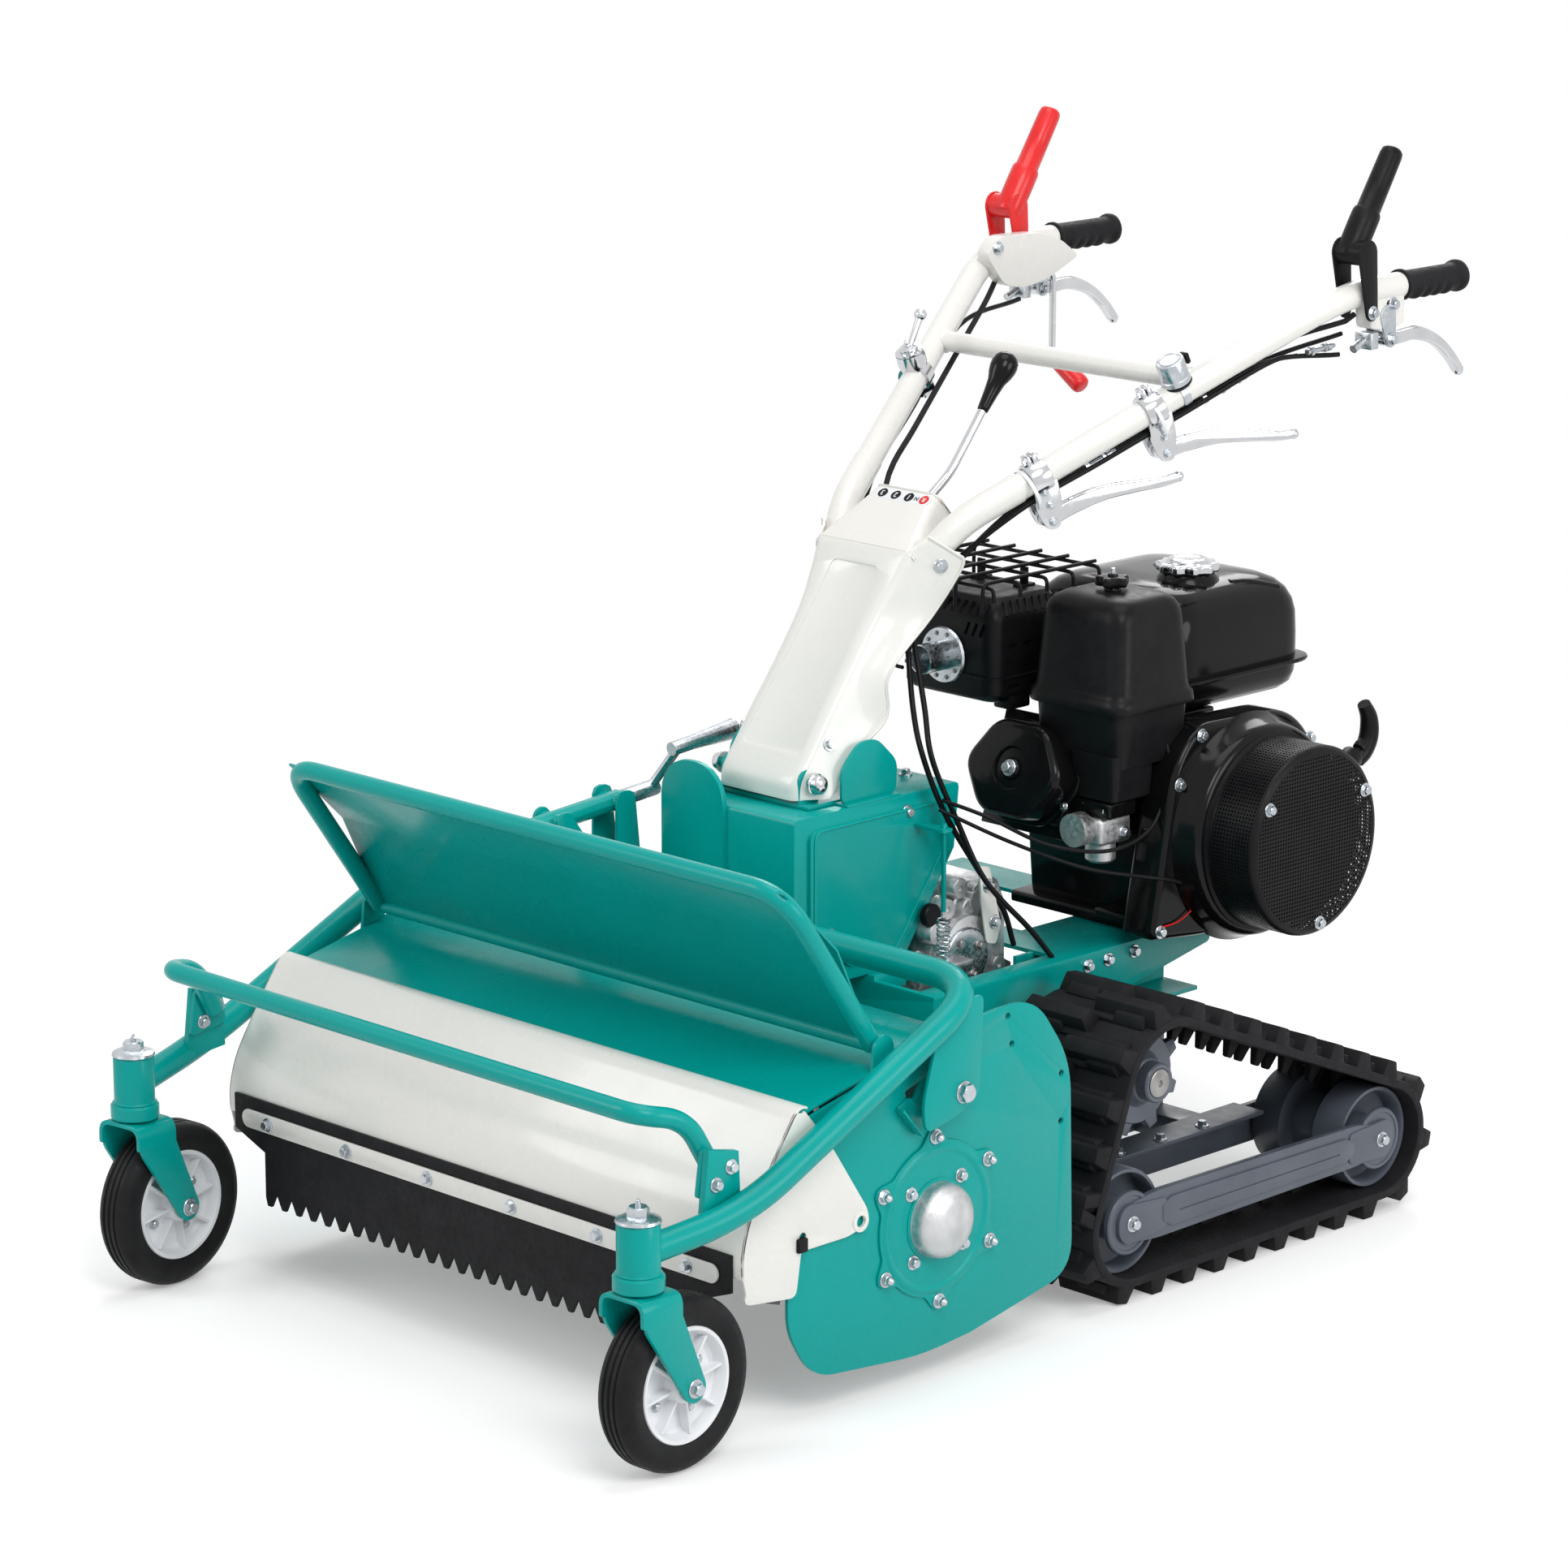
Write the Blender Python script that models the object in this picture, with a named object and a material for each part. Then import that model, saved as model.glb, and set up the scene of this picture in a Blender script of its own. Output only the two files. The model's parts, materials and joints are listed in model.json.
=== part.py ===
"""Tracked walk-behind flail mower: a flail deck with two front casters, a rubber crawler on each
side, a horizontal-shaft petrol engine and a tilting handle with its levers.

Metres, +Z up. The origin is on the ground at the middle of the machine's footprint.
The casters are at the -Y end and the operator stands at the +Y end, facing -Y, so the pieces
called left are the ones at +X.
"""
import math

import bmesh
import bpy
from mathutils import Matrix, Vector

# Clearances
GAP = 0.0003            # between pieces that touch
RUN = 0.002             # between pieces that move past each other
SHEET = 0.003           # sheet steel of hood, deck and covers
PLATE = 0.005           # thick plate of forks, rails and brackets

MIDDLE_Y = 0.020        # from the drawing's zero to the middle of the machine's length

# Flail deck
DRUM_Y = -0.309
DRUM_Z = 0.185
FLAIL_TIP = 0.148
DECK_RADIUS = 0.205
SIDE_IN = 0.4180        # inner face of the deck's side plates
SIDE_SHEET = 0.0045
SIDE_OUT = SIDE_IN + SIDE_SHEET
HOOD_IN = SIDE_OUT + 0.0015     # inner face of the hood's side panels
HOOD_OUT = HOOD_IN + SHEET
HOOD_PIVOT_Y = -0.430
HOOD_PIVOT_Z = 0.211
HOOD_FRONT = -0.608
SKIRT_TOP = 0.212
SKIRT_LOW = 0.086
SKIRT_HALF = 0.360      # narrower at the hem, so that the casters can turn past it
SKIRT_NOTCH = 0.170
SKIRT_TEETH = 28
DEFLECTOR_LIFT = 0.021  # from the deck's sheet to the middle of the deflector's pin
DEFLECTOR_ANGLE = math.radians(111)
DEFLECTOR_Y = DRUM_Y + (DECK_RADIUS + DEFLECTOR_LIFT) * math.cos(DEFLECTOR_ANGLE)
DEFLECTOR_Z = DRUM_Z + (DECK_RADIUS + DEFLECTOR_LIFT) * math.sin(DEFLECTOR_ANGLE)
DEFLECTOR_TOP_Y = -0.526
DEFLECTOR_TOP_Z = 0.590
DEFLECTOR_HALF = 0.4062
DEFLECTOR_TUBE = 0.011
DEFLECTOR_PIN = 0.008

# Front frame and casters
FRAME_TUBE = 0.016
FRAME_HALF = 0.4475
FRAME_PIVOT_Y = -0.293
FRAME_PIVOT_Z = 0.332
CASTER_X = 0.420
CASTER_Y = -0.7525
WHEEL_RADIUS = 0.097
WHEEL_WIDTH = 0.048
WHEEL_TRAIL = 0.050
WHEEL_RIM = 0.0645       # outside of the plastic hub
CASTER_YAW = {"left": math.radians(2), "right": math.radians(6)}
CROWN_Z = 0.210         # top of the fork's crown
COLLAR_RADIUS = 0.024
BUMPER_TUBE = 0.011
BUMPER_FOOT_X = FRAME_HALF - 0.0245   # outer face of the bumper's bolted feet
CRANK_X = -0.190        # plane of the height adjuster

# Crawlers
TRACK_IN = 0.238
TRACK_OUT = 0.418
TRACK_BELT = 0.011      # thickness of the belt without lugs
TRACK_LUG = 0.020
ROLLER_RADIUS = 0.062
FRONT_ROLLER_Y = 0.032
REAR_ROLLER_Y = 0.482
BELT_PLAY = 0.0014      # between the belt and the wheels it runs round
ROLLER_Z = ROLLER_RADIUS + BELT_PLAY + TRACK_BELT + TRACK_LUG
SPROCKET_Y = 0.095
SPROCKET_Z = 0.245
SPROCKET_RADIUS = 0.070
SPROCKET_TEETH = 8
GUIDE_HALF = 0.020      # half width of the belt's inner guide teeth
GUIDE_HEIGHT = 0.020
AXLE_RADIUS = 0.011
ARM_X = 0.400           # inner face of the outer roller arm

# Chassis, belt case and engine
RAIL_X = 0.205
RAIL_TOP = 0.345
CASE_HALF = 0.100
CASE_TOP = 0.556
CASE_BASE = 0.352
SPRING_X = 0.145
SPRING_Y = -0.005
SPRING_TOP = 0.420
SPRING_LOW = 0.356
SPRING_RADIUS = 0.0075
SPRING_WIRE = 0.0011
SPRING_TURNS = 9
ENGINE_Y = 0.393
ENGINE_Z = 0.473
ENGINE_BASE = RAIL_TOP + GAP
SHROUD_X = 0.2163       # the fan housing's seat on the crankcase
SCREEN_RADIUS = 0.114
SCREEN_X = 0.372
MUFFLER_TOP = 0.748
TANK_BASE = 0.600

# Handle
TILT_Y = -0.145
TILT_Z = 0.585
HANDLE_TUBE = 0.016
CONSOLE_HALF = 0.083
GRIP_X = 0.280
GRIP_RADIUS = 0.0165
GRIP_BORE = 0.0122
GRIP_LENGTH = 0.116
GRIP_START = 0.634
GRIP_Z = 1.098
SWITCH_BASE = 0.0175     # from the tube's middle to the stop switch
HOUSING_HALF = 0.012    # half width of the lever housings under the tubes
BRAKE_Y = 0.606
BRAKE_Z = 1.037
CLUTCH_Y = 0.560
CLUTCH_Z = 1.075
PIN_RADIUS = 0.004
CABLE_RADIUS = 0.0035
THROTTLE_AXIS = Vector((0, -0.012, 0.030))
SIDE_LEVER_DROP = Vector((0.0045, 0.016, -0.052))

STEPS = 8               # sides of a tube
ROUND = 16              # sides of a turned piece
BEND = 3                # steps of a tube's bend

PAINTS = {
    "teal": ((0.000, 0.330, 0.290), 0.28, 0.0),
    "cream": ((0.780, 0.770, 0.730), 0.30, 0.0),
    "rubber": ((0.020, 0.020, 0.022), 0.75, 0.0),
    "tyre": ((0.015, 0.015, 0.017), 0.55, 0.0),
    "grey": ((0.090, 0.100, 0.125), 0.45, 0.2),
    "zinc": ((0.620, 0.630, 0.640), 0.30, 1.0),
    "alloy": ((0.520, 0.520, 0.530), 0.42, 1.0),
    "chrome": ((0.780, 0.780, 0.790), 0.12, 1.0),
    "white": ((0.800, 0.810, 0.830), 0.40, 0.0),
    "black": ((0.018, 0.018, 0.020), 0.35, 0.0),
    "gloss": ((0.012, 0.012, 0.014), 0.12, 0.0),
    "red": ((0.720, 0.020, 0.018), 0.30, 0.0),
    "steel": ((0.300, 0.300, 0.310), 0.40, 1.0),
}


def clear_scene():
    """Remove every object that is in the scene already."""
    for obj in list(bpy.data.objects):
        bpy.data.objects.remove(obj, do_unlink=True)


def paint(key):
    """Return the Principled material of one finish, made on first use."""
    found = bpy.data.materials.get(key)
    if found:
        return found
    colour, roughness, metallic = PAINTS[key]
    material = bpy.data.materials.new(key)
    material.use_nodes = True
    shader = material.node_tree.nodes["Principled BSDF"]
    shader.inputs["Base Color"].default_value = (*colour, 1.0)
    shader.inputs["Roughness"].default_value = roughness
    shader.inputs["Metallic"].default_value = metallic
    return material


def solid(bm):
    """Turn a bmesh into an object with its faces pointing out."""
    bmesh.ops.recalc_face_normals(bm, faces=bm.faces)
    mesh = bpy.data.meshes.new("solid")
    bm.to_mesh(mesh)
    bm.free()
    obj = bpy.data.objects.new("solid", mesh)
    bpy.context.scene.collection.objects.link(obj)
    return obj


def rings_solid(rings, closed_loop=False):
    """Skin a row of point rings; the two ends are capped unless the row closes on itself."""
    bm = bmesh.new()
    rows = [[bm.verts.new(point) for point in ring] for ring in rings]
    count = len(rows[0])
    pairs = list(zip(rows, rows[1:]))
    if closed_loop:
        pairs.append((rows[-1], rows[0]))
    for low, high in pairs:
        for i in range(count):
            j = (i + 1) % count
            bm.faces.new((low[i], low[j], high[j], high[i]))
    if not closed_loop:
        bm.faces.new(rows[0])
        bm.faces.new(rows[-1])
    return solid(bm)


def box(x0, x1, y0, y1, z0, z1):
    """A block between two corners."""
    low = [(x0, y0, z0), (x1, y0, z0), (x1, y1, z0), (x0, y1, z0)]
    high = [(x0, y0, z1), (x1, y0, z1), (x1, y1, z1), (x0, y1, z1)]
    return rings_solid([low, high])


AXES = {
    "x": lambda a, u, v: (a, u, v),
    "y": lambda a, u, v: (u, a, v),
    "z": lambda a, u, v: (u, v, a),
}


def prism(axis, start, end, outline):
    """Extrude a flat outline along an axis; the outline holds the other two coordinates."""
    place = AXES[axis]
    rings = [[place(a, u, v) for u, v in outline] for a in (start, end)]
    return rings_solid(rings)


def turned(axis, centre, profile, steps=ROUND):
    """Turn a closed profile of (radius, position) points round an axis; radius 0 makes a pole."""
    place = AXES[axis]
    bm = bmesh.new()
    rows = []
    for radius, along in profile:
        if radius == 0:
            rows.append([bm.verts.new(place(along, *centre))])
            continue
        row = []
        for i in range(steps):
            angle = 2 * math.pi * i / steps
            u = centre[0] + radius * math.cos(angle)
            v = centre[1] + radius * math.sin(angle)
            row.append(bm.verts.new(place(along, u, v)))
        rows.append(row)
    pairs = list(zip(rows, rows[1:]))
    if profile[0][0] > 0:
        pairs.append((rows[-1], rows[0]))
    for low, high in pairs:
        for i in range(steps):
            j = (i + 1) % steps
            corners = [low[i % len(low)], low[j % len(low)], high[j % len(high)], high[i % len(high)]]
            face = []
            for corner in corners:
                if corner not in face:
                    face.append(corner)
            if len(face) > 2:
                bm.faces.new(face)
    return solid(bm)


def disc(axis, centre, radius, start, end, steps=ROUND):
    """A plain cylinder along an axis."""
    return turned(axis, centre, [(0, start), (radius, start), (radius, end), (0, end)], steps)


def ring(axis, centre, inner, outer, start, end, steps=ROUND):
    """A cylinder with a bore."""
    profile = [(inner, start), (outer, start), (outer, end), (inner, end)]
    return turned(axis, centre, profile, steps)


def rounded_path(points, radius, steps=BEND):
    """Replace each inner corner of a path with an arc of the given radius."""
    points = [Vector(p) for p in points]
    path = [points[0]]
    for before, corner, after in zip(points, points[1:], points[2:]):
        into = (corner - before).normalized()
        out = (after - corner).normalized()
        angle = into.angle(out)
        if angle < 0.02:
            path.append(corner)
            continue
        setback = radius * math.tan(angle / 2)
        axis = into.cross(out).normalized()
        start = corner - into * setback
        side = axis.cross(into).normalized()
        centre = start + side * radius
        for i in range(steps + 1):
            turn = Matrix.Rotation(angle * i / steps, 3, axis)
            path.append(centre + turn @ (start - centre))
    path.append(points[-1])
    return path


def tube(points, radius, sides=STEPS, radii=None):
    """Sweep a circle along a path, with flat ends; radii gives the size at each point."""
    points = [Vector(p) for p in points]
    tangents = []
    for i in range(len(points)):
        ahead = points[min(i + 1, len(points) - 1)] - points[i]
        behind = points[i] - points[max(i - 1, 0)]
        tangents.append((ahead.normalized() + behind.normalized()).normalized())
    reference = Vector((0, 0, 1)) if abs(tangents[0].z) < 0.9 else Vector((1, 0, 0))
    normal = tangents[0].cross(reference).normalized()
    rings = []
    for i, point in enumerate(points):
        tangent = tangents[i]
        normal = (normal - tangent * normal.dot(tangent)).normalized()
        other = tangent.cross(normal)
        size = radii[i] if radii else radius
        circle = []
        for k in range(sides):
            angle = 2 * math.pi * k / sides
            offset = normal * math.cos(angle) + other * math.sin(angle)
            circle.append(point + offset * size)
        rings.append(circle)
    return rings_solid(rings)


def arc(cu, cv, radius, start, end, steps):
    """Points of an arc, angles in degrees."""
    points = []
    for i in range(steps + 1):
        angle = math.radians(start + (end - start) * i / steps)
        points.append((cu + radius * math.cos(angle), cv + radius * math.sin(angle)))
    return points


def soft_corners(points, radius, steps=3):
    """Round every corner of a flat outline."""
    vectors = [Vector((u, v, 0)) for u, v in points]
    count = len(vectors)
    outline = []
    for i in range(count):
        before = vectors[i - 1]
        corner = vectors[i]
        after = vectors[(i + 1) % count]
        into = (corner - before).normalized()
        out = (after - corner).normalized()
        angle = into.angle(out)
        size = radius[i] if isinstance(radius, (list, tuple)) else radius
        if angle < 0.05 or size == 0:
            outline.append((corner.x, corner.y))
            continue
        setback = size * math.tan(angle / 2)
        axis = into.cross(out).normalized()
        start = corner - into * setback
        centre = start + axis.cross(into).normalized() * size
        for k in range(steps + 1):
            turn = Matrix.Rotation(angle * k / steps, 3, axis)
            point = centre + turn @ (start - centre)
            outline.append((point.x, point.y))
    return outline


def link_outline(u0, v0, r0, u1, v1, r1, steps=8):
    """Outline of a bar with a round end about each of two centres."""
    angle = math.degrees(math.atan2(v1 - v0, u1 - u0))
    length = math.hypot(u1 - u0, v1 - v0)
    lean = math.degrees(math.acos((r0 - r1) / length))
    end = arc(u1, v1, r1, angle - lean, angle + lean, steps)
    return end + arc(u0, v0, r0, angle + lean, angle + 360 - lean, steps)


def offset_strip(points, thickness):
    """Outline of a bent sheet: the given line, and the same line shifted to its left."""
    vectors = [Vector(p) for p in points]
    shifted = []
    for i, point in enumerate(vectors):
        ahead = (vectors[min(i + 1, len(vectors) - 1)] - point)
        behind = (point - vectors[max(i - 1, 0)])
        direction = Vector((0, 0))
        if ahead.length > 0:
            direction += ahead.normalized()
        if behind.length > 0:
            direction += behind.normalized()
        direction.normalize()
        edge = ahead if ahead.length > 0 else behind
        scale = 1 / max(0.4, direction.dot(edge.normalized()))
        shifted.append(point + Vector((-direction.y, direction.x)) * thickness * scale)
    return [tuple(p) for p in vectors] + [tuple(p) for p in reversed(shifted)]


def mirrored(obj):
    """A copy of an object on the other side of the plane x = 0."""
    mesh = obj.data.copy()
    mesh.transform(Matrix.Scale(-1, 4, Vector((1, 0, 0))))
    mesh.flip_normals()
    copy = bpy.data.objects.new("solid", mesh)
    bpy.context.scene.collection.objects.link(copy)
    return copy


def both(obj):
    """An object and its mirror image."""
    return [obj, mirrored(obj)]


def moved(obj, matrix):
    """Apply a matrix to an object's mesh."""
    obj.data.transform(matrix)
    return obj


def merge(adds, cuts=()):
    """Unite solids into one body and cut others out of it."""
    base = adds[0]
    spare = []
    for operation, parts in (("UNION", adds[1:]), ("DIFFERENCE", cuts)):
        if not parts:
            continue
        group = bpy.data.collections.new(operation)
        for part in parts:
            group.objects.link(part)
            spare.append(part)
        modifier = base.modifiers.new(operation, "BOOLEAN")
        modifier.operation = operation
        modifier.solver = "EXACT"
        modifier.operand_type = "COLLECTION"
        modifier.collection = group
    if spare:
        graph = bpy.context.evaluated_depsgraph_get()
        mesh = bpy.data.meshes.new_from_object(base.evaluated_get(graph))
        base.modifiers.clear()
        base.data = mesh
        for part in spare:
            bpy.data.objects.remove(part, do_unlink=True)
        bm = bmesh.new()
        bm.from_mesh(mesh)
        bmesh.ops.remove_doubles(bm, verts=bm.verts, dist=1e-6)
        bmesh.ops.dissolve_degenerate(bm, edges=bm.edges, dist=1e-6)
        bm.to_mesh(mesh)
        bm.free()
    return base


def piece(name, finish, adds, cuts=(), origin=(0, 0, 0)):
    """Finish one sub-part: one body, named, painted and with its origin where it turns."""
    obj = merge(list(adds), list(cuts))
    obj.name = name
    obj.data.name = name
    obj.data.materials.clear()
    obj.data.materials.append(paint(finish))
    origin = Vector(origin)
    obj.data.transform(Matrix.Translation(-origin))
    obj.location = origin
    for polygon in obj.data.polygons:
        polygon.use_smooth = True
    obj.data.set_sharp_from_angle(angle=math.radians(35))
    return obj


SIDES = (("left", 1), ("right", -1))


def side_box(side, x0, x1, y0, y1, z0, z1):
    """A block given for the left side, placed on either side."""
    low, high = sorted((side * x0, side * x1))
    return box(low, high, y0, y1, z0, z1)


def side_prism(side, x0, x1, outline):
    """A plate given for the left side, placed on either side."""
    low, high = sorted((side * x0, side * x1))
    return prism("x", low, high, outline)


def side_disc(side, centre, radius, x0, x1, steps=ROUND):
    """A disc given for the left side, placed on either side."""
    low, high = sorted((side * x0, side * x1))
    return disc("x", centre, radius, low, high, steps)


# Flail deck

def deck_skin_line():
    """The deck's sheet seen from the side, from its rear lower edge over the drum to the front."""
    line = arc(DRUM_Y, DRUM_Z, DECK_RADIUS, -25, 112, 14)
    front = (HOOD_FRONT + 0.083, DRUM_Z + 0.160)
    return line + [front]


def make_deck():
    """Curved sheet over the drum, a beam behind it and the two uprights that hold the crank."""
    skin = prism("x", -SIDE_IN + GAP, SIDE_IN - GAP, offset_strip(deck_skin_line(), SHEET))
    rear = DRUM_Y + DECK_RADIUS
    adds = [skin, box(-0.200, 0.200, rear - 0.010, rear + 0.020, 0.200, 0.300)]
    front_foot = arc(DRUM_Y, DRUM_Z, DECK_RADIUS - 0.012, 66.5, 66.5, 1)[0]
    rear_foot = arc(DRUM_Y, DRUM_Z, DECK_RADIUS - 0.002, 49.8, 49.8, 1)[0]
    for offset in (-0.022, 0.018):
        start = CRANK_X + offset
        upright = soft_corners([front_foot, rear_foot, (-0.200, 0.545), (-0.228, 0.548)],
                               [0.0, 0.0, 0.010, 0.010], 2)
        adds.append(prism("x", start, start + 0.004, upright))
    piece("deck_housing", "teal", adds)


def side_plate_outline():
    """The side plate seen from the side: round behind, a sloping toe and a flat top front."""
    corners = [
        (-0.225, 0.404), (-0.150, 0.404), (-0.090, 0.320), (-0.083, 0.070),
        (-0.250, 0.038), (-0.330, 0.031), (-0.500, 0.048), (-0.536, 0.110),
        (-0.536, 0.335), (-0.500, 0.345),
    ]
    radii = [0.030, 0.060, 0.040, 0.040, 0.0, 0.060, 0.050, 0.020, 0.010, 0.030]
    return soft_corners(corners, radii, 3)


def make_side_plates():
    """Side plates with the scalloped bearing flange, its domed cap and the two pivot pins."""
    for label, side in SIDES:
        plate = side_prism(side, SIDE_IN, SIDE_OUT, side_plate_outline())
        x = SIDE_OUT
        scallops = []
        for i in range(30):
            angle = math.radians(12 * i)
            radius = 0.089 + 0.008 * math.cos(6 * angle + math.pi)
            scallops.append((DRUM_Y + radius * math.cos(angle), DRUM_Z + radius * math.sin(angle)))
        flange = side_prism(side, x - 0.001, x + 0.004, scallops)
        rim = side_disc(side, (DRUM_Y, DRUM_Z), 0.052, x, x + 0.009)
        inner = side * (x + 0.005)
        cap = turned("x", (DRUM_Y, DRUM_Z), [
            (0, inner), (0.039, inner), (0.039, inner + side * 0.012),
            (0.033, inner + side * 0.022), (0.018, inner + side * 0.027), (0, inner + side * 0.027),
        ])
        bore = side_disc(side, (DRUM_Y, DRUM_Z), 0.0165, SIDE_IN - 0.01, SIDE_OUT + 0.006, 12)
        holes = []
        for y, z in ((-0.196, 0.390), (-0.110, 0.308), (-0.110, 0.252)):
            holes.append(side_disc(side, (y, z), 0.004, SIDE_IN - 0.01, SIDE_OUT + 0.01, 8))
        ear = link_outline(DEFLECTOR_Y, 0.350, 0.020, DEFLECTOR_Y, DEFLECTOR_Z, 0.015, 4)
        ear = side_prism(side, SIDE_IN, SIDE_OUT, ear)
        eye = side_disc(side, (DEFLECTOR_Y, DEFLECTOR_Z), DEFLECTOR_PIN + 0.0008, SIDE_IN - 0.01, SIDE_OUT + 0.01, 12)
        pin = side_disc(side, (HOOD_PIVOT_Y, HOOD_PIVOT_Z), 0.006, SIDE_OUT - 0.001, HOOD_OUT + 0.006, 12)
        pivot = side_disc(side, (FRAME_PIVOT_Y, FRAME_PIVOT_Z), 0.008, SIDE_OUT - 0.001, FRAME_HALF + 0.0105, 12)
        piece("side_plate_" + label, "teal", [plate, ear, flange, rim, cap, pin, pivot], [bore, eye] + holes)


def make_drum():
    """The flail shaft with a spiral of lugs that carry the hinged knives."""
    half = SIDE_IN - 0.012
    shaft = disc("x", (DRUM_Y, DRUM_Z), 0.045, -half, half, 16)
    journal = disc("x", (DRUM_Y, DRUM_Z), 0.0155, -SIDE_OUT + 0.0005, SIDE_OUT - 0.0005, 12)
    knives = []
    rows = 10
    for i in range(rows):
        x = -half + 0.035 + (2 * half - 0.07) * i / (rows - 1)
        for k in range(2):
            angle = math.radians(36 * i + 180 * k)
            blade = [(0.030, -0.010), (FLAIL_TIP - 0.030, -0.014), (FLAIL_TIP, -0.020),
                     (FLAIL_TIP, 0.016), (0.030, 0.010)]
            knife = prism("x", x - 0.006, x + 0.006, blade)
            turn = Matrix.Rotation(angle, 4, "X")
            knives.append(moved(knife, Matrix.Translation((0, DRUM_Y, DRUM_Z)) @ turn))
    piece("flail_drum", "steel", [shaft, journal] + knives, origin=(0, DRUM_Y, DRUM_Z))


def hood_line():
    """The hood's front sheet seen from the side, from its lower edge up to its top lip."""
    return [
        (HOOD_FRONT, 0.186), (HOOD_FRONT, 0.215), (HOOD_FRONT + 0.010, 0.250),
        (HOOD_FRONT + 0.031, 0.286), (HOOD_FRONT + 0.055, 0.322), (HOOD_FRONT + 0.076, 0.352),
        (HOOD_FRONT + 0.090, 0.360), (HOOD_FRONT + 0.100, 0.357),
    ]


def make_hood():
    line = hood_line()
    skin = prism("x", -HOOD_OUT, HOOD_OUT, offset_strip(line, -SHEET))
    panel = [
        (HOOD_FRONT, 0.158), (HOOD_PIVOT_Y - 0.098, 0.148), (HOOD_PIVOT_Y - 0.090, 0.198),
        (HOOD_PIVOT_Y - 0.020, 0.198), (HOOD_PIVOT_Y + 0.014, 0.205), (HOOD_PIVOT_Y + 0.012, 0.222),
        (HOOD_PIVOT_Y - 0.040, 0.300), (HOOD_PIVOT_Y - 0.086, 0.356),
    ] + line[5:0:-1]
    panels = []
    cuts = []
    for label, side in SIDES:
        panels.append(side_prism(side, HOOD_IN, HOOD_OUT, panel))
        cuts.append(side_disc(side, (HOOD_PIVOT_Y, HOOD_PIVOT_Z), 0.0065, HOOD_IN - 0.004, HOOD_OUT + 0.004, 16))
        stop = (HOOD_PIVOT_Y - 0.118, 0.214)
        cuts.append(side_disc(side, stop, 0.005, HOOD_IN - 0.004, HOOD_OUT + 0.004, 12))
    piece("hood", "cream", [skin] + panels, cuts, origin=(0, HOOD_PIVOT_Y, HOOD_PIVOT_Z))


def make_skirt():
    """Rubber flap with a saw-tooth hem, clamped under a round-ended strip."""
    front = HOOD_FRONT - GAP
    half = SKIRT_HALF
    pitch = 2 * half / SKIRT_TEETH
    hem = []
    for i in range(SKIRT_TEETH):
        start = -half + pitch * i
        hem.append((start + pitch * 0.12, SKIRT_LOW))
        hem.append((start + pitch * 0.38, SKIRT_LOW))
        if i < SKIRT_TEETH - 1:
            hem.append((start + pitch * 0.75, SKIRT_LOW + 0.018))
    left = [(half, SKIRT_LOW + 0.010), (half, SKIRT_NOTCH - 0.020), (HOOD_OUT - 0.014, SKIRT_NOTCH),
            (HOOD_OUT - 0.014, SKIRT_TOP)]
    right = [(-x, z) for x, z in reversed(left)]
    outline = right + hem + left
    flap = prism("y", front - 0.004, front, outline)
    piece("skirt", "rubber", [flap], origin=(0, HOOD_PIVOT_Y, HOOD_PIVOT_Z))
    strip_y = front - 0.004 - GAP
    outline = link_outline(-0.385, 0.187, 0.011, 0.385, 0.187, 0.011, 6)
    strip = prism("y", strip_y - 0.003, strip_y, outline)
    piece("skirt_strip", "cream", [strip], origin=(0, HOOD_PIVOT_Y, HOOD_PIVOT_Z))


def make_deflector():
    """Folding guard: a bent tube with a creased sheet inside it."""
    low_y = DEFLECTOR_Y
    low_z = DEFLECTOR_Z
    half = DEFLECTOR_HALF
    top = Vector((DEFLECTOR_TOP_Y, DEFLECTOR_TOP_Z))
    low = Vector((low_y, low_z))
    foot = low.lerp(top, -0.012)
    path = rounded_path([
        (-half, foot.x, foot.y), (-half, top.x, top.y), (half, top.x, top.y), (half, foot.x, foot.y),
    ], 0.040)
    frame = tube(path, DEFLECTOR_TUBE, 8)
    crease = low.lerp(top, 0.55) + Vector((0.018, 0.010))
    inset = DEFLECTOR_TUBE * 0.55    # keeps the sheet's corners inside the bent tube
    edge = top + (crease - top).normalized() * inset
    line = [tuple(edge), tuple(crease), tuple(low + Vector((0.002, -0.006)))]
    sheet = prism("x", -half + inset, half - inset, offset_strip(line, SHEET))
    bar = disc("x", (low_y, low_z), DEFLECTOR_PIN, -SIDE_OUT + 0.0005, SIDE_OUT - 0.0005, 12)
    piece("deflector", "teal", [frame, sheet, bar], origin=(0, low_y, low_z))


# Front frame and casters

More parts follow.
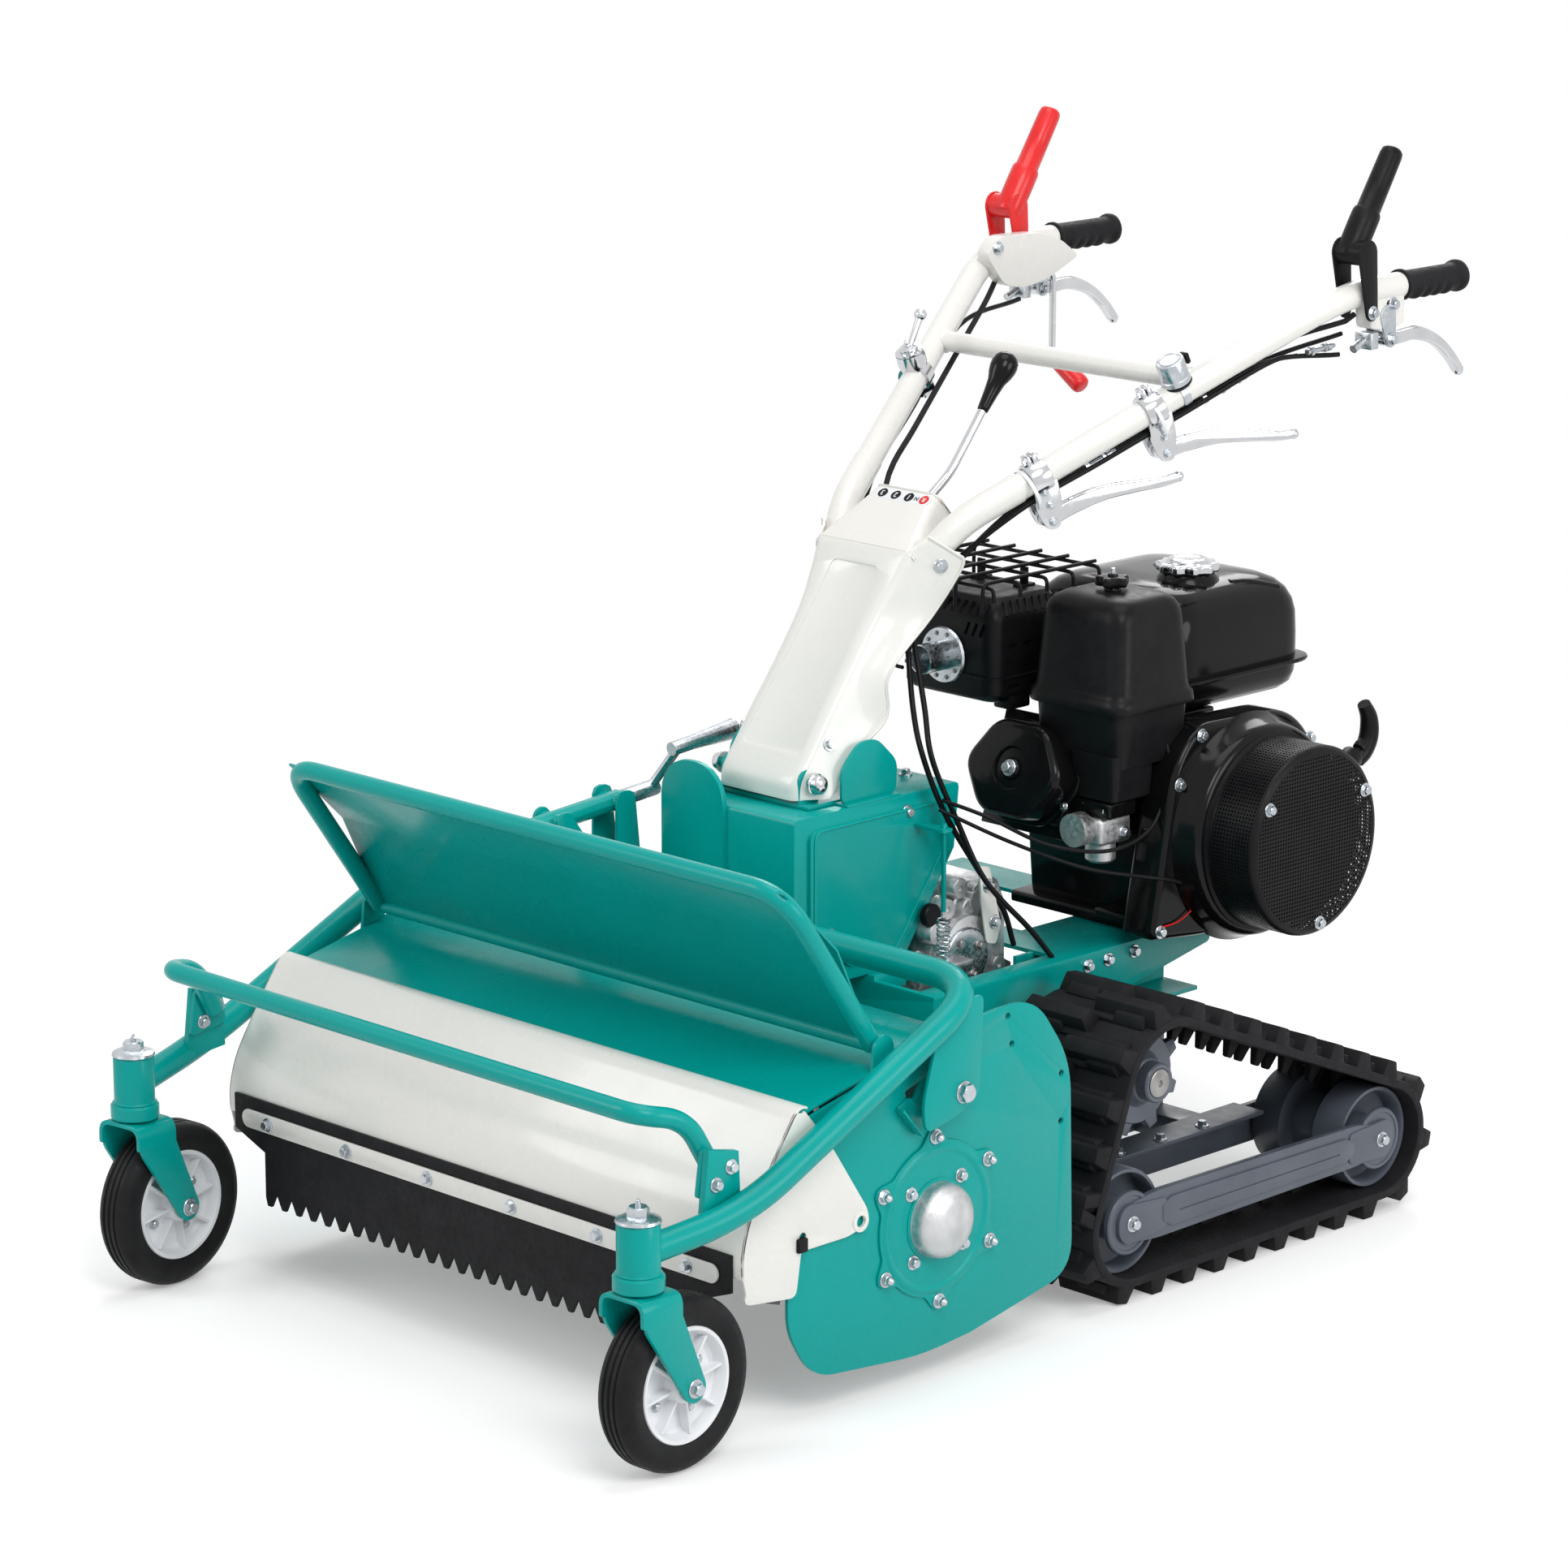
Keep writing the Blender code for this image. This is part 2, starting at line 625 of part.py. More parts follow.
def make_front_frame():
    """Bent tube that carries both casters and pivots on the deck's side plates."""
    half = FRAME_HALF
    path = rounded_path([
        (-CASTER_X, CASTER_Y, 0.250), (-half, -0.625, 0.272), (-half, -0.262, 0.446),
        (half, -0.262, 0.446), (half, -0.625, 0.272), (CASTER_X, CASTER_Y, 0.250),
    ], 0.045)
    adds = [tube(path, FRAME_TUBE)]
    cuts = []
    for label, side in SIDES:
        x = side * CASTER_X
        adds.append(disc("z", (x, CASTER_Y), COLLAR_RADIUS, CROWN_Z + RUN, 0.285, 14))
        adds.append(disc("z", (x, CASTER_Y), COLLAR_RADIUS + 0.004, CROWN_Z + RUN, CROWN_Z + 0.022, 14))
        cuts.append(disc("z", (x, CASTER_Y), 0.0108, CROWN_Z - 0.02, 0.300, 12))
        ear = soft_corners([(-0.330, 0.420), (-0.262, 0.440), (-0.268, 0.322), (-0.300, 0.308),
                            (-0.352, 0.296), (-0.356, 0.330)], 0.012, 1)
        adds.append(side_prism(side, half - 0.0025, half + 0.0025, ear))
        cuts.append(side_disc(side, (FRAME_PIVOT_Y, FRAME_PIVOT_Z), 0.0086, half - 0.02, half + 0.02, 12))
        bracket = [(-0.672, 0.262), (-0.615, 0.268), (-0.618, 0.335), (-0.662, 0.345)]
        adds.append(side_prism(side, BUMPER_FOOT_X + GAP, half - FRAME_TUBE + 0.0005, bracket))
    for offset in (-0.022, 0.018):
        lug = link_outline(-0.262, 0.446, 0.020, -0.310, 0.524, 0.013, 4)
        adds.append(prism("x", CRANK_X + offset, CRANK_X + offset + 0.004, lug))
    piece("caster_frame", "teal", adds, cuts, origin=(0, FRAME_PIVOT_Y, FRAME_PIVOT_Z))


def make_bumper():
    """Front bar bolted to the frame's arms just behind the casters."""
    foot_y = -0.640
    foot_x = BUMPER_FOOT_X - BUMPER_TUBE - 0.0005
    path = rounded_path([
        (-foot_x, foot_y, 0.320), (-foot_x + 0.0065, foot_y - 0.030, 0.375), (-foot_x + 0.0215, -0.725, 0.388),
        (foot_x - 0.0215, -0.725, 0.388), (foot_x - 0.0065, foot_y - 0.030, 0.375), (foot_x, foot_y, 0.320),
    ], 0.030, 2)
    adds = [tube(path, BUMPER_TUBE, 8)]
    for label, side in SIDES:
        foot = soft_corners([(foot_y - 0.030, 0.290), (foot_y + 0.022, 0.298),
                             (foot_y + 0.018, 0.330), (foot_y - 0.022, 0.345)], 0.008, 1)
        adds.append(side_prism(side, BUMPER_FOOT_X - 0.006, BUMPER_FOOT_X, foot))
    piece("bumper_bar", "teal", adds, origin=(0, FRAME_PIVOT_Y, FRAME_PIVOT_Z))


def make_casters():
    for label, side in SIDES:
        empty = bpy.data.objects.new("caster_swivel_" + label, None)
        empty.location = (side * CASTER_X, CASTER_Y, 0)
        empty.rotation_euler = (0, 0, CASTER_YAW[label])
        bpy.context.scene.collection.objects.link(empty)
        gap = WHEEL_WIDTH / 2 + 0.004
        crown = prism("z", CROWN_Z - PLATE, CROWN_Z, soft_corners([
            (-gap - PLATE, -0.026), (gap + PLATE, -0.026), (gap + PLATE, 0.032), (-gap - PLATE, 0.032),
        ], 0.006, 1))
        adds = [crown]
        leg = link_outline(0.004, CROWN_Z - 0.026, 0.0255, WHEEL_TRAIL, WHEEL_RADIUS, 0.016, 3)
        for start in (-gap - PLATE, gap):
            adds.append(prism("x", start, start + PLATE, leg))
        adds.append(disc("z", (0, 0), 0.010, CROWN_Z - 0.002, 0.292, 12))
        adds.append(disc("z", (0, 0), 0.022, 0.2853, 0.290, 16))
        adds.append(disc("z", (0, 0), 0.013, 0.289, 0.303, 6))
        axle = disc("x", (WHEEL_TRAIL, WHEEL_RADIUS), 0.006, -gap - 0.012, gap + 0.012, 8)
        adds.append(axle)
        fork = piece("caster_fork_" + label, "teal", adds)
        fork.parent = empty

        half = WHEEL_WIDTH / 2
        centre = (0, 0)
        web = turned("x", centre, [
            (0.0068, -half + 0.002), (0.020, -half + 0.002), (0.024, -0.008), (WHEEL_RIM - 0.008, -0.008),
            (WHEEL_RIM, -half + 0.006), (WHEEL_RIM, half - 0.006),
            (WHEEL_RIM - 0.008, 0.008), (0.024, 0.008), (0.020, half - 0.002), (0.0068, half - 0.002),
        ], 20)
        ribs = []
        for i in range(5):
            rib = box(-half + 0.006, half - 0.006, 0.018, WHEEL_RIM - 0.006, -0.002, 0.002)
            ribs.append(moved(rib, Matrix.Rotation(math.radians(72 * i + 9), 4, "X")))
        hub = piece("caster_hub_" + label, "white", [web] + ribs)
        outer = WHEEL_RADIUS
        rim = WHEEL_RIM + GAP
        tyre = turned("x", centre, [
            (rim, -half + 0.004), (outer - 0.016, -half), (outer - 0.005, -half + 0.006), (outer, -0.010),
            (outer, 0.010), (outer - 0.005, half - 0.006), (outer - 0.016, half), (rim, half - 0.004),
        ], 20)
        tyre = piece("caster_tyre_" + label, "tyre", [tyre])
        for obj in (hub, tyre):
            obj.location = (0, WHEEL_TRAIL, WHEEL_RADIUS)
            obj.parent = empty


# Crawlers

def track_wheels():
    """Centres and belt radii of the three wheels, in the order the belt runs."""
    return [
        (FRONT_ROLLER_Y, ROLLER_Z, ROLLER_RADIUS + BELT_PLAY),
        (REAR_ROLLER_Y, ROLLER_Z, ROLLER_RADIUS + BELT_PLAY),
        (SPROCKET_Y, SPROCKET_Z, SPROCKET_RADIUS + BELT_PLAY),
    ]


class TrackPath:
    """The belt's inner line: three arcs and three straights, read by distance along it."""

    def __init__(self):
        wheels = track_wheels()
        self.runs = []
        normals = []
        for i in range(3):
            y0, z0, r0 = wheels[i]
            y1, z1, r1 = wheels[(i + 1) % 3]
            heading = math.atan2(z1 - z0, y1 - y0)
            lean = math.asin((r0 - r1) / math.hypot(y1 - y0, z1 - z0))
            normals.append(heading - math.pi / 2 + lean)
        for i in range(3):
            y0, z0, r0 = wheels[i]
            start = normals[i - 1]
            sweep = (normals[i] - start) % (2 * math.pi)
            self.runs.append(("arc", (y0, z0), r0, start, sweep, r0 * sweep))
            y1, z1, r1 = wheels[(i + 1) % 3]
            angle = normals[i]
            a = Vector((y0 + r0 * math.cos(angle), z0 + r0 * math.sin(angle)))
            b = Vector((y1 + r1 * math.cos(angle), z1 + r1 * math.sin(angle)))
            self.runs.append(("line", a, b, angle, 0, (b - a).length))
        self.length = sum(run[5] for run in self.runs)

    def at(self, distance):
        """Point on the inner line and the outward direction there."""
        distance = distance % self.length
        for kind, a, b, angle, sweep, length in self.runs:
            if distance > length:
                distance -= length
                continue
            if kind == "arc":
                turn = angle + sweep * distance / length
                out = Vector((math.cos(turn), math.sin(turn)))
                return Vector(a) + out * b, out
            out = Vector((math.cos(angle), math.sin(angle)))
            return a.lerp(b, distance / length), out
        return self.at(0)

    def middle_of_arc(self, index):
        """Distance along the belt to the middle of one wheel's arc."""
        before = sum(run[5] for run in self.runs[:2 * index])
        return before + self.runs[2 * index][5] / 2


def make_tracks():
    """Rubber belts: lugs outside, guide teeth inside, one pitch to each sprocket tooth."""
    path = TrackPath()
    pitch = 2 * math.pi * SPROCKET_RADIUS / SPROCKET_TEETH
    count = round(path.length / pitch)
    pitch = path.length / count
    start = path.middle_of_arc(2)
    stations = []
    for i in range(count):
        base = start + pitch * i
        for share, lug, guide in ((0.22, 1, 0), (0.36, 0, 1), (0.64, 0, 1), (0.78, 1, 0)):
            stations.append((base + pitch * share, lug, guide))
    middle = (TRACK_IN + TRACK_OUT) / 2
    for label, side in SIDES:
        rings = []
        for distance, lug, guide in stations:
            inner, out = path.at(distance)
            tooth = inner - out * GUIDE_HEIGHT * guide
            outer = inner + out * (TRACK_BELT + TRACK_LUG * lug)
            points = [
                (TRACK_IN, inner), (middle - GUIDE_HALF, inner), (middle - GUIDE_HALF + 0.003, tooth),
                (middle + GUIDE_HALF - 0.003, tooth), (middle + GUIDE_HALF, inner), (TRACK_OUT, inner),
                (TRACK_OUT, outer), (TRACK_IN, outer),
            ]
            rings.append([(x + (side - 1) * middle, p.x, p.y) for x, p in points])
        piece("track_belt_" + label, "rubber", [rings_solid(rings, closed_loop=True)])


def make_sprockets():
    middle = (TRACK_IN + TRACK_OUT) / 2
    path = TrackPath()
    point, out = path.at(path.middle_of_arc(2))
    phase = math.atan2(out.y, out.x)
    for label, side in SIDES:
        outline = []
        tip = SPROCKET_RADIUS - 0.0005
        root = SPROCKET_RADIUS - 0.016
        step = 2 * math.pi / SPROCKET_TEETH
        for i in range(SPROCKET_TEETH):
            base = phase + step * i
            for share, radius in ((-0.26, root), (-0.13, tip), (0.13, tip), (0.26, root)):
                angle = base + step * share
                outline.append((radius * math.cos(angle), radius * math.sin(angle)))
        inside = GUIDE_HALF + 2 * RUN
        rims = [prism("x", -inside - 0.010, -inside, outline), prism("x", inside, inside + 0.010, outline)]
        hub = disc("x", (0, 0), 0.022, -inside - 0.012, 0.062, 16)
        boss = disc("x", (0, 0), 0.034, -inside - 0.005, inside + 0.005, 16)
        shaft = disc("x", (0, 0), 0.012, -0.200, 0.0, 12)
        adds = rims + [hub, boss, shaft]
        if side < 0:
            adds = [moved(part, Matrix.Rotation(math.pi, 4, "Z") @ Matrix.Scale(-1, 4, Vector((0, 1, 0)))) for part in adds]
            for part in adds:
                part.data.flip_normals()
        sprocket = piece("drive_sprocket_" + label, "grey", adds)
        sprocket.location = (side * middle, SPROCKET_Y, SPROCKET_Z)


def make_rollers():
    middle = (TRACK_IN + TRACK_OUT) / 2
    half = ARM_X - RUN - middle
    for name, y in (("front_roller", FRONT_ROLLER_Y), ("rear_roller", REAR_ROLLER_Y)):
        for label, side in SIDES:
            groove = GUIDE_HALF + 0.004
            rim = ROLLER_RADIUS
            waist = ROLLER_RADIUS - GUIDE_HEIGHT - 0.004
            wheel = turned("x", (0, 0), [
                (AXLE_RADIUS + 0.0008, -half), (0.024, -half), (rim, -half + 0.006),
                (rim, -groove), (waist, -groove + 0.002), (waist, groove - 0.002), (rim, groove),
                (rim, half - 0.006), (0.024, half), (AXLE_RADIUS + 0.0008, half),
            ])
            roller = piece(name + "_" + label, "grey", [wheel])
            roller.location = (side * middle, y, ROLLER_Z)


def make_roller_arms():
    """Fixed arm beside the rollers, with their axles, an inner arm and brackets to the chassis."""
    inner_x = 2 * ((TRACK_IN + TRACK_OUT) / 2) - ARM_X
    for label, side in SIDES:
        adds = []
        bar = soft_corners([
            (FRONT_ROLLER_Y, 0.062), (REAR_ROLLER_Y, 0.070), (REAR_ROLLER_Y, 0.118), (FRONT_ROLLER_Y, 0.126),
        ], 0.004, 1)
        adds.append(side_prism(side, ARM_X, ARM_X + 0.010, bar))
        rib = [(FRONT_ROLLER_Y + 0.05, 0.080), (REAR_ROLLER_Y - 0.05, 0.082),
               (REAR_ROLLER_Y - 0.05, 0.106), (FRONT_ROLLER_Y + 0.05, 0.108)]
        adds.append(side_prism(side, ARM_X + 0.009, ARM_X + 0.014, rib))
        for y in (FRONT_ROLLER_Y, REAR_ROLLER_Y):
            adds.append(side_disc(side, (y, ROLLER_Z), 0.038, ARM_X, ARM_X + 0.010, 12))
            adds.append(side_disc(side, (y, ROLLER_Z), 0.018, ARM_X + 0.005, ARM_X + 0.014, 8))
            adds.append(side_disc(side, (y, ROLLER_Z), AXLE_RADIUS, inner_x - 0.008, ARM_X + 0.005, 8))
        adds.append(side_prism(side, inner_x - 0.008, inner_x, [
            (FRONT_ROLLER_Y, 0.070), (REAR_ROLLER_Y, 0.070), (REAR_ROLLER_Y, 0.118), (FRONT_ROLLER_Y, 0.118)]))
        for y in (0.150, 0.340):
            adds.append(side_box(side, 0.155, inner_x - 0.004, y - 0.020, y + 0.020, 0.084, 0.114))
        adds.append(side_box(side, 0.150, 0.160, 0.138, 0.372, 0.084, 0.2597))
        piece("roller_arm_" + label, "grey", adds)


# Chassis and drive

def make_chassis():
    rear = rear_of_deck()
    adds = []
    cuts = []
    rail = soft_corners([(rear + GAP, 0.262), (0.110, 0.262), (0.400, 0.318), (0.400, RAIL_TOP), (rear + GAP, RAIL_TOP)],
                        0.006, 2)
    for label, side in SIDES:
        adds.append(side_prism(side, RAIL_X - PLATE, RAIL_X, rail))
        adds.append(side_box(side, RAIL_X - 0.030, RAIL_X, rear + GAP, 0.400, RAIL_TOP - PLATE, RAIL_TOP))
        adds.append(side_box(side, 0.145, RAIL_X - 0.001, 0.115, 0.380, 0.260, 0.265))
        adds.append(side_box(side, 0.145, 0.150, 0.115, 0.380, 0.260, RAIL_TOP - 0.002))
        cuts.append(side_disc(side, (SPROCKET_Y, SPROCKET_Z), 0.0325, 0.12, 0.25, 28))
    adds.append(box(-RAIL_X + 0.001, RAIL_X - 0.001, rear + GAP, rear + 0.008, 0.215, RAIL_TOP))
    adds.append(box(-RAIL_X + 0.001, RAIL_X - 0.001, 0.385, 0.400, 0.320, RAIL_TOP))
    adds.append(box(-RAIL_X + 0.001, RAIL_X - 0.001, 0.145, 0.385, RAIL_TOP - PLATE, RAIL_TOP))
    adds.append(box(-0.110, 0.110, rear + GAP, -0.030, 0.330, CASE_BASE - GAP))
    cuts.append(box(-0.08, 0.08, 0.20, 0.33, RAIL_TOP - 0.02, RAIL_TOP + 0.02))
    piece("chassis_frame", "teal", adds, cuts)


def case_outline():
    """The belt case seen from the side."""
    return [(-0.205, CASE_TOP), (-0.205, 0.400), (-0.125, CASE_BASE), (-0.030, CASE_BASE), (0.060, 0.478),
            (0.068, CASE_TOP)]


def make_case():
    outline = case_outline()
    body = prism("x", -CASE_HALF, CASE_HALF, soft_corners(outline, 0.006, 2))
    centre = Vector((-0.068, 0.455))
    raised = [tuple(centre + (Vector(p) - centre) * 0.84) for p in outline]
    pads = both(prism("x", CASE_HALF - 0.001, CASE_HALF + 0.005, soft_corners(raised, 0.012, 3)))
    plate = soft_corners([(-0.112, 0.420), (-0.010, 0.420), (-0.010, 0.600), (-0.112, 0.600)],
                         [0.002, 0.002, 0.045, 0.045], 6)
    guard = prism("y", -0.211, -0.206 + 0.002, plate)
    bracket = box(CASE_HALF - 0.002, SPRING_X + 0.006, SPRING_Y - 0.008, SPRING_Y + 0.008, 0.516, 0.520)
    rod = disc("z", (SPRING_X, SPRING_Y), 0.003, SPRING_TOP + GAP, 0.526, 8)
    piece("belt_case", "teal", [body, guard, bracket, rod] + pads)


def make_transmission():
    outline = soft_corners([
        (-0.020, 0.300), (0.000, 0.215), (0.060, 0.195), (0.135, 0.215),
        (0.135, 0.400), (0.118, 0.436), (0.062, 0.436), (0.012, 0.370),
    ], 0.012, 1)
    body = prism("x", -0.115, 0.112, outline)
    adds = [body]
    for y, z, radius, length in ((0.052, 0.360, 0.042, 0.020), (0.030, 0.300, 0.014, 0.014),
                                 (0.075, 0.415, 0.014, 0.014), (0.100, 0.390, 0.012, 0.014),
                                 (0.108, 0.300, 0.016, 0.016), (0.060, 0.255, 0.014, 0.014)):
        adds.append(disc("x", (y, z), radius, 0.100, 0.112 + length, 16 if radius > 0.03 else 8))
    for label, side in SIDES:
        low, high = sorted((side * 0.100, side * (TRACK_IN - 0.004)))
        adds.append(disc("x", (SPROCKET_Y, SPROCKET_Z), 0.031, low, high, 20))
    cuts = [disc("x", (SPROCKET_Y, SPROCKET_Z), 0.0128, -0.30, 0.30, 16)]
    adds.append(box(-0.100, 0.100, rear_of_deck() + 0.0086, 0.020, 0.230, 0.280))
    adds.append(box(0.100, SPRING_X + 0.006, SPRING_Y - 0.008, 0.040, SPRING_LOW - 0.006, SPRING_LOW - GAP))
    piece("transmission_case", "alloy", adds, cuts)


def rear_of_deck():
    return DRUM_Y + DECK_RADIUS + 0.020


def wire_curve(name, finish, points, radius, resolution):
    """A round wire or cable along a row of points, with filled ends."""
    curve = bpy.data.curves.new(name, "CURVE")
    curve.dimensions = "3D"
    curve.bevel_depth = radius
    curve.bevel_resolution = resolution
    curve.use_fill_caps = True
    spline = curve.splines.new("POLY")
    spline.points.add(len(points) - 1)
    for point, place in zip(spline.points, points):
        point.co = (*place, 1)
    curve.materials.append(paint(finish))
    obj = bpy.data.objects.new(name, curve)
    bpy.context.scene.collection.objects.link(obj)
    return obj


def make_spring():
    """Return spring of the drive linkage, wound at an even pitch between two straight ends."""
    per_turn = 9
    count = per_turn * SPRING_TURNS
    lead = 0.006
    top = SPRING_TOP - lead
    low = SPRING_LOW + lead
    points = [(SPRING_X, SPRING_Y, SPRING_TOP), (SPRING_X, SPRING_Y, SPRING_TOP - lead / 2)]
    for i in range(count + 1):
        turn = i / per_turn
        share = i / count
        ease = min(1, turn / 0.6, (SPRING_TURNS - turn) / 0.6)
        radius = SPRING_RADIUS * ease
        angle = 2 * math.pi * turn
        x = SPRING_X + radius * math.cos(angle)
        y = SPRING_Y + radius * math.sin(angle)
        points.append((x, y, top + (low - top) * share))
    points += [(SPRING_X, SPRING_Y, SPRING_LOW + lead / 2), (SPRING_X, SPRING_Y, SPRING_LOW)]
    wire_curve("return_spring", "zinc", points, SPRING_WIRE, 1)


# Engine

def make_engine():
    """Single-cylinder engine: crankcase, inclined finned cylinder and feet."""
    y = ENGINE_Y
    z = ENGINE_Z
    feet = box(-0.020, 0.215, y - 0.105, y + 0.100, ENGINE_BASE, ENGINE_BASE + 0.016)
    case = prism("x", 0.000, 0.200, soft_corners([
        (y - 0.090, ENGINE_BASE), (y + 0.090, ENGINE_BASE), (y + 0.100, z + 0.070),
        (y + 0.050, z + 0.110), (y - 0.060, z + 0.110), (y - 0.105, z + 0.030)], 0.020, 2))
    pto = disc("x", (y, z), 0.050, -0.018, 0.010)
    shaft = disc("x", (y, z), 0.0127, -0.070, 0.000, 10)
    lean = Matrix.Translation((0, y, z)) @ Matrix.Rotation(math.radians(-18), 4, "X")
    adds = [feet, case, pto, shaft]
    barrel = box(0.045, 0.165, -0.215, -0.060, -0.050, 0.062)
    adds.append(moved(barrel, lean))
    for i in range(5):
        start = -0.118 - 0.022 * i
        adds.append(moved(box(0.032, 0.178, start - 0.006, start, -0.064, 0.076), lean))
    adds.append(box(0.150, 0.228, 0.188, 0.241, 0.472, 0.5280))
    cover = prism("y", -0.262, -0.214, soft_corners([
        (0.040, -0.052), (0.170, -0.052), (0.170, 0.064), (0.040, 0.064)], 0.022, 3))
    boss = disc("y", (0.105, 0.006), 0.016, -0.268, -0.260, 12)
    adds += [moved(cover, lean), moved(boss, lean)]
    adds.append(box(0.020, 0.180, 0.360, 0.430, 0.575, TANK_BASE - GAP))
    for dy, dz in ((-0.060, -0.070), (0.070, -0.070), (-0.060, 0.060), (0.055, 0.060)):
        adds.append(disc("x", (y + dy, z + dz), 0.009, 0.190, SHROUD_X - GAP, 8))
    piece("engine_block", "gloss", adds)


def make_shroud():
    """Fan housing on the flywheel side, with the round screened starter cover outside it."""
    y = ENGINE_Y
    z = ENGINE_Z
    front = SHROUD_X
    outline = soft_corners([
        (y - 0.135, z - 0.100), (y - 0.060, z - 0.124), (y + 0.090, z - 0.122), (y + 0.135, z - 0.060),
        (y + 0.140, z + 0.060), (y + 0.080, z + 0.135), (y - 0.090, z + 0.140), (y - 0.150, z + 0.100),
    ], 0.030, 3)
    housing = prism("x", front, 0.285, outline)
    back = prism("x", front - 0.014, front + 0.01, outline)
    hollow = prism("x", 0.150, front, soft_corners([
        (y - 0.107, 0.0), (y + 0.105, 0.0), (y + 0.105, z + 0.115), (y - 0.107, z + 0.115)], 0.002, 1))
    piece("fan_shroud", "gloss", [housing, back], [hollow])
    r = SCREEN_RADIUS
    cup = turned("x", (y, z), [
        (0, 0.2853), (r + 0.006, 0.2853), (r + 0.006, 0.300), (r, 0.302),
        (r, SCREEN_X - 0.006), (r - 0.006, SCREEN_X), (0, SCREEN_X)], 28)
    mouth, pull = starter_mouth()
    guide = tube([mouth - pull * 0.036, mouth], 0.014, 12)
    bore = tube([mouth - pull * 0.018, mouth + pull * 0.010], 0.0050, 12)
    piece("recoil_cover", "black", [cup, guide], [bore])


def starter_mouth():
    """Where the starter rope leaves the recoil cover, and the way it is pulled."""
    pull = Vector((0, 0.88, 0.47)).normalized()
    return Vector((0.330, ENGINE_Y + 0.118, ENGINE_Z + 0.078)), pull


def make_starter_grip():
    """Bar grip on a short stub of rope that reaches into the cover's guide."""
    mouth, pull = starter_mouth()
    stub = tube([mouth - pull * 0.014, mouth + pull * 0.010], 0.0040, 6)
    middle = mouth + pull * (0.012 + GAP)
    bar = tube([middle + Vector((0, 0.008, -0.022)), middle, middle + Vector((0, 0.004, 0.045))], 0.010, 10,
               radii=[0.008, 0.011, 0.008])
    piece("starter_grip", "black", [bar, stub], origin=tuple(mouth))


def make_tank():
    seam = 0.640
    x0 = -0.060
    x1 = 0.200
    y0 = 0.335
    y1 = 0.590
    def shrink(amount):
        corners = [(x0 + amount, y0 + amount), (x1 - amount, y0 + amount),
                   (x1 - amount, y1 - amount), (x0 + amount, y1 - amount)]
        return soft_corners(corners, 0.040 - amount * 0.4, 3)
    levels = [(0.018, TANK_BASE), (0.008, TANK_BASE + 0.010), (0.006, seam), (0.006, seam + 0.060),
              (0.018, seam + 0.095), (0.045, seam + 0.110)]
    rings = [[(u, v, height) for u, v in shrink(amount)] for amount, height in levels]
    adds = [rings_solid(rings)]
    adds.append(prism("z", seam - 0.002, seam + 0.003, shrink(-0.004)))
    adds.append(disc("z", (0.120, 0.445), 0.030, seam + 0.090, seam + 0.114, 20))
    piece("fuel_tank", "gloss", adds)
    top = seam + 0.114 + GAP
    rim = prism("z", top, top + 0.012, lobed_outline(0.037, 0.003, 7, 28))
    crown = disc("z", (0, 0), 0.024, top + 0.010, top + 0.017, 16)
    lid = piece("fuel_cap", "alloy", [rim, crown])
    lid.location = (0.120, 0.445, 0)


def lobed_outline(radius, wave, lobes, count):
    """Outline of a hand knob: a circle with finger lobes."""
    outline = []
    for i in range(count):
        angle = 2 * math.pi * i / count
        size = radius + wave * math.cos(lobes * angle)
        outline.append((size * math.cos(angle), size * math.sin(angle)))
    return outline


def make_air_cleaner():
    x0 = 0.112
    x1 = 0.240
    y0 = 0.183
    y1 = 0.312
    def outline(amount):
        corners = [(x0 + amount, y0 + amount), (x1 - amount, y0 + amount),
                   (x1 - amount, y1 - amount), (x0 + amount, y1 - amount)]
        return soft_corners(corners, 0.022, 3)
    levels = [(0.006, 0.618), (0.004, 0.636), (0.0, 0.640), (0.0, 0.648), (0.005, 0.652), (0.008, 0.745),
              (0.016, 0.762), (0.034, 0.770)]
    rings = [[(u, v, height) for u, v in outline(amount)] for amount, height in levels]
    duct = box(0.184, 0.236, 0.187, 0.239, 0.5283, 0.630)
    piece("air_cleaner", "black", [rings_solid(rings), duct])
    stem = disc("z", (0, 0), 0.010, 0.7703, 0.776, 10)
    knob = prism("z", 0.775, 0.786, lobed_outline(0.018, 0.004, 5, 20))
    part = piece("air_cleaner_knob", "black", [stem, knob])
    part.location = (0.176, 0.247, 0)


def make_muffler():
    x0 = -0.095
    x1 = 0.060
    y0 = 0.170
    y1 = 0.300
    body = prism("z", 0.620, MUFFLER_TOP, soft_corners([(x0, y0), (x1, y0), (x1, y1), (x0, y1)], 0.018, 2))
    flange = disc("y", (-0.040, 0.690), 0.032, y0 - 0.006, y0 + 0.004, 20)
    pipe = disc("y", (-0.040, 0.690), 0.017, y0 - 0.040, y0, 16)
    stub = box(0.030, 0.058, 0.200, 0.236, 0.6112, 0.630)
    bore = disc("y", (-0.040, 0.690), 0.012, y0 - 0.060, y0 + 0.020, 12)
    piece("muffler", "black", [body, flange, pipe, stub], [bore])


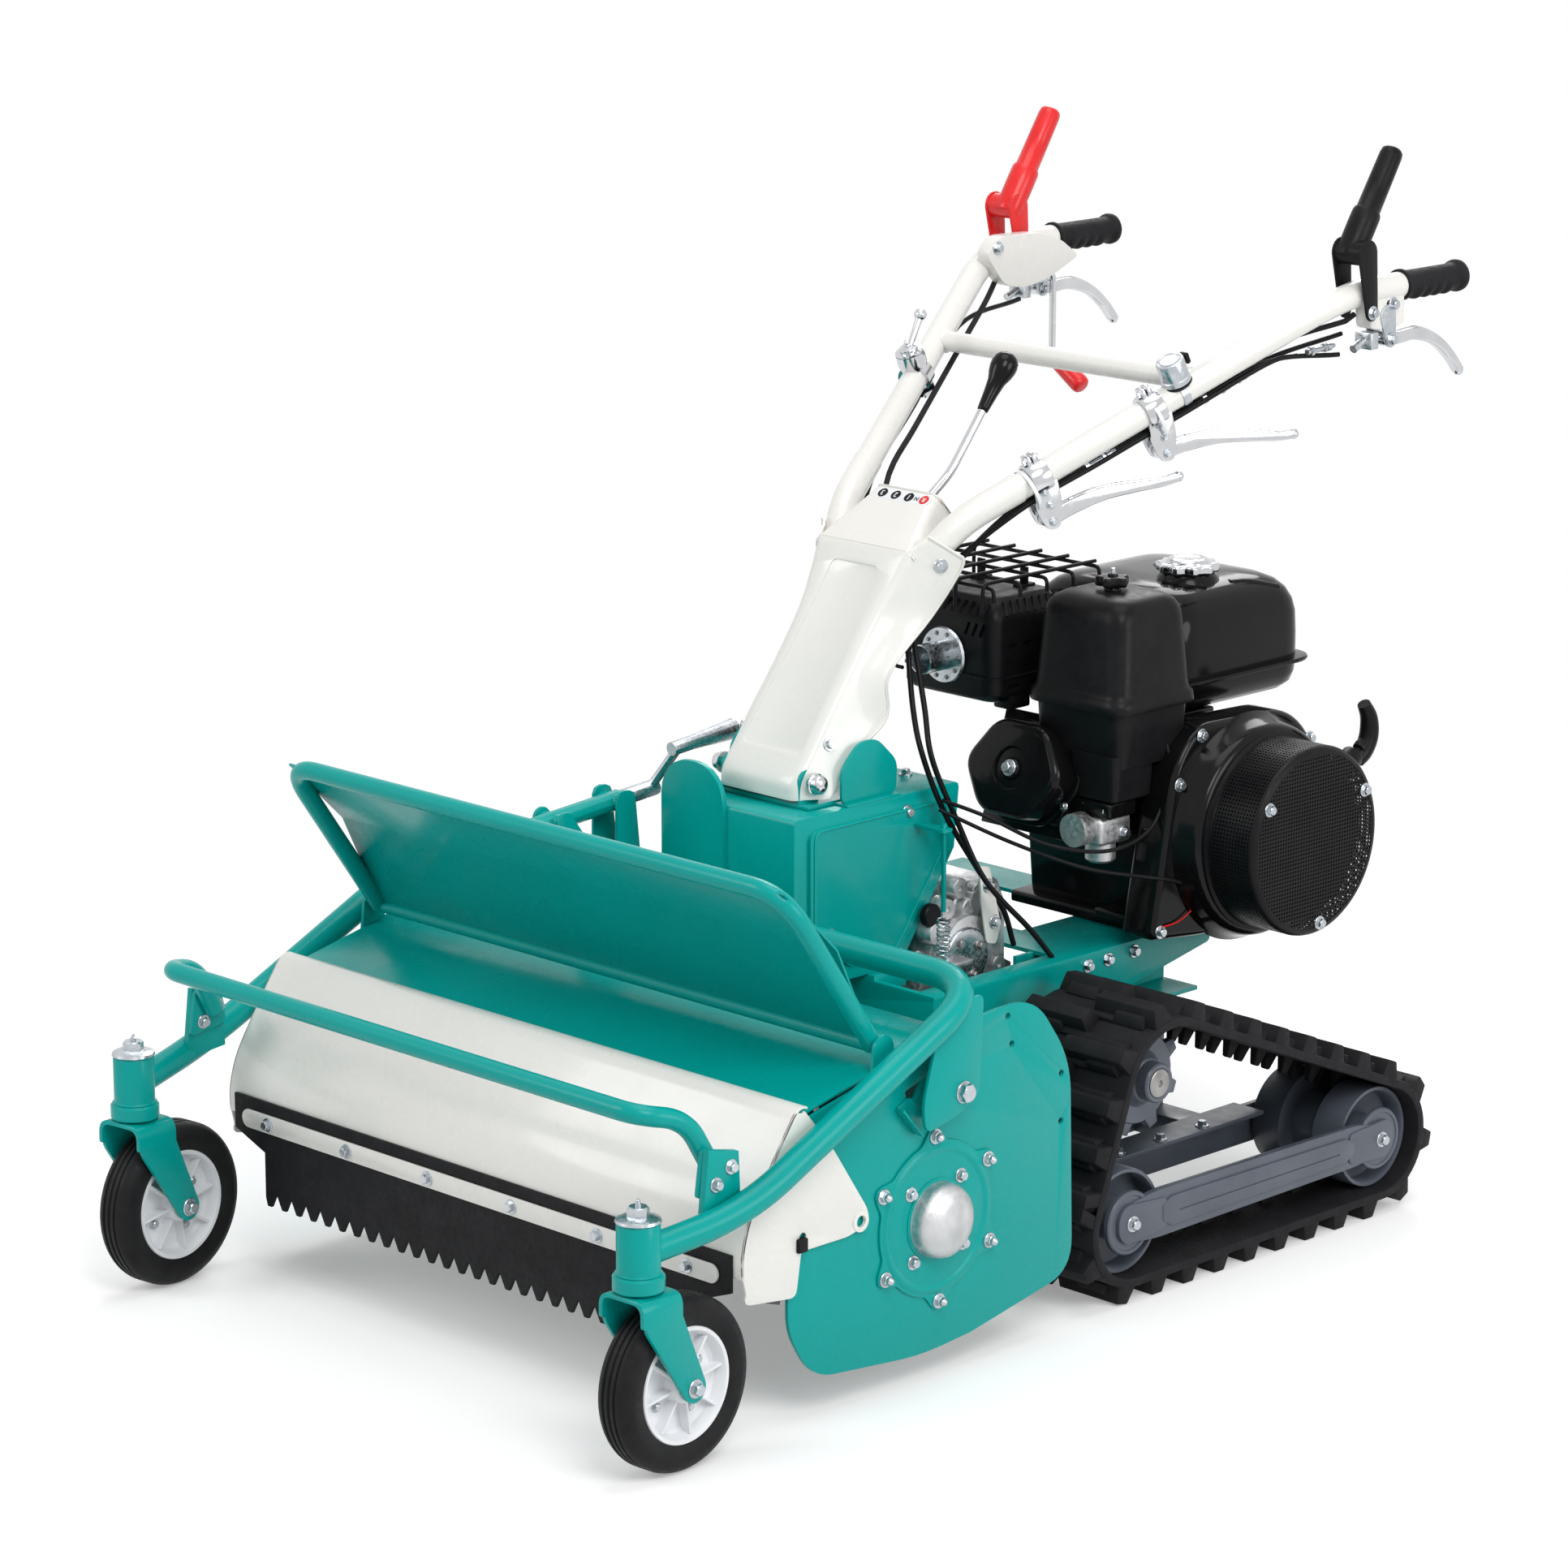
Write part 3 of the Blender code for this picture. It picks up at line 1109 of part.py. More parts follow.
def make_muffler_guard():
    """Welded wire cage over the muffler's top, front corner and outer side."""
    wire = 0.0025
    x0 = -0.120
    x1 = 0.085
    y0 = 0.140
    y1 = 0.325
    top = 0.772
    low = 0.640
    adds = []
    for i in range(4):
        y = y0 + (y1 - y0) * i / 3
        adds.append(box(x0 - wire, x0 + wire, y - wire, y + wire, low, top + wire))
        adds.append(box(x0 - wire, x1, y - wire * 0.9, y + wire * 0.9, top - wire, top + wire * 0.9))
    for i in range(3):
        x = x0 + 0.030 + (x1 - x0 - 0.050) * i / 2
        adds.append(box(x - wire, x + wire, y0 - 0.006, y1 + 0.006, top + 0.001, top + 0.005))
    for z in (low + 0.010, low + 0.065):
        adds.append(box(x0 - 0.006, x0 - 0.001, y0 - 0.006, y1 + 0.006, z, z + 2 * wire))
    for x in (-0.050, 0.020):
        adds.append(box(x - 0.006, x + 0.006, 0.257, 0.270, MUFFLER_TOP + GAP, top))
    piece("muffler_guard", "black", adds)


# Handle

def tube_line():
    """Corner points of the left handle tube, from the tilt joint to the grip's end."""
    return [
        (0.052, TILT_Y + 0.030, TILT_Z + 0.058), (0.060, -0.040, 0.790), (0.098, 0.085, 0.868),
        (0.270, 0.492, 1.080), (GRIP_X, 0.560, GRIP_Z), (GRIP_X, GRIP_START - GAP, GRIP_Z),
    ]


def make_bracket():
    """Bolted foot on the belt case that the handle tilts in."""
    foot = CASE_TOP + GAP
    adds = [box(-0.078, 0.078, TILT_Y - 0.016, -0.020, foot, foot + 0.005)]
    ear = [(TILT_Y + 0.040, foot + 0.001)] + arc(TILT_Y, TILT_Z, 0.014, 60, 180, 4) + [(TILT_Y - 0.014, foot + 0.001)]
    for label, side in SIDES:
        adds.append(side_prism(side, 0.060, 0.064, ear))
        cap = side_disc(side, (TILT_Y, TILT_Z), 0.010, CONSOLE_HALF + 0.001, CONSOLE_HALF + 0.010, 12)
        adds.append(cap)
    adds.append(disc("x", (TILT_Y, TILT_Z), 0.006, -CONSOLE_HALF - 0.004, CONSOLE_HALF + 0.004, 12))
    piece("handle_bracket", "teal", adds)


def make_console():
    """Pressed cover of the handle post, open behind and below."""
    outline = [(-0.192, 0.566), (-0.138, 0.570), (-0.022, 0.677), (0.035, 0.755), (0.085, 0.812),
               (0.094, 0.862), (0.072, 0.890), (0.005, 0.892), (-0.048, 0.838)]
    corners = soft_corners(outline, [0.01, 0.01, 0.02, 0.02, 0.01, 0.015, 0.008, 0.03, 0.03], 2)
    outer = prism("x", -CONSOLE_HALF, CONSOLE_HALF, corners)
    inner_outline = [(-0.186, 0.540), (-0.100, 0.540), (0.060, 0.677), (0.120, 0.755), (0.120, 0.858),
                     (0.070, 0.886), (0.008, 0.888), (-0.044, 0.836)]
    inner = prism("x", -CONSOLE_HALF + SHEET, CONSOLE_HALF - SHEET, inner_outline)
    cuts = [inner]
    for label, side in SIDES:
        line = [(side * x, y, z) for x, y, z in tube_line()]
        cuts.append(tube(rounded_path(line, 0.060)[:-4], HANDLE_TUBE + RUN))
        cuts.append(side_disc(side, (TILT_Y, TILT_Z), 0.0066, CONSOLE_HALF - 0.01, CONSOLE_HALF + 0.01, 12))
    slot = [(-0.030, 0.038), (0.044, 0.038), (0.044, 0.062), (-0.030, 0.062)]
    cuts.append(prism("z", 0.860, 0.930, slot))
    piece("console_cover", "cream", [outer], cuts, origin=(0, TILT_Y, TILT_Z))


def tube_top(a, b):
    """The direction square to a handle tube that points up."""
    out = (b - a).normalized().cross(Vector((1, 0, 0))).normalized()
    return out if out.z > 0 else -out


def make_handlebar():
    """Two bent tubes with a cross bar, the tilt plate and the welded lever housings."""
    adds = []
    cuts = []
    for label, side in SIDES:
        line = [(side * x, y, z) for x, y, z in tube_line()]
        adds.append(tube(rounded_path(line, 0.060), HANDLE_TUBE))
        grip_y = GRIP_START
        adds.append(disc("y", (side * GRIP_X, GRIP_Z), GRIP_BORE - 0.0008, grip_y - 0.02, grip_y + GRIP_LENGTH - 0.006, 12))
        cheek = link_outline(TILT_Y, TILT_Z, 0.014, -0.055, 0.745, 0.016, 4)
        adds.append(side_prism(side, 0.048, 0.054, cheek))
        housing = soft_corners([(0.545, 1.088), (0.630, 1.096), (0.630, 1.056), (0.600, 1.050), (0.560, 1.056)], 0.006, 1)
        adds.append(side_prism(side, GRIP_X - HOUSING_HALF, GRIP_X + HOUSING_HALF, housing))
        for offset in (-0.0140, 0.0110):
            start = GRIP_X + offset
            ear = link_outline(BRAKE_Y, BRAKE_Z, 0.009, BRAKE_Y - 0.004, 1.070, 0.014, 3)
            adds.append(side_prism(side, start, start + 0.003, ear))
        cuts.append(side_disc(side, (BRAKE_Y, BRAKE_Z), PIN_RADIUS + 0.0007, GRIP_X - 0.02, GRIP_X + 0.02, 12))
        adds.append(side_disc(side, (CLUTCH_Y, CLUTCH_Z), 0.0045, GRIP_X - 0.0213, GRIP_X + 0.0213, 8))
    wall = CONSOLE_HALF - SHEET - GAP
    adds.append(box(-wall, wall, -0.050, -0.035, 0.700, 0.760))
    adds.append(box(0.010, 0.034, -0.050, -0.038, 0.750, 0.812))
    adds.append(disc("y", (0.022, 0.800), 0.0042, -0.045, 0.058, 8))
    a = Vector((0.098, 0.085, 0.868))
    b = Vector((0.270, 0.492, 1.080))
    spot = a.lerp(b, 0.66)
    adds.append(tube([(-spot.x, spot.y, spot.z), (spot.x, spot.y, spot.z)], 0.0125))
    for share in (0.19, 0.52):
        centre = a.lerp(b, share)
        ahead = (b - a).normalized()
        adds.append(tube([centre - ahead * 0.012, centre + ahead * 0.012], HANDLE_TUBE + 0.004, 10))
        level = Vector((ahead.x, ahead.y, 0)).normalized()
        across = level.cross(Vector((0, 0, 1)))
        turn = Matrix((across, level, Vector((0, 0, 1)))).transposed().to_4x4()
        place = Matrix.Translation(centre + SIDE_LEVER_DROP) @ turn
        for offset in (-0.0140, 0.0110):
            ear = prism("x", offset, offset + 0.003, link_outline(0, 0, 0.008, -0.012, 0.044, 0.010, 3))
            adds.append(moved(ear, place))
        cuts.append(moved(disc("x", (0, 0), PIN_RADIUS + 0.0007, -0.02, 0.02, 12), place))
    out = tube_top(a, b)
    spot = a.lerp(b, 0.605)
    adds.append(tube([spot, spot + out * SWITCH_BASE], 0.012, 8))
    centre = a.lerp(b, 0.50)
    centre.x = -centre.x
    adds.append(tube([centre, centre + THROTTLE_AXIS], 0.018, 12))
    cuts.append(disc("x", (TILT_Y, TILT_Z), 0.0066, -0.06, 0.06, 12))
    piece("handlebar", "cream", adds, cuts, origin=(0, TILT_Y, TILT_Z))


def make_grips():
    """Rubber grips: a collar, finger waves and a closed bulb end, bored for the tube."""
    end = GRIP_START + GRIP_LENGTH
    for label, side in SIDES:
        centre = (side * GRIP_X, GRIP_Z)
        profile = [(0, GRIP_START), (GRIP_RADIUS + 0.002, GRIP_START), (GRIP_RADIUS, GRIP_START + 0.008)]
        for i in range(3):
            y = GRIP_START + 0.026 + 0.022 * i
            profile += [(GRIP_RADIUS, y), (GRIP_RADIUS - 0.0015, y + 0.010)]
        profile += [(GRIP_RADIUS, end - 0.012), (GRIP_RADIUS + 0.003, end - 0.008), (GRIP_RADIUS + 0.001, end), (0, end)]
        body = turned("y", centre, profile, 12)
        bore = disc("y", centre, GRIP_BORE, GRIP_START - 0.010, end - 0.004, 12)
        piece("grip_" + label, "rubber", [body], [bore])


def make_clutch_levers():
    """Dead-man levers: a stepped sleeve on a forked foot that pivots beside each housing."""
    for label, side, finish in (("left", 1, "black"), ("right", -1, "red")):
        pivot = Vector((side * GRIP_X, CLUTCH_Y, CLUTCH_Z))
        base = Vector((side * (GRIP_X - 0.006), 0.545, 1.138))
        top = Vector((side * (GRIP_X - 0.006), 0.626, 1.262))
        step = base.lerp(top, 0.42)
        path = [base, step, step + (top - base) * 0.01, base.lerp(top, 0.97), top]
        sleeve = tube(path, 0.015, 12, radii=[0.0180, 0.0180, 0.0150, 0.0145, 0.0115])
        adds = [sleeve]
        for offset in (-0.0215, 0.0185):
            start = side * GRIP_X + offset
            fork = link_outline(pivot.y, pivot.z, 0.011, base.y + 0.006, base.z + 0.010, 0.014, 3)
            adds.append(prism("x", start, start + 0.003, fork))
        adds.append(box(side * GRIP_X - 0.0195, side * GRIP_X + 0.0195, 0.536, 0.560, 1.128, 1.150))
        bore = side_disc(side, (CLUTCH_Y, CLUTCH_Z), 0.0054, GRIP_X - 0.03, GRIP_X + 0.03, 12)
        piece("clutch_lever_" + label, finish, adds, [bore], origin=tuple(pivot))


def lever_blade(pivot, ahead, up, length, drop, width, name):
    """A squeeze lever: a flat blade that starts at its pivot and bows away from the tube."""
    points = []
    radii = [0.0080, 0.0085, 0.0075, 0.0060, 0.0055, 0.0060]
    for i in range(len(radii)):
        share = i / (len(radii) - 1)
        bow = math.sin(share * math.pi) * 0.008
        points.append(pivot + ahead * length * share + up * (bow - drop * share * share))
    blade = tube(points, width, 8, radii=radii)
    across = ahead.cross(up).normalized()
    pin = tube([pivot - across * 0.0135, pivot + across * 0.0135], PIN_RADIUS, 8)
    return piece(name, "chrome", [blade, pin], origin=tuple(pivot))


def make_hand_levers():
    for label, side in SIDES:
        pivot = Vector((side * GRIP_X, BRAKE_Y, BRAKE_Z))
        lever_blade(pivot, Vector((0, 1, 0)), Vector((0, 0, 1)), 0.150, 0.052, 0.007, "brake_lever_" + label)
    a = Vector((0.098, 0.085, 0.868))
    b = Vector((0.270, 0.492, 1.080))
    ahead = (b - a).normalized()
    for name, share, tilt in (("side_lever_lower", 0.19, 12), ("side_lever_upper", 0.52, 22)):
        centre = a.lerp(b, share)
        pivot = centre + SIDE_LEVER_DROP
        side = ahead.cross(Vector((0, 0, 1))).normalized()
        direction = Matrix.Rotation(math.radians(-tilt), 3, side) @ ahead
        up = side.cross(direction).normalized()
        lever_blade(pivot, direction, up, 0.175, 0.004, 0.007, name)


def make_controls():
    a = Vector((-0.098, 0.085, 0.868))
    b = Vector((-0.270, 0.492, 1.080))
    normal = THROTTLE_AXIS.normalized()
    centre = a.lerp(b, 0.50) + THROTTLE_AXIS + normal * GAP
    base = tube([centre, centre + normal * 0.007], 0.012, 12)
    tip = centre + normal * 0.004 + Vector((0, 0.020, 0.040))
    lever = tube([centre + normal * 0.0062, tip], 0.006, 8, radii=[0.006, 0.008])
    piece("throttle_lever", "chrome", [base, lever], origin=tuple(centre))

    a = Vector((0.098, 0.085, 0.868))
    b = Vector((0.270, 0.492, 1.080))
    out = tube_top(a, b)
    spot = a.lerp(b, 0.605) + out * (SWITCH_BASE + GAP)
    body = tube([spot, spot + out * 0.028, spot + out * 0.033], 0.019, 16, radii=[0.019, 0.019, 0.012])
    piece("stop_switch", "grey", [body])

    pivot = Vector((-GRIP_X + HOUSING_HALF + GAP, 0.580, 1.072))
    path = rounded_path([
        pivot, pivot + Vector((0.012, 0.000, 0.000)), pivot + Vector((0.016, 0.028, -0.016)),
        pivot + Vector((0.020, 0.030, -0.112)), pivot + Vector((0.068, 0.018, -0.142)),
    ], 0.006, 2)
    rod = tube(path, 0.0045, 8)
    end = pivot + Vector((0.068, 0.018, -0.142))
    start = end - Vector((0.046, -0.011, -0.029))
    knob = tube([start, start.lerp(end, 0.5), end], 0.012, 12, radii=[0.009, 0.012, 0.011])
    piece("turn_lever", "red", [rod, knob], origin=tuple(pivot))


def smooth_route(corners, step):
    """Points at an even step along a smooth curve through the corners of a route."""
    ends = [corners[0] * 2 - corners[1], corners[-1] * 2 - corners[-2]]
    knots = [ends[0]] + corners + [ends[1]]
    fine = []
    for p0, p1, p2, p3 in zip(knots, knots[1:], knots[2:], knots[3:]):
        for i in range(20):
            t = i / 20
            fine.append(0.5 * (2 * p1 + (p2 - p0) * t + (2 * p0 - 5 * p1 + 4 * p2 - p3) * t ** 2
                               + (3 * p1 - p0 - 3 * p2 + p3) * t ** 3))
    fine.append(corners[-1])
    points = [fine[0]]
    travelled = 0
    for before, after in zip(fine, fine[1:]):
        travelled += (after - before).length
        if travelled >= step:
            points.append(after)
            travelled = 0
    if travelled < step / 2:
        points.pop()
    points.append(fine[-1])
    return points


def make_cables():
    """The control cable of each lever housing, along the tube's inner side into the console."""
    a = Vector((0.098, 0.085, 0.868))
    b = Vector((0.270, 0.492, 1.080))
    level = Vector((b.x - a.x, b.y - a.y, 0)).normalized()
    beside = Vector((0, 0, -0.018)) - level.cross(Vector((0, 0, 1))) * 0.024
    out = Vector((0, -0.9055, -0.4245))
    start = Vector((GRIP_X, 0.5525, 1.072)) + out * GAP
    corners = [start, start + out * 0.014]
    for share in (0.90, 0.70, 0.52, 0.34, 0.16):
        corners.append(a.lerp(b, share) + beside)
    corners += [Vector((0.064, 0.100, 0.836)), Vector((0.048, 0.050, 0.792)), Vector((0.041, 0.005, 0.752)),
                Vector((0.040, -0.020, 0.736)), Vector((0.040, -0.035 + GAP, 0.735))]
    route = smooth_route(corners, 5 * CABLE_RADIUS)
    for label, side in SIDES:
        points = [(side * point.x, point.y, point.z) for point in route]
        wire_curve("control_cable_" + label, "rubber", points, CABLE_RADIUS, 2)


def make_gear_lever():
    pivot = Vector((0.022, 0.050, 0.800))
    path = rounded_path([pivot + Vector((0, 0, 0.008)), (0.022, 0.050, 0.900), (0.022, 0.110, 0.935), (0.022, 0.150, 0.990)], 0.030)
    rod = tube(path, 0.0055, 8)
    start = Vector((0.022, 0.146, 0.984))
    end = Vector((0.022, 0.196, 1.052))
    knob = tube([start, start.lerp(end, 0.35), start.lerp(end, 0.7), start.lerp(end, 0.9), end], 0.02, 12,
                radii=[0.009, 0.012, 0.019, 0.017, 0.008])
    eye = ring("y", (pivot.x, pivot.z), 0.0050, 0.010, 0.044, 0.056, 12)
    piece("gear_lever", "black", [rod, knob, eye], origin=tuple(pivot))


def make_height_adjuster():
    """Screw jack: its tube pivots on the front frame's lugs and the crank turns the screw."""
    x = CRANK_X
    tail = Vector((x, -0.372, 0.518))
    nose = Vector((x, -0.206, 0.531))
    ahead = (nose - tail).normalized()
    sleeve = tube([tail, nose], 0.012, 10)
    spot = tail.lerp(nose, 0.37)
    front_pin = disc("x", (spot.y, spot.z), 0.010, x - 0.0177, x + 0.0177, 10)
    spot = tail.lerp(nose, 0.94)
    rear_pin = disc("x", (spot.y, spot.z), 0.010, x - 0.0177, x + 0.0177, 10)
    piece("adjuster_tube", "teal", [sleeve, front_pin, rear_pin])
    start = nose + ahead * GAP
    end = nose + ahead * 0.060
    screw = tube([start, end], 0.010, 10)
    arm_end = end + Vector((0.040, 0.000, 0.055))
    arm = tube([end - ahead * 0.010, arm_end], 0.006, 8)
    grip = tube([arm_end - ahead * 0.012, arm_end + ahead * 0.018, arm_end + ahead * 0.022, arm_end + ahead * 0.090],
                0.01, 10, radii=[0.0085, 0.0085, 0.0085, 0.0125])
    piece("height_crank", "zinc", [screw, arm, grip], origin=tuple(start))


def centre_machine():
    """Hang every piece on one empty, so that the origin is under the middle of the machine."""
    middle = bpy.data.objects.new("machine_middle", None)
    middle.location = (0, MIDDLE_Y, 0)
    bpy.context.scene.collection.objects.link(middle)
    for obj in bpy.data.objects:
        if obj.parent is None and obj is not middle:
            obj.parent = middle


def main():
    clear_scene()
    make_deck()
    make_side_plates()
    make_drum()
    make_hood()
    make_skirt()
    make_deflector()
    make_front_frame()
    make_bumper()
    make_casters()
    make_tracks()
    make_sprockets()
    make_rollers()
    make_roller_arms()
    make_chassis()
    make_case()
    make_transmission()
    make_spring()
    make_engine()
    make_shroud()
    make_starter_grip()
    make_tank()
    make_air_cleaner()
    make_muffler()
    make_muffler_guard()
    make_bracket()
    make_console()
    make_handlebar()
    make_grips()
    make_clutch_levers()
    make_hand_levers()
    make_controls()
    make_cables()
    make_gear_lever()
    make_height_adjuster()
    centre_machine()


main()
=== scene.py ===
# %% [markdown]
# # A tracked flail mower, dressed for the studio
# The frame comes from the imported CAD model: every rigid piece is already there, in metres, with
# its joints. This script gives each piece its finish and adds the small things that the CAD model
# leaves out, such as bolts, ribs, cables and pressed creases.

import json
import math

import bpy
from mathutils import Matrix, Vector


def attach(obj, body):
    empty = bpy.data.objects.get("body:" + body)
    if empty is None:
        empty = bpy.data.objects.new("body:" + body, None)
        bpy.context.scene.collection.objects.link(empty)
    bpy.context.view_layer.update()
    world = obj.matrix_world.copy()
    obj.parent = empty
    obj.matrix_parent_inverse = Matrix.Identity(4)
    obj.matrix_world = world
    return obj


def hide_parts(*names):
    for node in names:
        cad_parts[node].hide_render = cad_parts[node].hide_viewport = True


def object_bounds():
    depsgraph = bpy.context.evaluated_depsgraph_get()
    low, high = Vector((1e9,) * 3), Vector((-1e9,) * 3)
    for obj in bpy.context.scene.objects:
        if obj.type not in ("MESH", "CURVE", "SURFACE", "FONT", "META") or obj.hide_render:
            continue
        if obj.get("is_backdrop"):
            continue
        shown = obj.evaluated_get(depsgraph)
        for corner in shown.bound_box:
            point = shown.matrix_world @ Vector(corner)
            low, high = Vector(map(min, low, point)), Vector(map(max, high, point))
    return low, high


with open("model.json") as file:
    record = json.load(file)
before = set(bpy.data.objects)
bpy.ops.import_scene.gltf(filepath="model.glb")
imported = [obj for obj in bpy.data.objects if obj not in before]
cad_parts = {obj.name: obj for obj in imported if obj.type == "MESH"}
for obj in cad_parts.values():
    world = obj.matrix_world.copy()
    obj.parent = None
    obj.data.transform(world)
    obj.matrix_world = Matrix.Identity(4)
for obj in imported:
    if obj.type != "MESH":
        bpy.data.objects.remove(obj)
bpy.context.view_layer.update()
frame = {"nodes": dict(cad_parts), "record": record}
nodes = frame["nodes"]

# %% [markdown]
# ## Camera
# The photograph was taken with a long lens from the front left, a little above the handle. A long
# lens keeps the crawlers nearly parallel, so the angle matters more than the distance.

# %% Camera at the photograph's angle
CAMERA_PLACE = (4.293, -4.375, 2.077)
CAMERA_DOWN, CAMERA_ROUND = 13.99, 45.13
CAMERA_TURN = (math.radians(90 - CAMERA_DOWN), 0, math.radians(CAMERA_ROUND))
CAMERA_LENS = 123.91

bpy.ops.object.camera_add(location=CAMERA_PLACE, rotation=CAMERA_TURN)
camera = bpy.context.object
camera.name = "photo_camera"
camera.data.lens = CAMERA_LENS
camera.data.sensor_width = 36
camera.data.clip_end = 60
bpy.context.scene.camera = camera
bpy.context.scene.view_settings.view_transform = "Standard"
print("camera lens:", camera.data.lens)

# %% [markdown]
# ## Studio
# Catalogue pictures are lit with big soft lamps on a white sweep. Five round area lamps do the
# work, and the world fills the shadows. The white behind the machine comes from the floor's
# colour and from what camera rays see, so the lamps stay at a plain level and whites don't clip.

# %% Floor
def deselect():
    if bpy.context.object and bpy.context.object.mode != "OBJECT":
        bpy.ops.object.mode_set(mode="OBJECT")
    bpy.ops.object.select_all(action="DESELECT")


def node_tree(owner):
    owner.use_nodes = True
    tree = owner.node_tree
    tree.nodes.clear()
    return tree


def add_node(tree, kind, **settings):
    made = tree.nodes.new(kind)
    for key, value in settings.items():
        if key in made.inputs:
            made.inputs[key].default_value = value
        else:
            setattr(made, key, value)
    return made


def wire(tree, *pairs):
    """Join sockets: each pair is an output and the input that it feeds."""
    for source, target in pairs:
        tree.links.new(source, target)


def background_rays(tree):
    """1 for the rays that see the white background: camera, mirror and clear ones."""
    path = add_node(tree, "ShaderNodeLightPath")
    first = add_node(tree, "ShaderNodeMath", operation="MAXIMUM")
    second = add_node(tree, "ShaderNodeMath", operation="MAXIMUM")
    wire(tree, (path.outputs["Is Camera Ray"], first.inputs[0]), (path.outputs["Is Glossy Ray"],
        first.inputs[1]), (first.outputs[0], second.inputs[0]),
        (path.outputs["Is Transmission Ray"], second.inputs[1]))
    return second.outputs[0]


FLOOR_WHITE = (0.8, 0.8, 0.8, 1)
FLOOR_SIZE = 30
FLOOR_GLOW = 0.3          # what the floor gives off under the machine, for the camera
FADE_START, FADE_END = 0.9, 2.4     # from the middle, where the floor turns into the background
WORLD_FILL = 0.34

deselect()
bpy.ops.mesh.primitive_plane_add(size=FLOOR_SIZE, location=(0, 0, 0))
floor = bpy.context.object
floor.name = "studio_floor"
floor_material = bpy.data.materials.new("studio_white")
tree = node_tree(floor_material)
floor_shader = add_node(tree, "ShaderNodeBsdfPrincipled", **{"Base Color": FLOOR_WHITE,
    "Roughness": 0.9})
floor_shader.inputs["Specular IOR Level"].default_value = 0.1
near = add_node(tree, "ShaderNodeEmission", Strength=FLOOR_GLOW)
near_parts = add_node(tree, "ShaderNodeAddShader")
far = add_node(tree, "ShaderNodeEmission", Strength=1.0)
place = add_node(tree, "ShaderNodeTexCoord")
distance = add_node(tree, "ShaderNodeVectorMath", operation="LENGTH")
fade = add_node(tree, "ShaderNodeMapRange", **{"From Min": FADE_START, "From Max": FADE_END})
fade.interpolation_type = "SMOOTHSTEP"
white_floor = add_node(tree, "ShaderNodeMixShader")
seen = background_rays(tree)
choose = add_node(tree, "ShaderNodeMixShader")
output = add_node(tree, "ShaderNodeOutputMaterial")
wire(tree, (floor_shader.outputs[0], near_parts.inputs[0]), (near.outputs[0], near_parts.inputs[1]),
    (place.outputs["Object"], distance.inputs[0]), (distance.outputs["Value"],
    fade.inputs["Value"]), (fade.outputs["Result"], white_floor.inputs[0]), (near_parts.outputs[0],
    white_floor.inputs[1]), (far.outputs[0], white_floor.inputs[2]), (seen, choose.inputs[0]),
    (floor_shader.outputs[0], choose.inputs[1]), (white_floor.outputs[0], choose.inputs[2]),
    (choose.outputs[0], output.inputs[0]))
floor.data.materials.append(floor_material)
floor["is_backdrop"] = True
print("floor:", FLOOR_SIZE, "m")


# %% [markdown]
# A lamp's size sets how soft its shadows are. The key lamp stands over the camera's right
# shoulder, the others open the shadows, and all of them look at the machine's middle.

# %% Lamps and world
LAMP_AIM = (0, 0, 0.5)
LAMPS = [
    ("key_lamp", (3.6, -2.0, 4.2), 2.6, 120),
    ("front_lamp", (-2.4, -4.2, 3.0), 2.4, 70),
    ("back_lamp", (-2.2, 3.4, 3.6), 2.4, 80),
    ("top_lamp", (0.4, 0.2, 4.8), 3.0, 60),
    ("side_lamp", (4.2, 0.9, 1.7), 2.2, 55),
]
for name, place, size, power in LAMPS:
    bpy.ops.object.light_add(type="AREA", location=place)
    lamp = bpy.context.object
    lamp.name = name
    lamp.data.shape = "DISK"
    lamp.data.size = size
    lamp.data.energy = power
    aim = Vector(LAMP_AIM) - Vector(place)
    lamp.rotation_euler = aim.to_track_quat("-Z", "Y").to_euler()

world = bpy.data.worlds.new("studio")
bpy.context.scene.world = world
tree = node_tree(world)
fill = add_node(tree, "ShaderNodeBackground", Color=(1, 1, 1, 1), Strength=WORLD_FILL)
white = add_node(tree, "ShaderNodeBackground", Color=(1, 1, 1, 1), Strength=1.0)
choose = add_node(tree, "ShaderNodeMixShader")
output = add_node(tree, "ShaderNodeOutputWorld")
wire(tree, (background_rays(tree), choose.inputs[0]), (fill.outputs[0], choose.inputs[1]),
     (white.outputs[0], choose.inputs[2]), (choose.outputs[0], output.inputs[0]))
print("lamps:", len(LAMPS))

# %% [markdown]
# ## Finishes
# Nearly everything on the mower is one of a dozen finishes. Each is a Principled shader whose
# colour, roughness and bump come from noise in Object coordinates, so a pattern has the same
# grain on a big plate and on a bolt, and stays put on the piece when it moves.

# %% A helper that builds one finish
def grain(tree, coordinates, scale, detail, stretch=(1, 1, 1)):
    """A noise in metres; stretch makes it long in one direction, as brush marks are."""
    mapping = add_node(tree, "ShaderNodeMapping", Scale=stretch)
    noise = add_node(tree, "ShaderNodeTexNoise", Scale=scale, Detail=detail, Roughness=0.55)
    wire(tree, (coordinates.outputs["Object"], mapping.inputs["Vector"]),
         (mapping.outputs["Vector"], noise.inputs["Vector"]))
    return noise.outputs[0]


def ranged(tree, value, low, high):
    """Bring a noise from its middle band to a range of its own."""
    band = {"From Min": 0.3, "From Max": 0.7, "To Min": low, "To Max": high}
    node = add_node(tree, "ShaderNodeMapRange", **band)
    tree.links.new(value, node.inputs["Value"])
    return node.outputs["Result"]


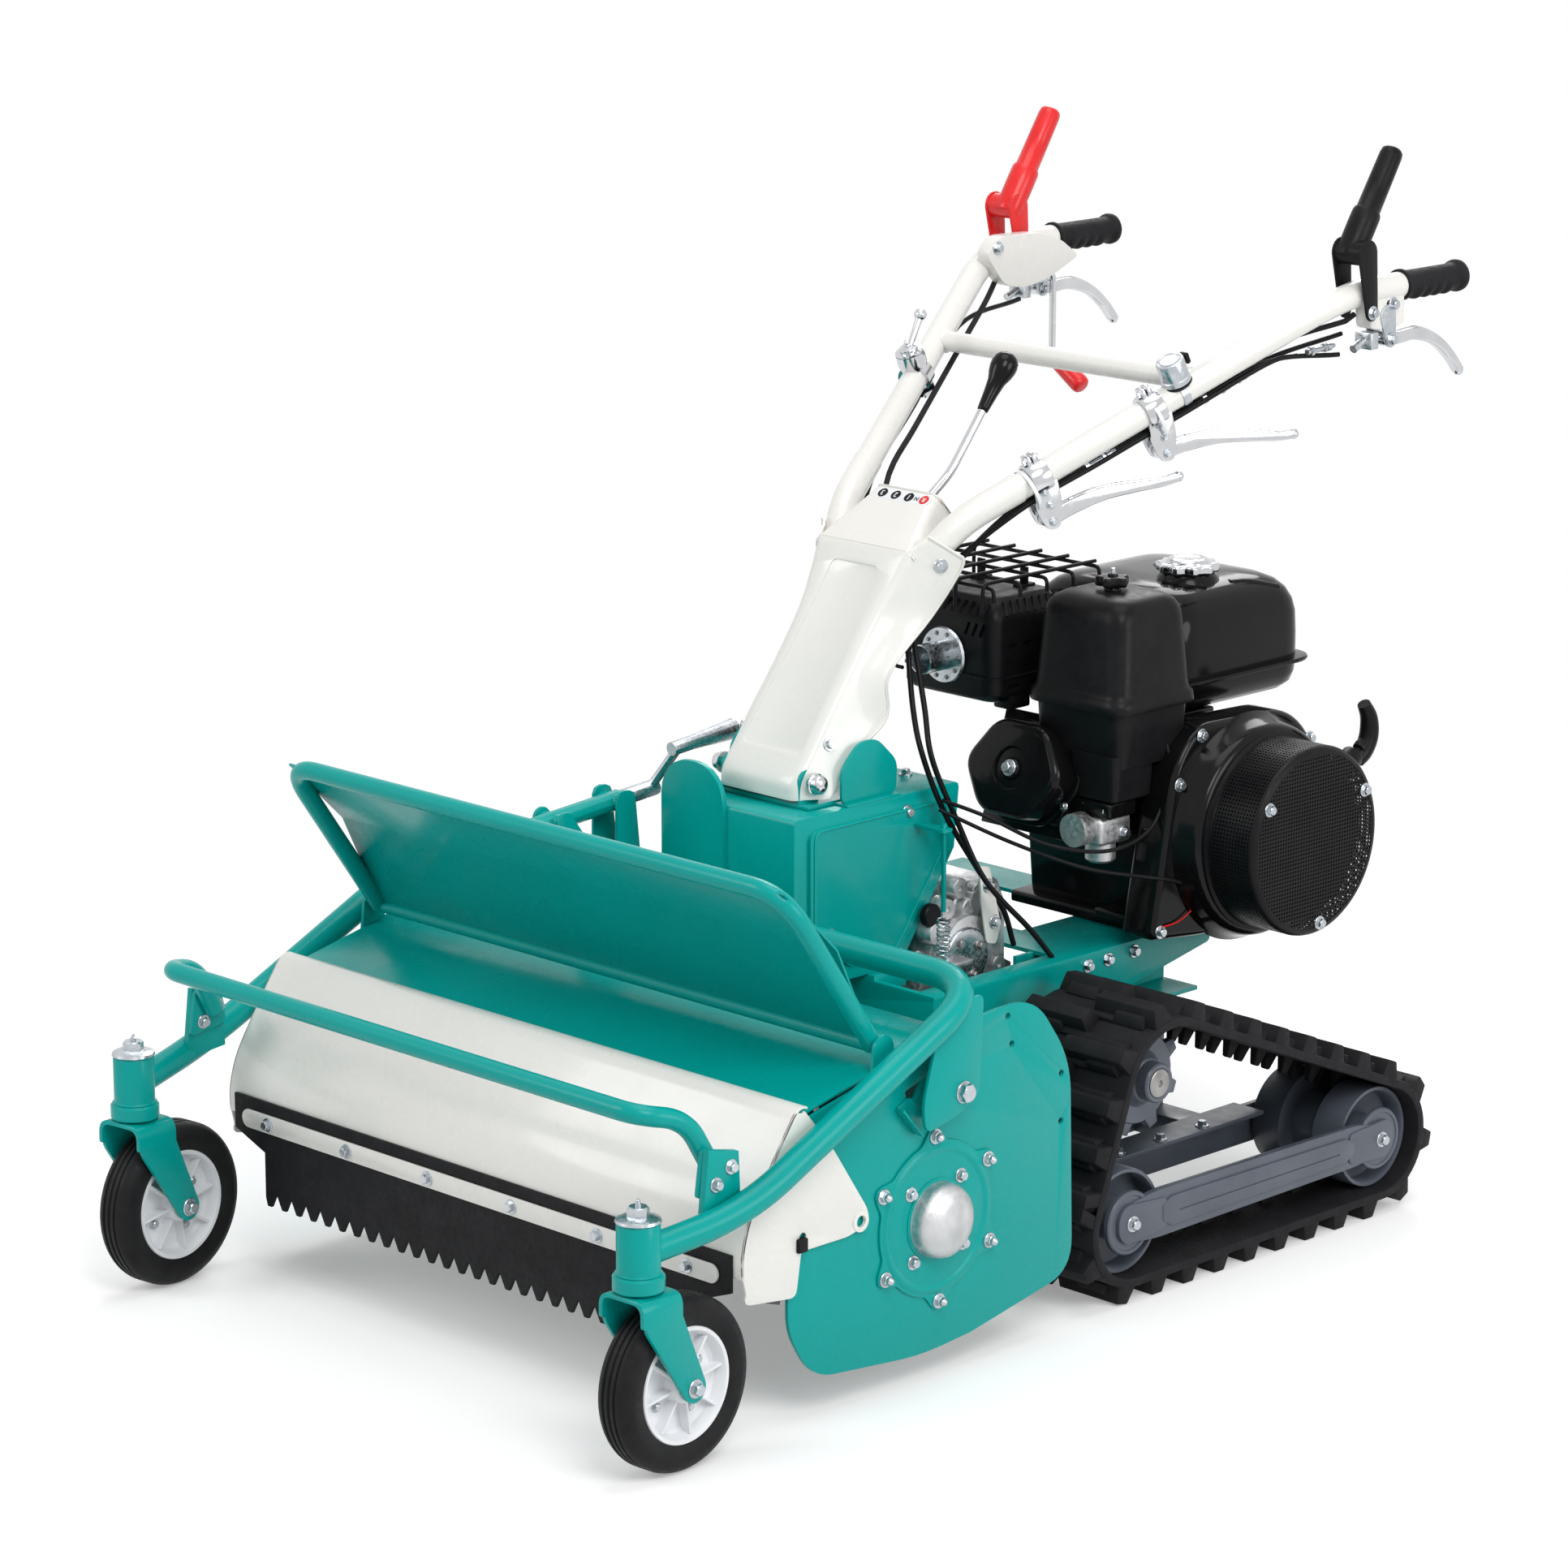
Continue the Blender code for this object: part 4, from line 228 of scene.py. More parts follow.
def finish(name, light, dark, rough, metal=0.0, coat=0.0, patch=6.0, bump_scale=350.0, bump=0.05,
           depth=0.0004, stretch=(1, 1, 1), rough_spread=0.05, spec=0.5):
    """One finish: noise moves the colour between light and dark, and roughness and surface."""
    made = bpy.data.materials.new(name)
    tree = node_tree(made)
    coordinates = add_node(tree, "ShaderNodeTexCoord")
    shader = add_node(tree, "ShaderNodeBsdfPrincipled", Metallic=metal)
    shader.inputs["Coat Weight"].default_value = coat
    shader.inputs["Coat Roughness"].default_value = 0.08
    shader.inputs["Specular IOR Level"].default_value = spec
    mix = add_node(tree, "ShaderNodeMix", data_type="RGBA")
    mix.inputs[6].default_value = (*dark, 1)
    mix.inputs[7].default_value = (*light, 1)
    tree.links.new(ranged(tree, grain(tree, coordinates, patch, 3, stretch), 0, 1), mix.inputs[0])
    tree.links.new(mix.outputs[2], shader.inputs["Base Color"])
    fine = grain(tree, coordinates, bump_scale, 2, stretch)
    low, high = max(0.02, rough - rough_spread), min(1.0, rough + rough_spread)
    patches = grain(tree, coordinates, patch * 4, 2, stretch)
    tree.links.new(ranged(tree, patches, low, high), shader.inputs["Roughness"])
    lift = add_node(tree, "ShaderNodeBump", Strength=bump, Distance=depth)
    tree.links.new(fine, lift.inputs["Height"])
    tree.links.new(lift.outputs["Normal"], shader.inputs["Normal"])
    output = add_node(tree, "ShaderNodeOutputMaterial")
    tree.links.new(shader.outputs[0], output.inputs[0])
    return made


# %% [markdown]
# Paint is glossy with a thin coat, rubber is dull with a fine grain, and zinc, chrome and cast
# alloy are metals that differ in roughness. Each row gives the light and the dark colour between
# which the surface wanders, and its roughness.

# %% The machine's finishes
FINISHES = {"teal": finish("teal_gloss_paint", (0.0, 0.345, 0.318), (0.0, 0.322, 0.297), 0.28,
    coat=0.06, bump=0.06, bump_scale=220, spec=0.16), "cream": finish("off_white_gloss_paint",
    (0.8, 0.79, 0.755), (0.785, 0.774, 0.739), 0.28, coat=0.3, bump=0.05, bump_scale=220, spec=0.4),
    "rubber": finish("black_rubber", (0.015, 0.015, 0.017), (0.009, 0.009, 0.01), 0.62, patch=40,
    bump=0.35, bump_scale=900, rough_spread=0.1, spec=0.14), "tyre": finish("tyre_rubber",
    (0.014, 0.014, 0.015), (0.008, 0.008, 0.009), 0.5, patch=40, bump=0.3, bump_scale=700,
    rough_spread=0.1, spec=0.14), "grey": finish("dark_blue_grey_paint", (0.105, 0.12, 0.15),
    (0.08, 0.092, 0.118), 0.4, coat=0.1, patch=14, bump=0.25, bump_scale=260, rough_spread=0.08,
    spec=0.35), "zinc": finish("zinc_plate", (0.56, 0.585, 0.61), (0.43, 0.465, 0.5), 0.28,
    metal=1.0, patch=60, bump=0.2, bump_scale=500, rough_spread=0.1), "alloy": finish("cast_alloy",
    (0.61, 0.61, 0.615), (0.48, 0.485, 0.495), 0.46, metal=1.0, patch=45, bump=0.6, bump_scale=650,
    rough_spread=0.12), "chrome": finish("bright_chrome", (0.64, 0.65, 0.665), (0.56, 0.572, 0.592),
    0.12, metal=1.0, patch=30, bump=0.04, rough_spread=0.04), "white": finish("white_nylon",
    (0.83, 0.84, 0.86), (0.78, 0.79, 0.815), 0.38, patch=30, bump=0.15, bump_scale=500),
    "black": finish("black_satin", (0.01, 0.01, 0.011), (0.006, 0.006, 0.007), 0.36, patch=24,
    bump=0.12, bump_scale=500, rough_spread=0.07, spec=0.12), "gloss": finish("black_gloss",
    (0.006, 0.006, 0.007), (0.004, 0.004, 0.004), 0.14, coat=0.06, bump=0.03, bump_scale=260,
    spec=0.14), "red": finish("red_vinyl", (0.76, 0.018, 0.018), (0.7, 0.012, 0.014), 0.3, coat=0.1,
    patch=20, bump=0.08, spec=0.35), "steel": finish("mill_steel", (0.36, 0.355, 0.35),
    (0.22, 0.215, 0.21), 0.42, metal=1.0, patch=50, bump=0.3, bump_scale=420, rough_spread=0.12)}
print("finishes:", len(FINISHES))

# %% [markdown]
# ## CAD nodes
# A node whose shape is right stays as it is and gets the finish of its slot. Its mesh is loose
# triangles, so it is never edited: the finish goes into the material slots it already has.

# %% Finishes on the CAD nodes
slot_of = {row["node"]: row["material_slot"] for row in frame["record"]["subparts"]}
for name, node in nodes.items():
    for place in range(len(node.material_slots)):
        node.material_slots[place].material = FINISHES[slot_of[name]]
print("slots in use:", sorted(set(slot_of.values())))

# %% [markdown]
# ## How the pieces are modelled
# Every new piece starts from a primitive and is worked with the edit mode operators, as by hand.
# Four ways cover nearly everything on a mower: a profile spun round an axis for what is turned,
# an outline filled and extruded for what is cut from sheet, a path given a round section for what
# is bent from tube, and a scaled cube for what is cast or moulded square. The numbers are in the
# drawing's frame, whose zero lies 20 mm ahead of the machine's middle.

# %% Turned, cut, bent and moulded shapes
DRAWING_TO_MACHINE = Vector((0, 0.02, 0))
LIE = {
    "z": Matrix.Identity(4),
    "x": Matrix(((0, 0, 1, 0), (1, 0, 0, 0), (0, 1, 0, 0), (0, 0, 0, 1))),
    "y": Matrix(((1, 0, 0, 0), (0, 0, -1, 0), (0, 1, 0, 0), (0, 0, 0, 1))),
}


def select_only(piece):
    deselect()
    piece.select_set(True)
    bpy.context.view_layer.objects.active = piece


def framed(point, *axes):
    """The place of a piece whose x, y and z run along the three given axes."""
    return Matrix.Translation(point) @ Matrix(axes).transposed().to_4x4()


def facing(place, direction):
    """The matrix that stands a piece from the origin at a place, with its Z along a direction."""
    turn = Vector(direction).to_track_quat("Z", "Y").to_matrix().to_4x4()
    return Matrix.Translation(place) @ turn


def joined(pieces):
    deselect()
    for piece in pieces:
        piece.select_set(True)
    bpy.context.view_layer.objects.active = pieces[0]
    bpy.ops.object.join()
    return bpy.context.object


def one_piece(made):
    """A finished shape as it is, or a list of its parts joined to one."""
    return joined(made) if isinstance(made, list) else made


def put(piece, matrix):
    """Place a piece, or a list of parts, and bake the place into its mesh."""
    piece = one_piece(piece)
    piece.matrix_world = matrix @ piece.matrix_world
    select_only(piece)
    bpy.ops.object.transform_apply(location=True, rotation=True, scale=True)
    return piece


def walked(points):
    """A line of vertices: a plane merged to one vertex, then extruded from point to point."""
    deselect()
    bpy.ops.mesh.primitive_plane_add(size=0.001)
    piece = bpy.context.object
    bpy.ops.object.mode_set(mode="EDIT")
    bpy.ops.mesh.merge(type="CENTER")
    bpy.ops.transform.translate(value=points[0])
    for before, after in zip(points, points[1:]):
        step = tuple(b - a for a, b in zip(before, after))
        bpy.ops.mesh.extrude_region_move(TRANSFORM_OT_translate={"value": step})
    bpy.ops.mesh.select_all(action="SELECT")
    return piece


def turned(profile, axis="z", centre=(0, 0, 0), steps=48):
    """Spin (radius, height) pairs round the axis through the centre."""
    piece = walked([(radius, 0, height) for radius, height in profile])
    bpy.ops.mesh.spin(steps=steps, angle=2 * math.pi, center=(0, 0, 0), axis=(0, 0, 1))
    bpy.ops.mesh.remove_doubles(threshold=0.000002)
    bpy.ops.mesh.normals_make_consistent(inside=False)
    bpy.ops.object.mode_set(mode="OBJECT")
    return put(piece, Matrix.Translation(centre) @ LIE[axis])


def round_bar(radius, start, end, axis="z", centre=(0, 0, 0), steps=48):
    """A plain bar or disc along the axis, from start to end."""
    return turned([(0, start), (radius, start), (radius, end), (0, end)], axis, centre, steps)


def round_ring(inner, outer, start, end, axis="z", centre=(0, 0, 0), steps=48):
    """A plain ring or sleeve along the axis, from start to end."""
    profile = [(inner, start), (outer, start), (outer, end), (inner, end), (inner, start)]
    return turned(profile, axis, centre, steps)


def cut_out(outline, start, end, axis="x"):
    """Fill an outline and extrude it along the axis, from start to end."""
    piece = walked([(u, v, 0) for u, v in outline])
    bpy.ops.mesh.edge_face_add()
    bpy.ops.mesh.extrude_region_move(TRANSFORM_OT_translate={"value": (0, 0, end - start)})
    bpy.ops.mesh.select_all(action="SELECT")
    bpy.ops.mesh.normals_make_consistent(inside=False)
    bpy.ops.object.mode_set(mode="OBJECT")
    along = Matrix.Translation((0, 0, start if axis != "y" else -end))
    return put(piece, LIE[axis] @ along)


def block(x0, x1, y0, y1, z0, z1):
    deselect()
    place = ((x0 + x1) / 2, (y0 + y1) / 2, (z0 + z1) / 2)
    bpy.ops.mesh.primitive_cube_add(size=1, location=place, scale=(x1 - x0, y1 - y0, z1 - z0))
    piece = bpy.context.object
    bpy.ops.object.transform_apply(location=True, rotation=True, scale=True)
    return piece


def bent(points, radius, sides=20, closed=False, taper=None):
    """A round section along a path; a taper gives each point a share of the radius."""
    deselect()
    bpy.ops.curve.primitive_nurbs_path_add()
    curve = bpy.context.object
    curve.data.splines.clear()
    spline = curve.data.splines.new("POLY")
    spline.points.add(len(points) - 1)
    for i, place in enumerate(points):
        spline.points[i].co = (*place, 1)
        spline.points[i].radius = taper[i] if taper else 1
    spline.use_cyclic_u = closed
    curve.data.dimensions = "3D"
    curve.data.bevel_depth = radius
    curve.data.bevel_resolution = 1 if sides < 12 else (sides - 4) // 2
    curve.data.use_fill_caps = not closed
    bpy.ops.object.convert(target="MESH")
    piece = bpy.context.object
    bpy.ops.object.mode_set(mode="EDIT")
    bpy.ops.mesh.select_all(action="SELECT")
    bpy.ops.mesh.remove_doubles(threshold=0.00001)
    bpy.ops.mesh.normals_make_consistent(inside=False)
    bpy.ops.object.mode_set(mode="OBJECT")
    return put(piece, Matrix.Identity(4))


def bevelled(piece, width, segments=2, angle=30):
    select_only(piece)
    bpy.ops.object.modifier_add(type="BEVEL")
    bevel = piece.modifiers[-1]
    bevel.width = width
    bevel.segments = segments
    bevel.limit_method = "ANGLE"
    bevel.angle_limit = math.radians(angle)
    bpy.ops.object.modifier_apply(modifier=bevel.name)
    return piece


def cut_plate(outline, start, end, edge, axis="x", segments=2, angle=30):
    """A plate cut to an outline, with its edges broken."""
    return bevelled(cut_out(outline, start, end, axis), edge, segments, angle)


def side_plate(outline, side, near, far, edge):
    """A plate that stands between two distances from the middle, on one side of the machine."""
    low, high = sorted((side * near, side * far))
    return cut_plate(outline, low, high, edge)


def soft_block(x0, x1, y0, y1, z0, z1, edge, segments=2):
    """A block with its edges broken, as a casting or a folded strip has."""
    return bevelled(block(x0, x1, y0, y1, z0, z1), edge, segments)


def carved(piece, cutters, how="DIFFERENCE"):
    """Cut other pieces out of this one, or weld them on, and delete them."""
    for cutter in cutters:
        select_only(piece)
        bpy.ops.object.modifier_add(type="BOOLEAN")
        boolean = piece.modifiers[-1]
        boolean.operation = how
        boolean.solver = "EXACT"
        boolean.object = cutter
        bpy.ops.object.modifier_apply(modifier=boolean.name)
        bpy.data.objects.remove(cutter)
    return piece


def copied(piece, matrix):
    """A copy with its own mesh, moved by a matrix."""
    again = piece.copy()
    again.data = piece.data.copy()
    bpy.context.scene.collection.objects.link(again)
    again.data.transform(matrix)
    if matrix.determinant() < 0:
        again.data.flip_normals()
    return again



# %% [markdown]
# Outlines and paths are lists of points. Arcs, rounded corners and a smooth curve through a few
# points give nearly every line on the machine, and each number in them can be measured.

# %% Outlines and paths
def arc(centre, radius, start, end, steps):
    """Points of an arc in degrees, for outlines."""
    made = []
    for i in range(steps + 1):
        angle = math.radians(start + (end - start) * i / steps)
        made.append((centre[0] + radius * math.cos(angle), centre[1] + radius * math.sin(angle)))
    return made


def rounded(points, radii, steps=5):
    """An outline with its corners rounded; one radius may serve for all."""
    count = len(points)
    radii = [radii] * count if isinstance(radii, (int, float)) else radii
    made = []
    for i, radius in enumerate(radii):
        corner = Vector(points[i])
        before = Vector(points[i - 1]) - corner
        after = Vector(points[(i + 1) % count]) - corner
        if radius <= 0:
            made.append(tuple(corner))
            continue
        reach = min(radius, before.length * 0.49, after.length * 0.49)
        a = corner + before.normalized() * reach
        b = corner + after.normalized() * reach
        for j in range(steps + 1):
            t = j / steps
            made.append(tuple((1 - t) ** 2 * a + 2 * t * (1 - t) * corner + t * t * b))
    return made


def eased(points, radius, steps=8):
    """A path in space with its bends rounded."""
    made = [Vector(points[0])]
    for before, corner, after in zip(points, points[1:], points[2:]):
        before, corner, after = Vector(before), Vector(corner), Vector(after)
        reach = min(radius, (before - corner).length * 0.48, (after - corner).length * 0.48)
        a = corner + (before - corner).normalized() * reach
        b = corner + (after - corner).normalized() * reach
        for j in range(steps + 1):
            t = j / steps
            made.append((1 - t) ** 2 * a + 2 * t * (1 - t) * corner + t * t * b)
    made.append(Vector(points[-1]))
    return made


def flowing(points, per=8):
    """A smooth curve through points in a plane or in space."""
    knots = [Vector(p) for p in points]
    knots = [knots[0] * 2 - knots[1]] + knots + [knots[-1] * 2 - knots[-2]]
    made = []
    for p0, p1, p2, p3 in zip(knots, knots[1:], knots[2:], knots[3:]):
        for i in range(per):
            t = i / per
            made.append(0.5 * (2 * p1 + (p2 - p0) * t + (2 * p0 - 5 * p1 + 4 * p2 - p3) * t ** 2
                               + (3 * p1 - p0 - 3 * p2 + p3) * t ** 3))
    made.append(knots[-2])
    return made


def around(centre, radius, start, count):
    """Places at an even step round a circle."""
    turns = [math.radians(start + 360 * i / count) for i in range(count)]
    return [(centre[0] + radius * math.cos(turn), centre[1] + radius * math.sin(turn))
        for turn in turns]


def lobed(centre, reach, wave, count, points):
    """A closed outline round a centre whose radius swells and falls count times."""
    made = []
    for i in range(points):
        angle = math.radians(360 / points * i)
        radius = reach + wave * math.cos(count * angle)
        made.append((centre[0] + radius * math.cos(angle), centre[1] + radius * math.sin(angle)))
    return made


def band(line, thickness):
    """A closed outline of even thickness on one side of a line."""
    line = [Vector(p[:2]) for p in line]
    other = []
    for i, point in enumerate(line):
        ahead = line[min(i + 1, len(line) - 1)] - line[max(i - 1, 0)]
        other.append(point + Vector((-ahead.y, ahead.x)).normalized() * thickness)
    return [tuple(p) for p in line] + [tuple(p) for p in reversed(other)]


def link(a, b, radius_a, radius_b, steps=10):
    """A bar with round ends between two centres."""
    heading = math.degrees(math.atan2(b[1] - a[1], b[0] - a[0]))
    return arc(b, radius_b, heading - 90, heading + 90, steps) + arc(a, radius_a, heading + 90,
        heading + 270, steps)



# %% [markdown]
# A finished piece is moved from the drawing's zero to the machine's, smoothed by angle, named,
# painted, and set on the body that carries it. The CAD nodes that it stands for are hidden.

# %% Closing a piece
def close(piece, name, body, slot, *replaced, smooth=30, shift=True):
    """Name a finished piece, give it its finish, and let it ride on its body."""
    piece = one_piece(piece)
    if shift:
        put(piece, Matrix.Translation(DRAWING_TO_MACHINE))
    select_only(piece)
    bpy.ops.object.shade_smooth_by_angle(angle=math.radians(smooth))
    piece.name = name
    piece.data.name = name
    piece.data.materials.clear()
    piece.data.materials.append(FINISHES[slot])
    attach(piece, body)
    if replaced:
        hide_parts(*replaced)
    return piece


print("shapes: turned, cut_out, bent, block")

# %% [markdown]
# ## Bolts
# A mower is held together by zinc bolts with a washer under the head. One hexagon head and one
# domed nut are modelled on the Z axis, and every visible place gets a copy.

# %% Bolt heads and nuts
def hexagon(across, height, base):
    """A hexagon head with its corners turned off at the top."""
    outline = arc((0, 0), across / math.sqrt(3), 0, 300, 5)
    head = cut_out(outline, base, base + height, "z")
    cone = turned([(0, base - 0.001), (across * 0.6, base - 0.001),
        (across * 0.6, base + height * 0.72), (across * 0.45, base + height + 0.00002),
        (0, base + height + 0.00002)], steps=24)
    return carved(head, [cone], "INTERSECT")


def washer(radius, height, base=0.0):
    return turned([(0, base), (radius, base), (radius, base + height * 0.6),
        (radius * 0.93, base + height), (0, base + height)], steps=28)


def bolt(across, height, disc_radius, disc_height):
    return joined([washer(disc_radius, disc_height), hexagon(across, height, disc_height)])


def domed(radius, height):
    """A domed nut: washer, hexagon and cap."""
    cap = [(0, height)]
    for i in range(1, 7):
        angle = math.pi / 2 * i / 6
        cap.insert(0, (radius * 0.72 * math.sin(angle), height * 0.52
            + height * 0.48 * math.cos(angle)))
    cap.insert(0, (radius * 0.72, height * 0.3))
    cap.insert(0, (0, height * 0.3))
    return joined([washer(radius * 1.25, height * 0.18),
        hexagon(radius * 1.6, height * 0.34, height * 0.16), turned(cap, steps=24)])


def set_at(template, point, direction, twist=0.0, size=1.0):
    spin = Matrix.Rotation(math.radians(twist), 4, "Z")
    return copied(template, facing(point, direction) @ spin @ Matrix.Scale(size, 4))


BOLT = bolt(0.01, 0.0055, 0.0085, 0.0016)
DOME = domed(0.0072, 0.0125)
BIG_BOLT = bolt(0.019, 0.008, 0.0125, 0.002)


def bolt_set(name, body, template, places, slot="zinc", twist=17, size=1.0):
    """Copies of one bolt at (point, direction) places, as one piece, each turned a little more."""
    made = []
    for i, (point, direction) in enumerate(places):
        made.append(set_at(template, point, direction, twist * i, size))
    return close(made, name, body, slot)


print("bolt head faces:", len(BOLT.data.polygons))

# %% [markdown]
# ## Crisp copies of the CAD nodes
# A pressed or cast edge is never razor sharp: it catches a thin line of light. A copy of a node's
# mesh is merged, its flat triangles are dissolved, and a narrow bevel runs along every hard edge.
# The copy then stands for the node, which stays for the collision, hidden. Nodes that are remade
# further down with round sections, or that stay as they are, are left out here.

# %% Bevelled copies
BODIES = frame["record"]["behaviour"]["bodies"]
body_of = {name: body for body, names in BODIES.items() for name in names}


FLAT_ANGLE, EDGE_ANGLE = 2, 32      # degrees: flatter is one face, sharper gets a bevel


def crisp(name, width):
    """A merged and bevelled copy that stands for a CAD node."""
    node = nodes[name]
    copy = node.copy()
    copy.data = node.data.copy()
    copy.parent = None
    for key in list(copy.keys()):
        del copy[key]
    bpy.context.scene.collection.objects.link(copy)
    select_only(copy)
    bpy.ops.object.mode_set(mode="EDIT")
    bpy.ops.mesh.select_all(action="SELECT")
    bpy.ops.mesh.remove_doubles(threshold=0.00002)
    bpy.ops.mesh.dissolve_limited(angle_limit=math.radians(FLAT_ANGLE))
    bpy.ops.object.mode_set(mode="OBJECT")
    bevelled(copy, width, angle=EDGE_ANGLE)
    return close(copy, name + "_dressed", body_of[name], slot_of[name], name, shift=False)


CRISP = {"deck_housing": 0.0012, "belt_case": 0.002, "chassis_frame": 0.0012,
    "transmission_case": 0.002, "drive_sprocket_left": 0.0012, "drive_sprocket_right": 0.0012,
    "adjuster_tube": 0.0008, "flail_drum": 0.0008, "skirt": 0.0006, "height_crank": 0.0006}
for name, width in CRISP.items():
    crisp(name, width)
print("crisp copies:", len(CRISP))

# %% [markdown]
# ## Casters
# Each caster is a black tyre with three grooves on a white nylon hub, carried by a fork that is
# folded from one band of plate. The hub is spun, and its ribs are one block copied round the axle.
# A caster is modelled upright on its swivel axis and then turned to the angle it stands at.

# %% Caster sizes, tyre and hub
CASTER_X, CASTER_Y = 0.42, -0.7525
CASTER_YAW = {"left": 2, "right": 6}
SIDES = (("left", 1), ("right", -1))
WHEEL_RADIUS, WHEEL_WIDTH, WHEEL_TRAIL, HUB_RADIUS = 0.097, 0.048, 0.05, 0.0645
CROWN_Z = 0.21
PLATE = 0.005
FORK_GAP = WHEEL_WIDTH / 2 + 0.004
half = WHEEL_WIDTH / 2


def tyre_profile():
    """Radius and width of the tyre's skin, with its three grooves."""
    made = [(HUB_RADIUS + 0.0003, -half + 0.004), (HUB_RADIUS + 0.006, -half + 0.0015)]
    made += [(r, h) for h, r in arc((-half + 0.011, WHEEL_RADIUS - 0.0165), 0.0112, 180, 150, 3)]
    shoulder = arc((-half + 0.016, WHEEL_RADIUS - 0.016), 0.0158, 172, 100, 8)
    made += [(r, h) for h, r in shoulder]
    for centre in (-0.008, 0.0, 0.008):
        made += [(WHEEL_RADIUS - 0.0004, centre - 0.0021), (WHEEL_RADIUS - 0.0022, centre - 0.0012),
                 (WHEEL_RADIUS - 0.0022, centre + 0.0012), (WHEEL_RADIUS - 0.0004, centre + 0.0021)]
    made += [(r, -h) for r, h in reversed(made[:len(made) - 12])]
    return made + [made[0]]


hub_profile = [(0.0072, -half + 0.001), (0.015, -half + 0.001), (0.019, -half + 0.004),
    (0.0205, -0.006), (0.024, -0.0045), (HUB_RADIUS - 0.014, -0.0045), (HUB_RADIUS - 0.01, -0.0075),
    (HUB_RADIUS - 0.0065, -half + 0.006), (HUB_RADIUS - 0.0045, -half + 0.0035),
    (HUB_RADIUS - 0.001, -half + 0.003), (HUB_RADIUS, -half + 0.0045)]
hub_profile += [(r, -h) for r, h in reversed(hub_profile)] + [hub_profile[0]]



# %% [markdown]
# A real fork is one blank of plate folded over the wheel. Its front view is a hoop with round
# shoulders and its side view tapers to the axle, so the two outlines are cut through each other.

# %% Fork
def make_fork():
    gap, low = FORK_GAP, WHEEL_RADIUS - 0.02
    outer = rounded([(-gap - PLATE, low), (-gap - PLATE, CROWN_Z), (gap + PLATE, CROWN_Z),
        (gap + PLATE, low)], [0, 0.017, 0.017, 0], 8)
    inner = rounded([(gap, low), (gap, CROWN_Z - PLATE), (-gap, CROWN_Z - PLATE), (-gap, low)],
                    [0, 0.012, 0.012, 0], 8)
    hoop = cut_out(outer + inner, -0.03, 0.08, "y")
    side = link((0.004, CROWN_Z - 0.026), (WHEEL_TRAIL, WHEEL_RADIUS), 0.0255, 0.016, 14)
    crown = rounded([(-0.026, CROWN_Z - 0.03), (-0.026, CROWN_Z + 0.001), (0.032, CROWN_Z + 0.001),
                     (0.032, CROWN_Z - 0.03)], [0.004, 0.006, 0.006, 0.004], 4)
    keep = cut_out(side, -0.05, 0.05, "x")
    keep = carved(keep, [cut_out(crown, -0.051, 0.051, "x")], "UNION")
    return bevelled(carved(hoop, [keep], "INTERSECT"), 0.0009)


print("fork gap:", FORK_GAP)



# %% [markdown]
# Ribs, bolts, swivel pin, cap, nut and grease nipple are added upright. The whole caster is then
# turned by its own angle, because the photograph shows the two standing differently.

# %% Both casters
for label, side in SIDES:
    yaw = Matrix.Rotation(math.radians(CASTER_YAW[label]), 4, "Z")
    stand = Matrix.Translation((side * CASTER_X, CASTER_Y, 0)) @ yaw
    wheel_body, axle = "caster_wheel_" + label, (0, WHEEL_TRAIL, WHEEL_RADIUS)
    tyre = turned(tyre_profile(), "x", axle, 72)
    close(put(tyre, stand), "caster_tyre_" + label + "_grooved", wheel_body, "tyre",
          "caster_tyre_" + label, smooth=35)
    rib = soft_block(-half + 0.0065, half - 0.0065, 0.019, HUB_RADIUS - 0.0075, -0.0016, 0.0016,
        0.0006)
    ribs = []
    for i in range(8):
        turn = Matrix.Rotation(math.radians(45 * i + 9), 4, "X")
        ribs.append(copied(rib, Matrix.Translation(axle) @ turn))
    bpy.data.objects.remove(rib)
    hub = joined([turned(hub_profile, "x", axle, 64)] + ribs)
    close(put(hub, stand), "caster_hub_" + label + "_ribbed", wheel_body, "white",
          "caster_hub_" + label)
    spots = []
    for y, z in around(axle[1:], 0.036, 31, 4):
        for face in (1, -1):
            spots.append(((face * 0.0045, y, z), (face, 0, 0)))
    made = [set_at(BOLT, point, direction, 20 * i, 0.8) for i,
        (point, direction) in enumerate(spots)]
    close(put(made, stand), "caster_hub_bolts_" + label, wheel_body, "zinc")
    close(put(make_fork(), stand), "caster_fork_" + label + "_folded", "caster_" + label, "teal",
        "caster_fork_" + label)
    gap = FORK_GAP + PLATE
    pin = round_bar(0.0092, 0.27, 0.2853, steps=32)
    cap = turned([(0, 0.2853), (0.0235, 0.2853), (0.025, 0.2868), (0.024, 0.2895), (0.019, 0.2915),
                  (0.015, 0.2925), (0, 0.2925)], steps=40)
    nut = hexagon(0.0215, 0.0105, 0.2922)
    nipple = turned([(0, 0.302), (0.0034, 0.302), (0.0034, 0.3058), (0.0022, 0.3064),
        (0.0018, 0.3078), (0.0026, 0.309), (0.0014, 0.3104), (0, 0.3104)], steps=16)
    shaft = round_bar(0.006, -gap - 0.001, gap + 0.001, "x", axle, 24)
    heads = [set_at(BOLT, (face * gap, axle[1], axle[2]), (face, 0, 0), 12,
        1.25) for face in (1, -1)]
    close(put([pin, cap, nut, nipple, shaft] + heads, stand), "caster_fastenings_" + label,
          "caster_" + label, "zinc")
print("casters: 2")

# %% [markdown]
# ## Front frame
# One long tube is bent round the deck and carries a caster collar at each end. It is a path with
# rounded bends and a round section. The gusset plates, the collars and the lugs for the height
# crank are separate parts of the weldment, so they are joined to it as they are.

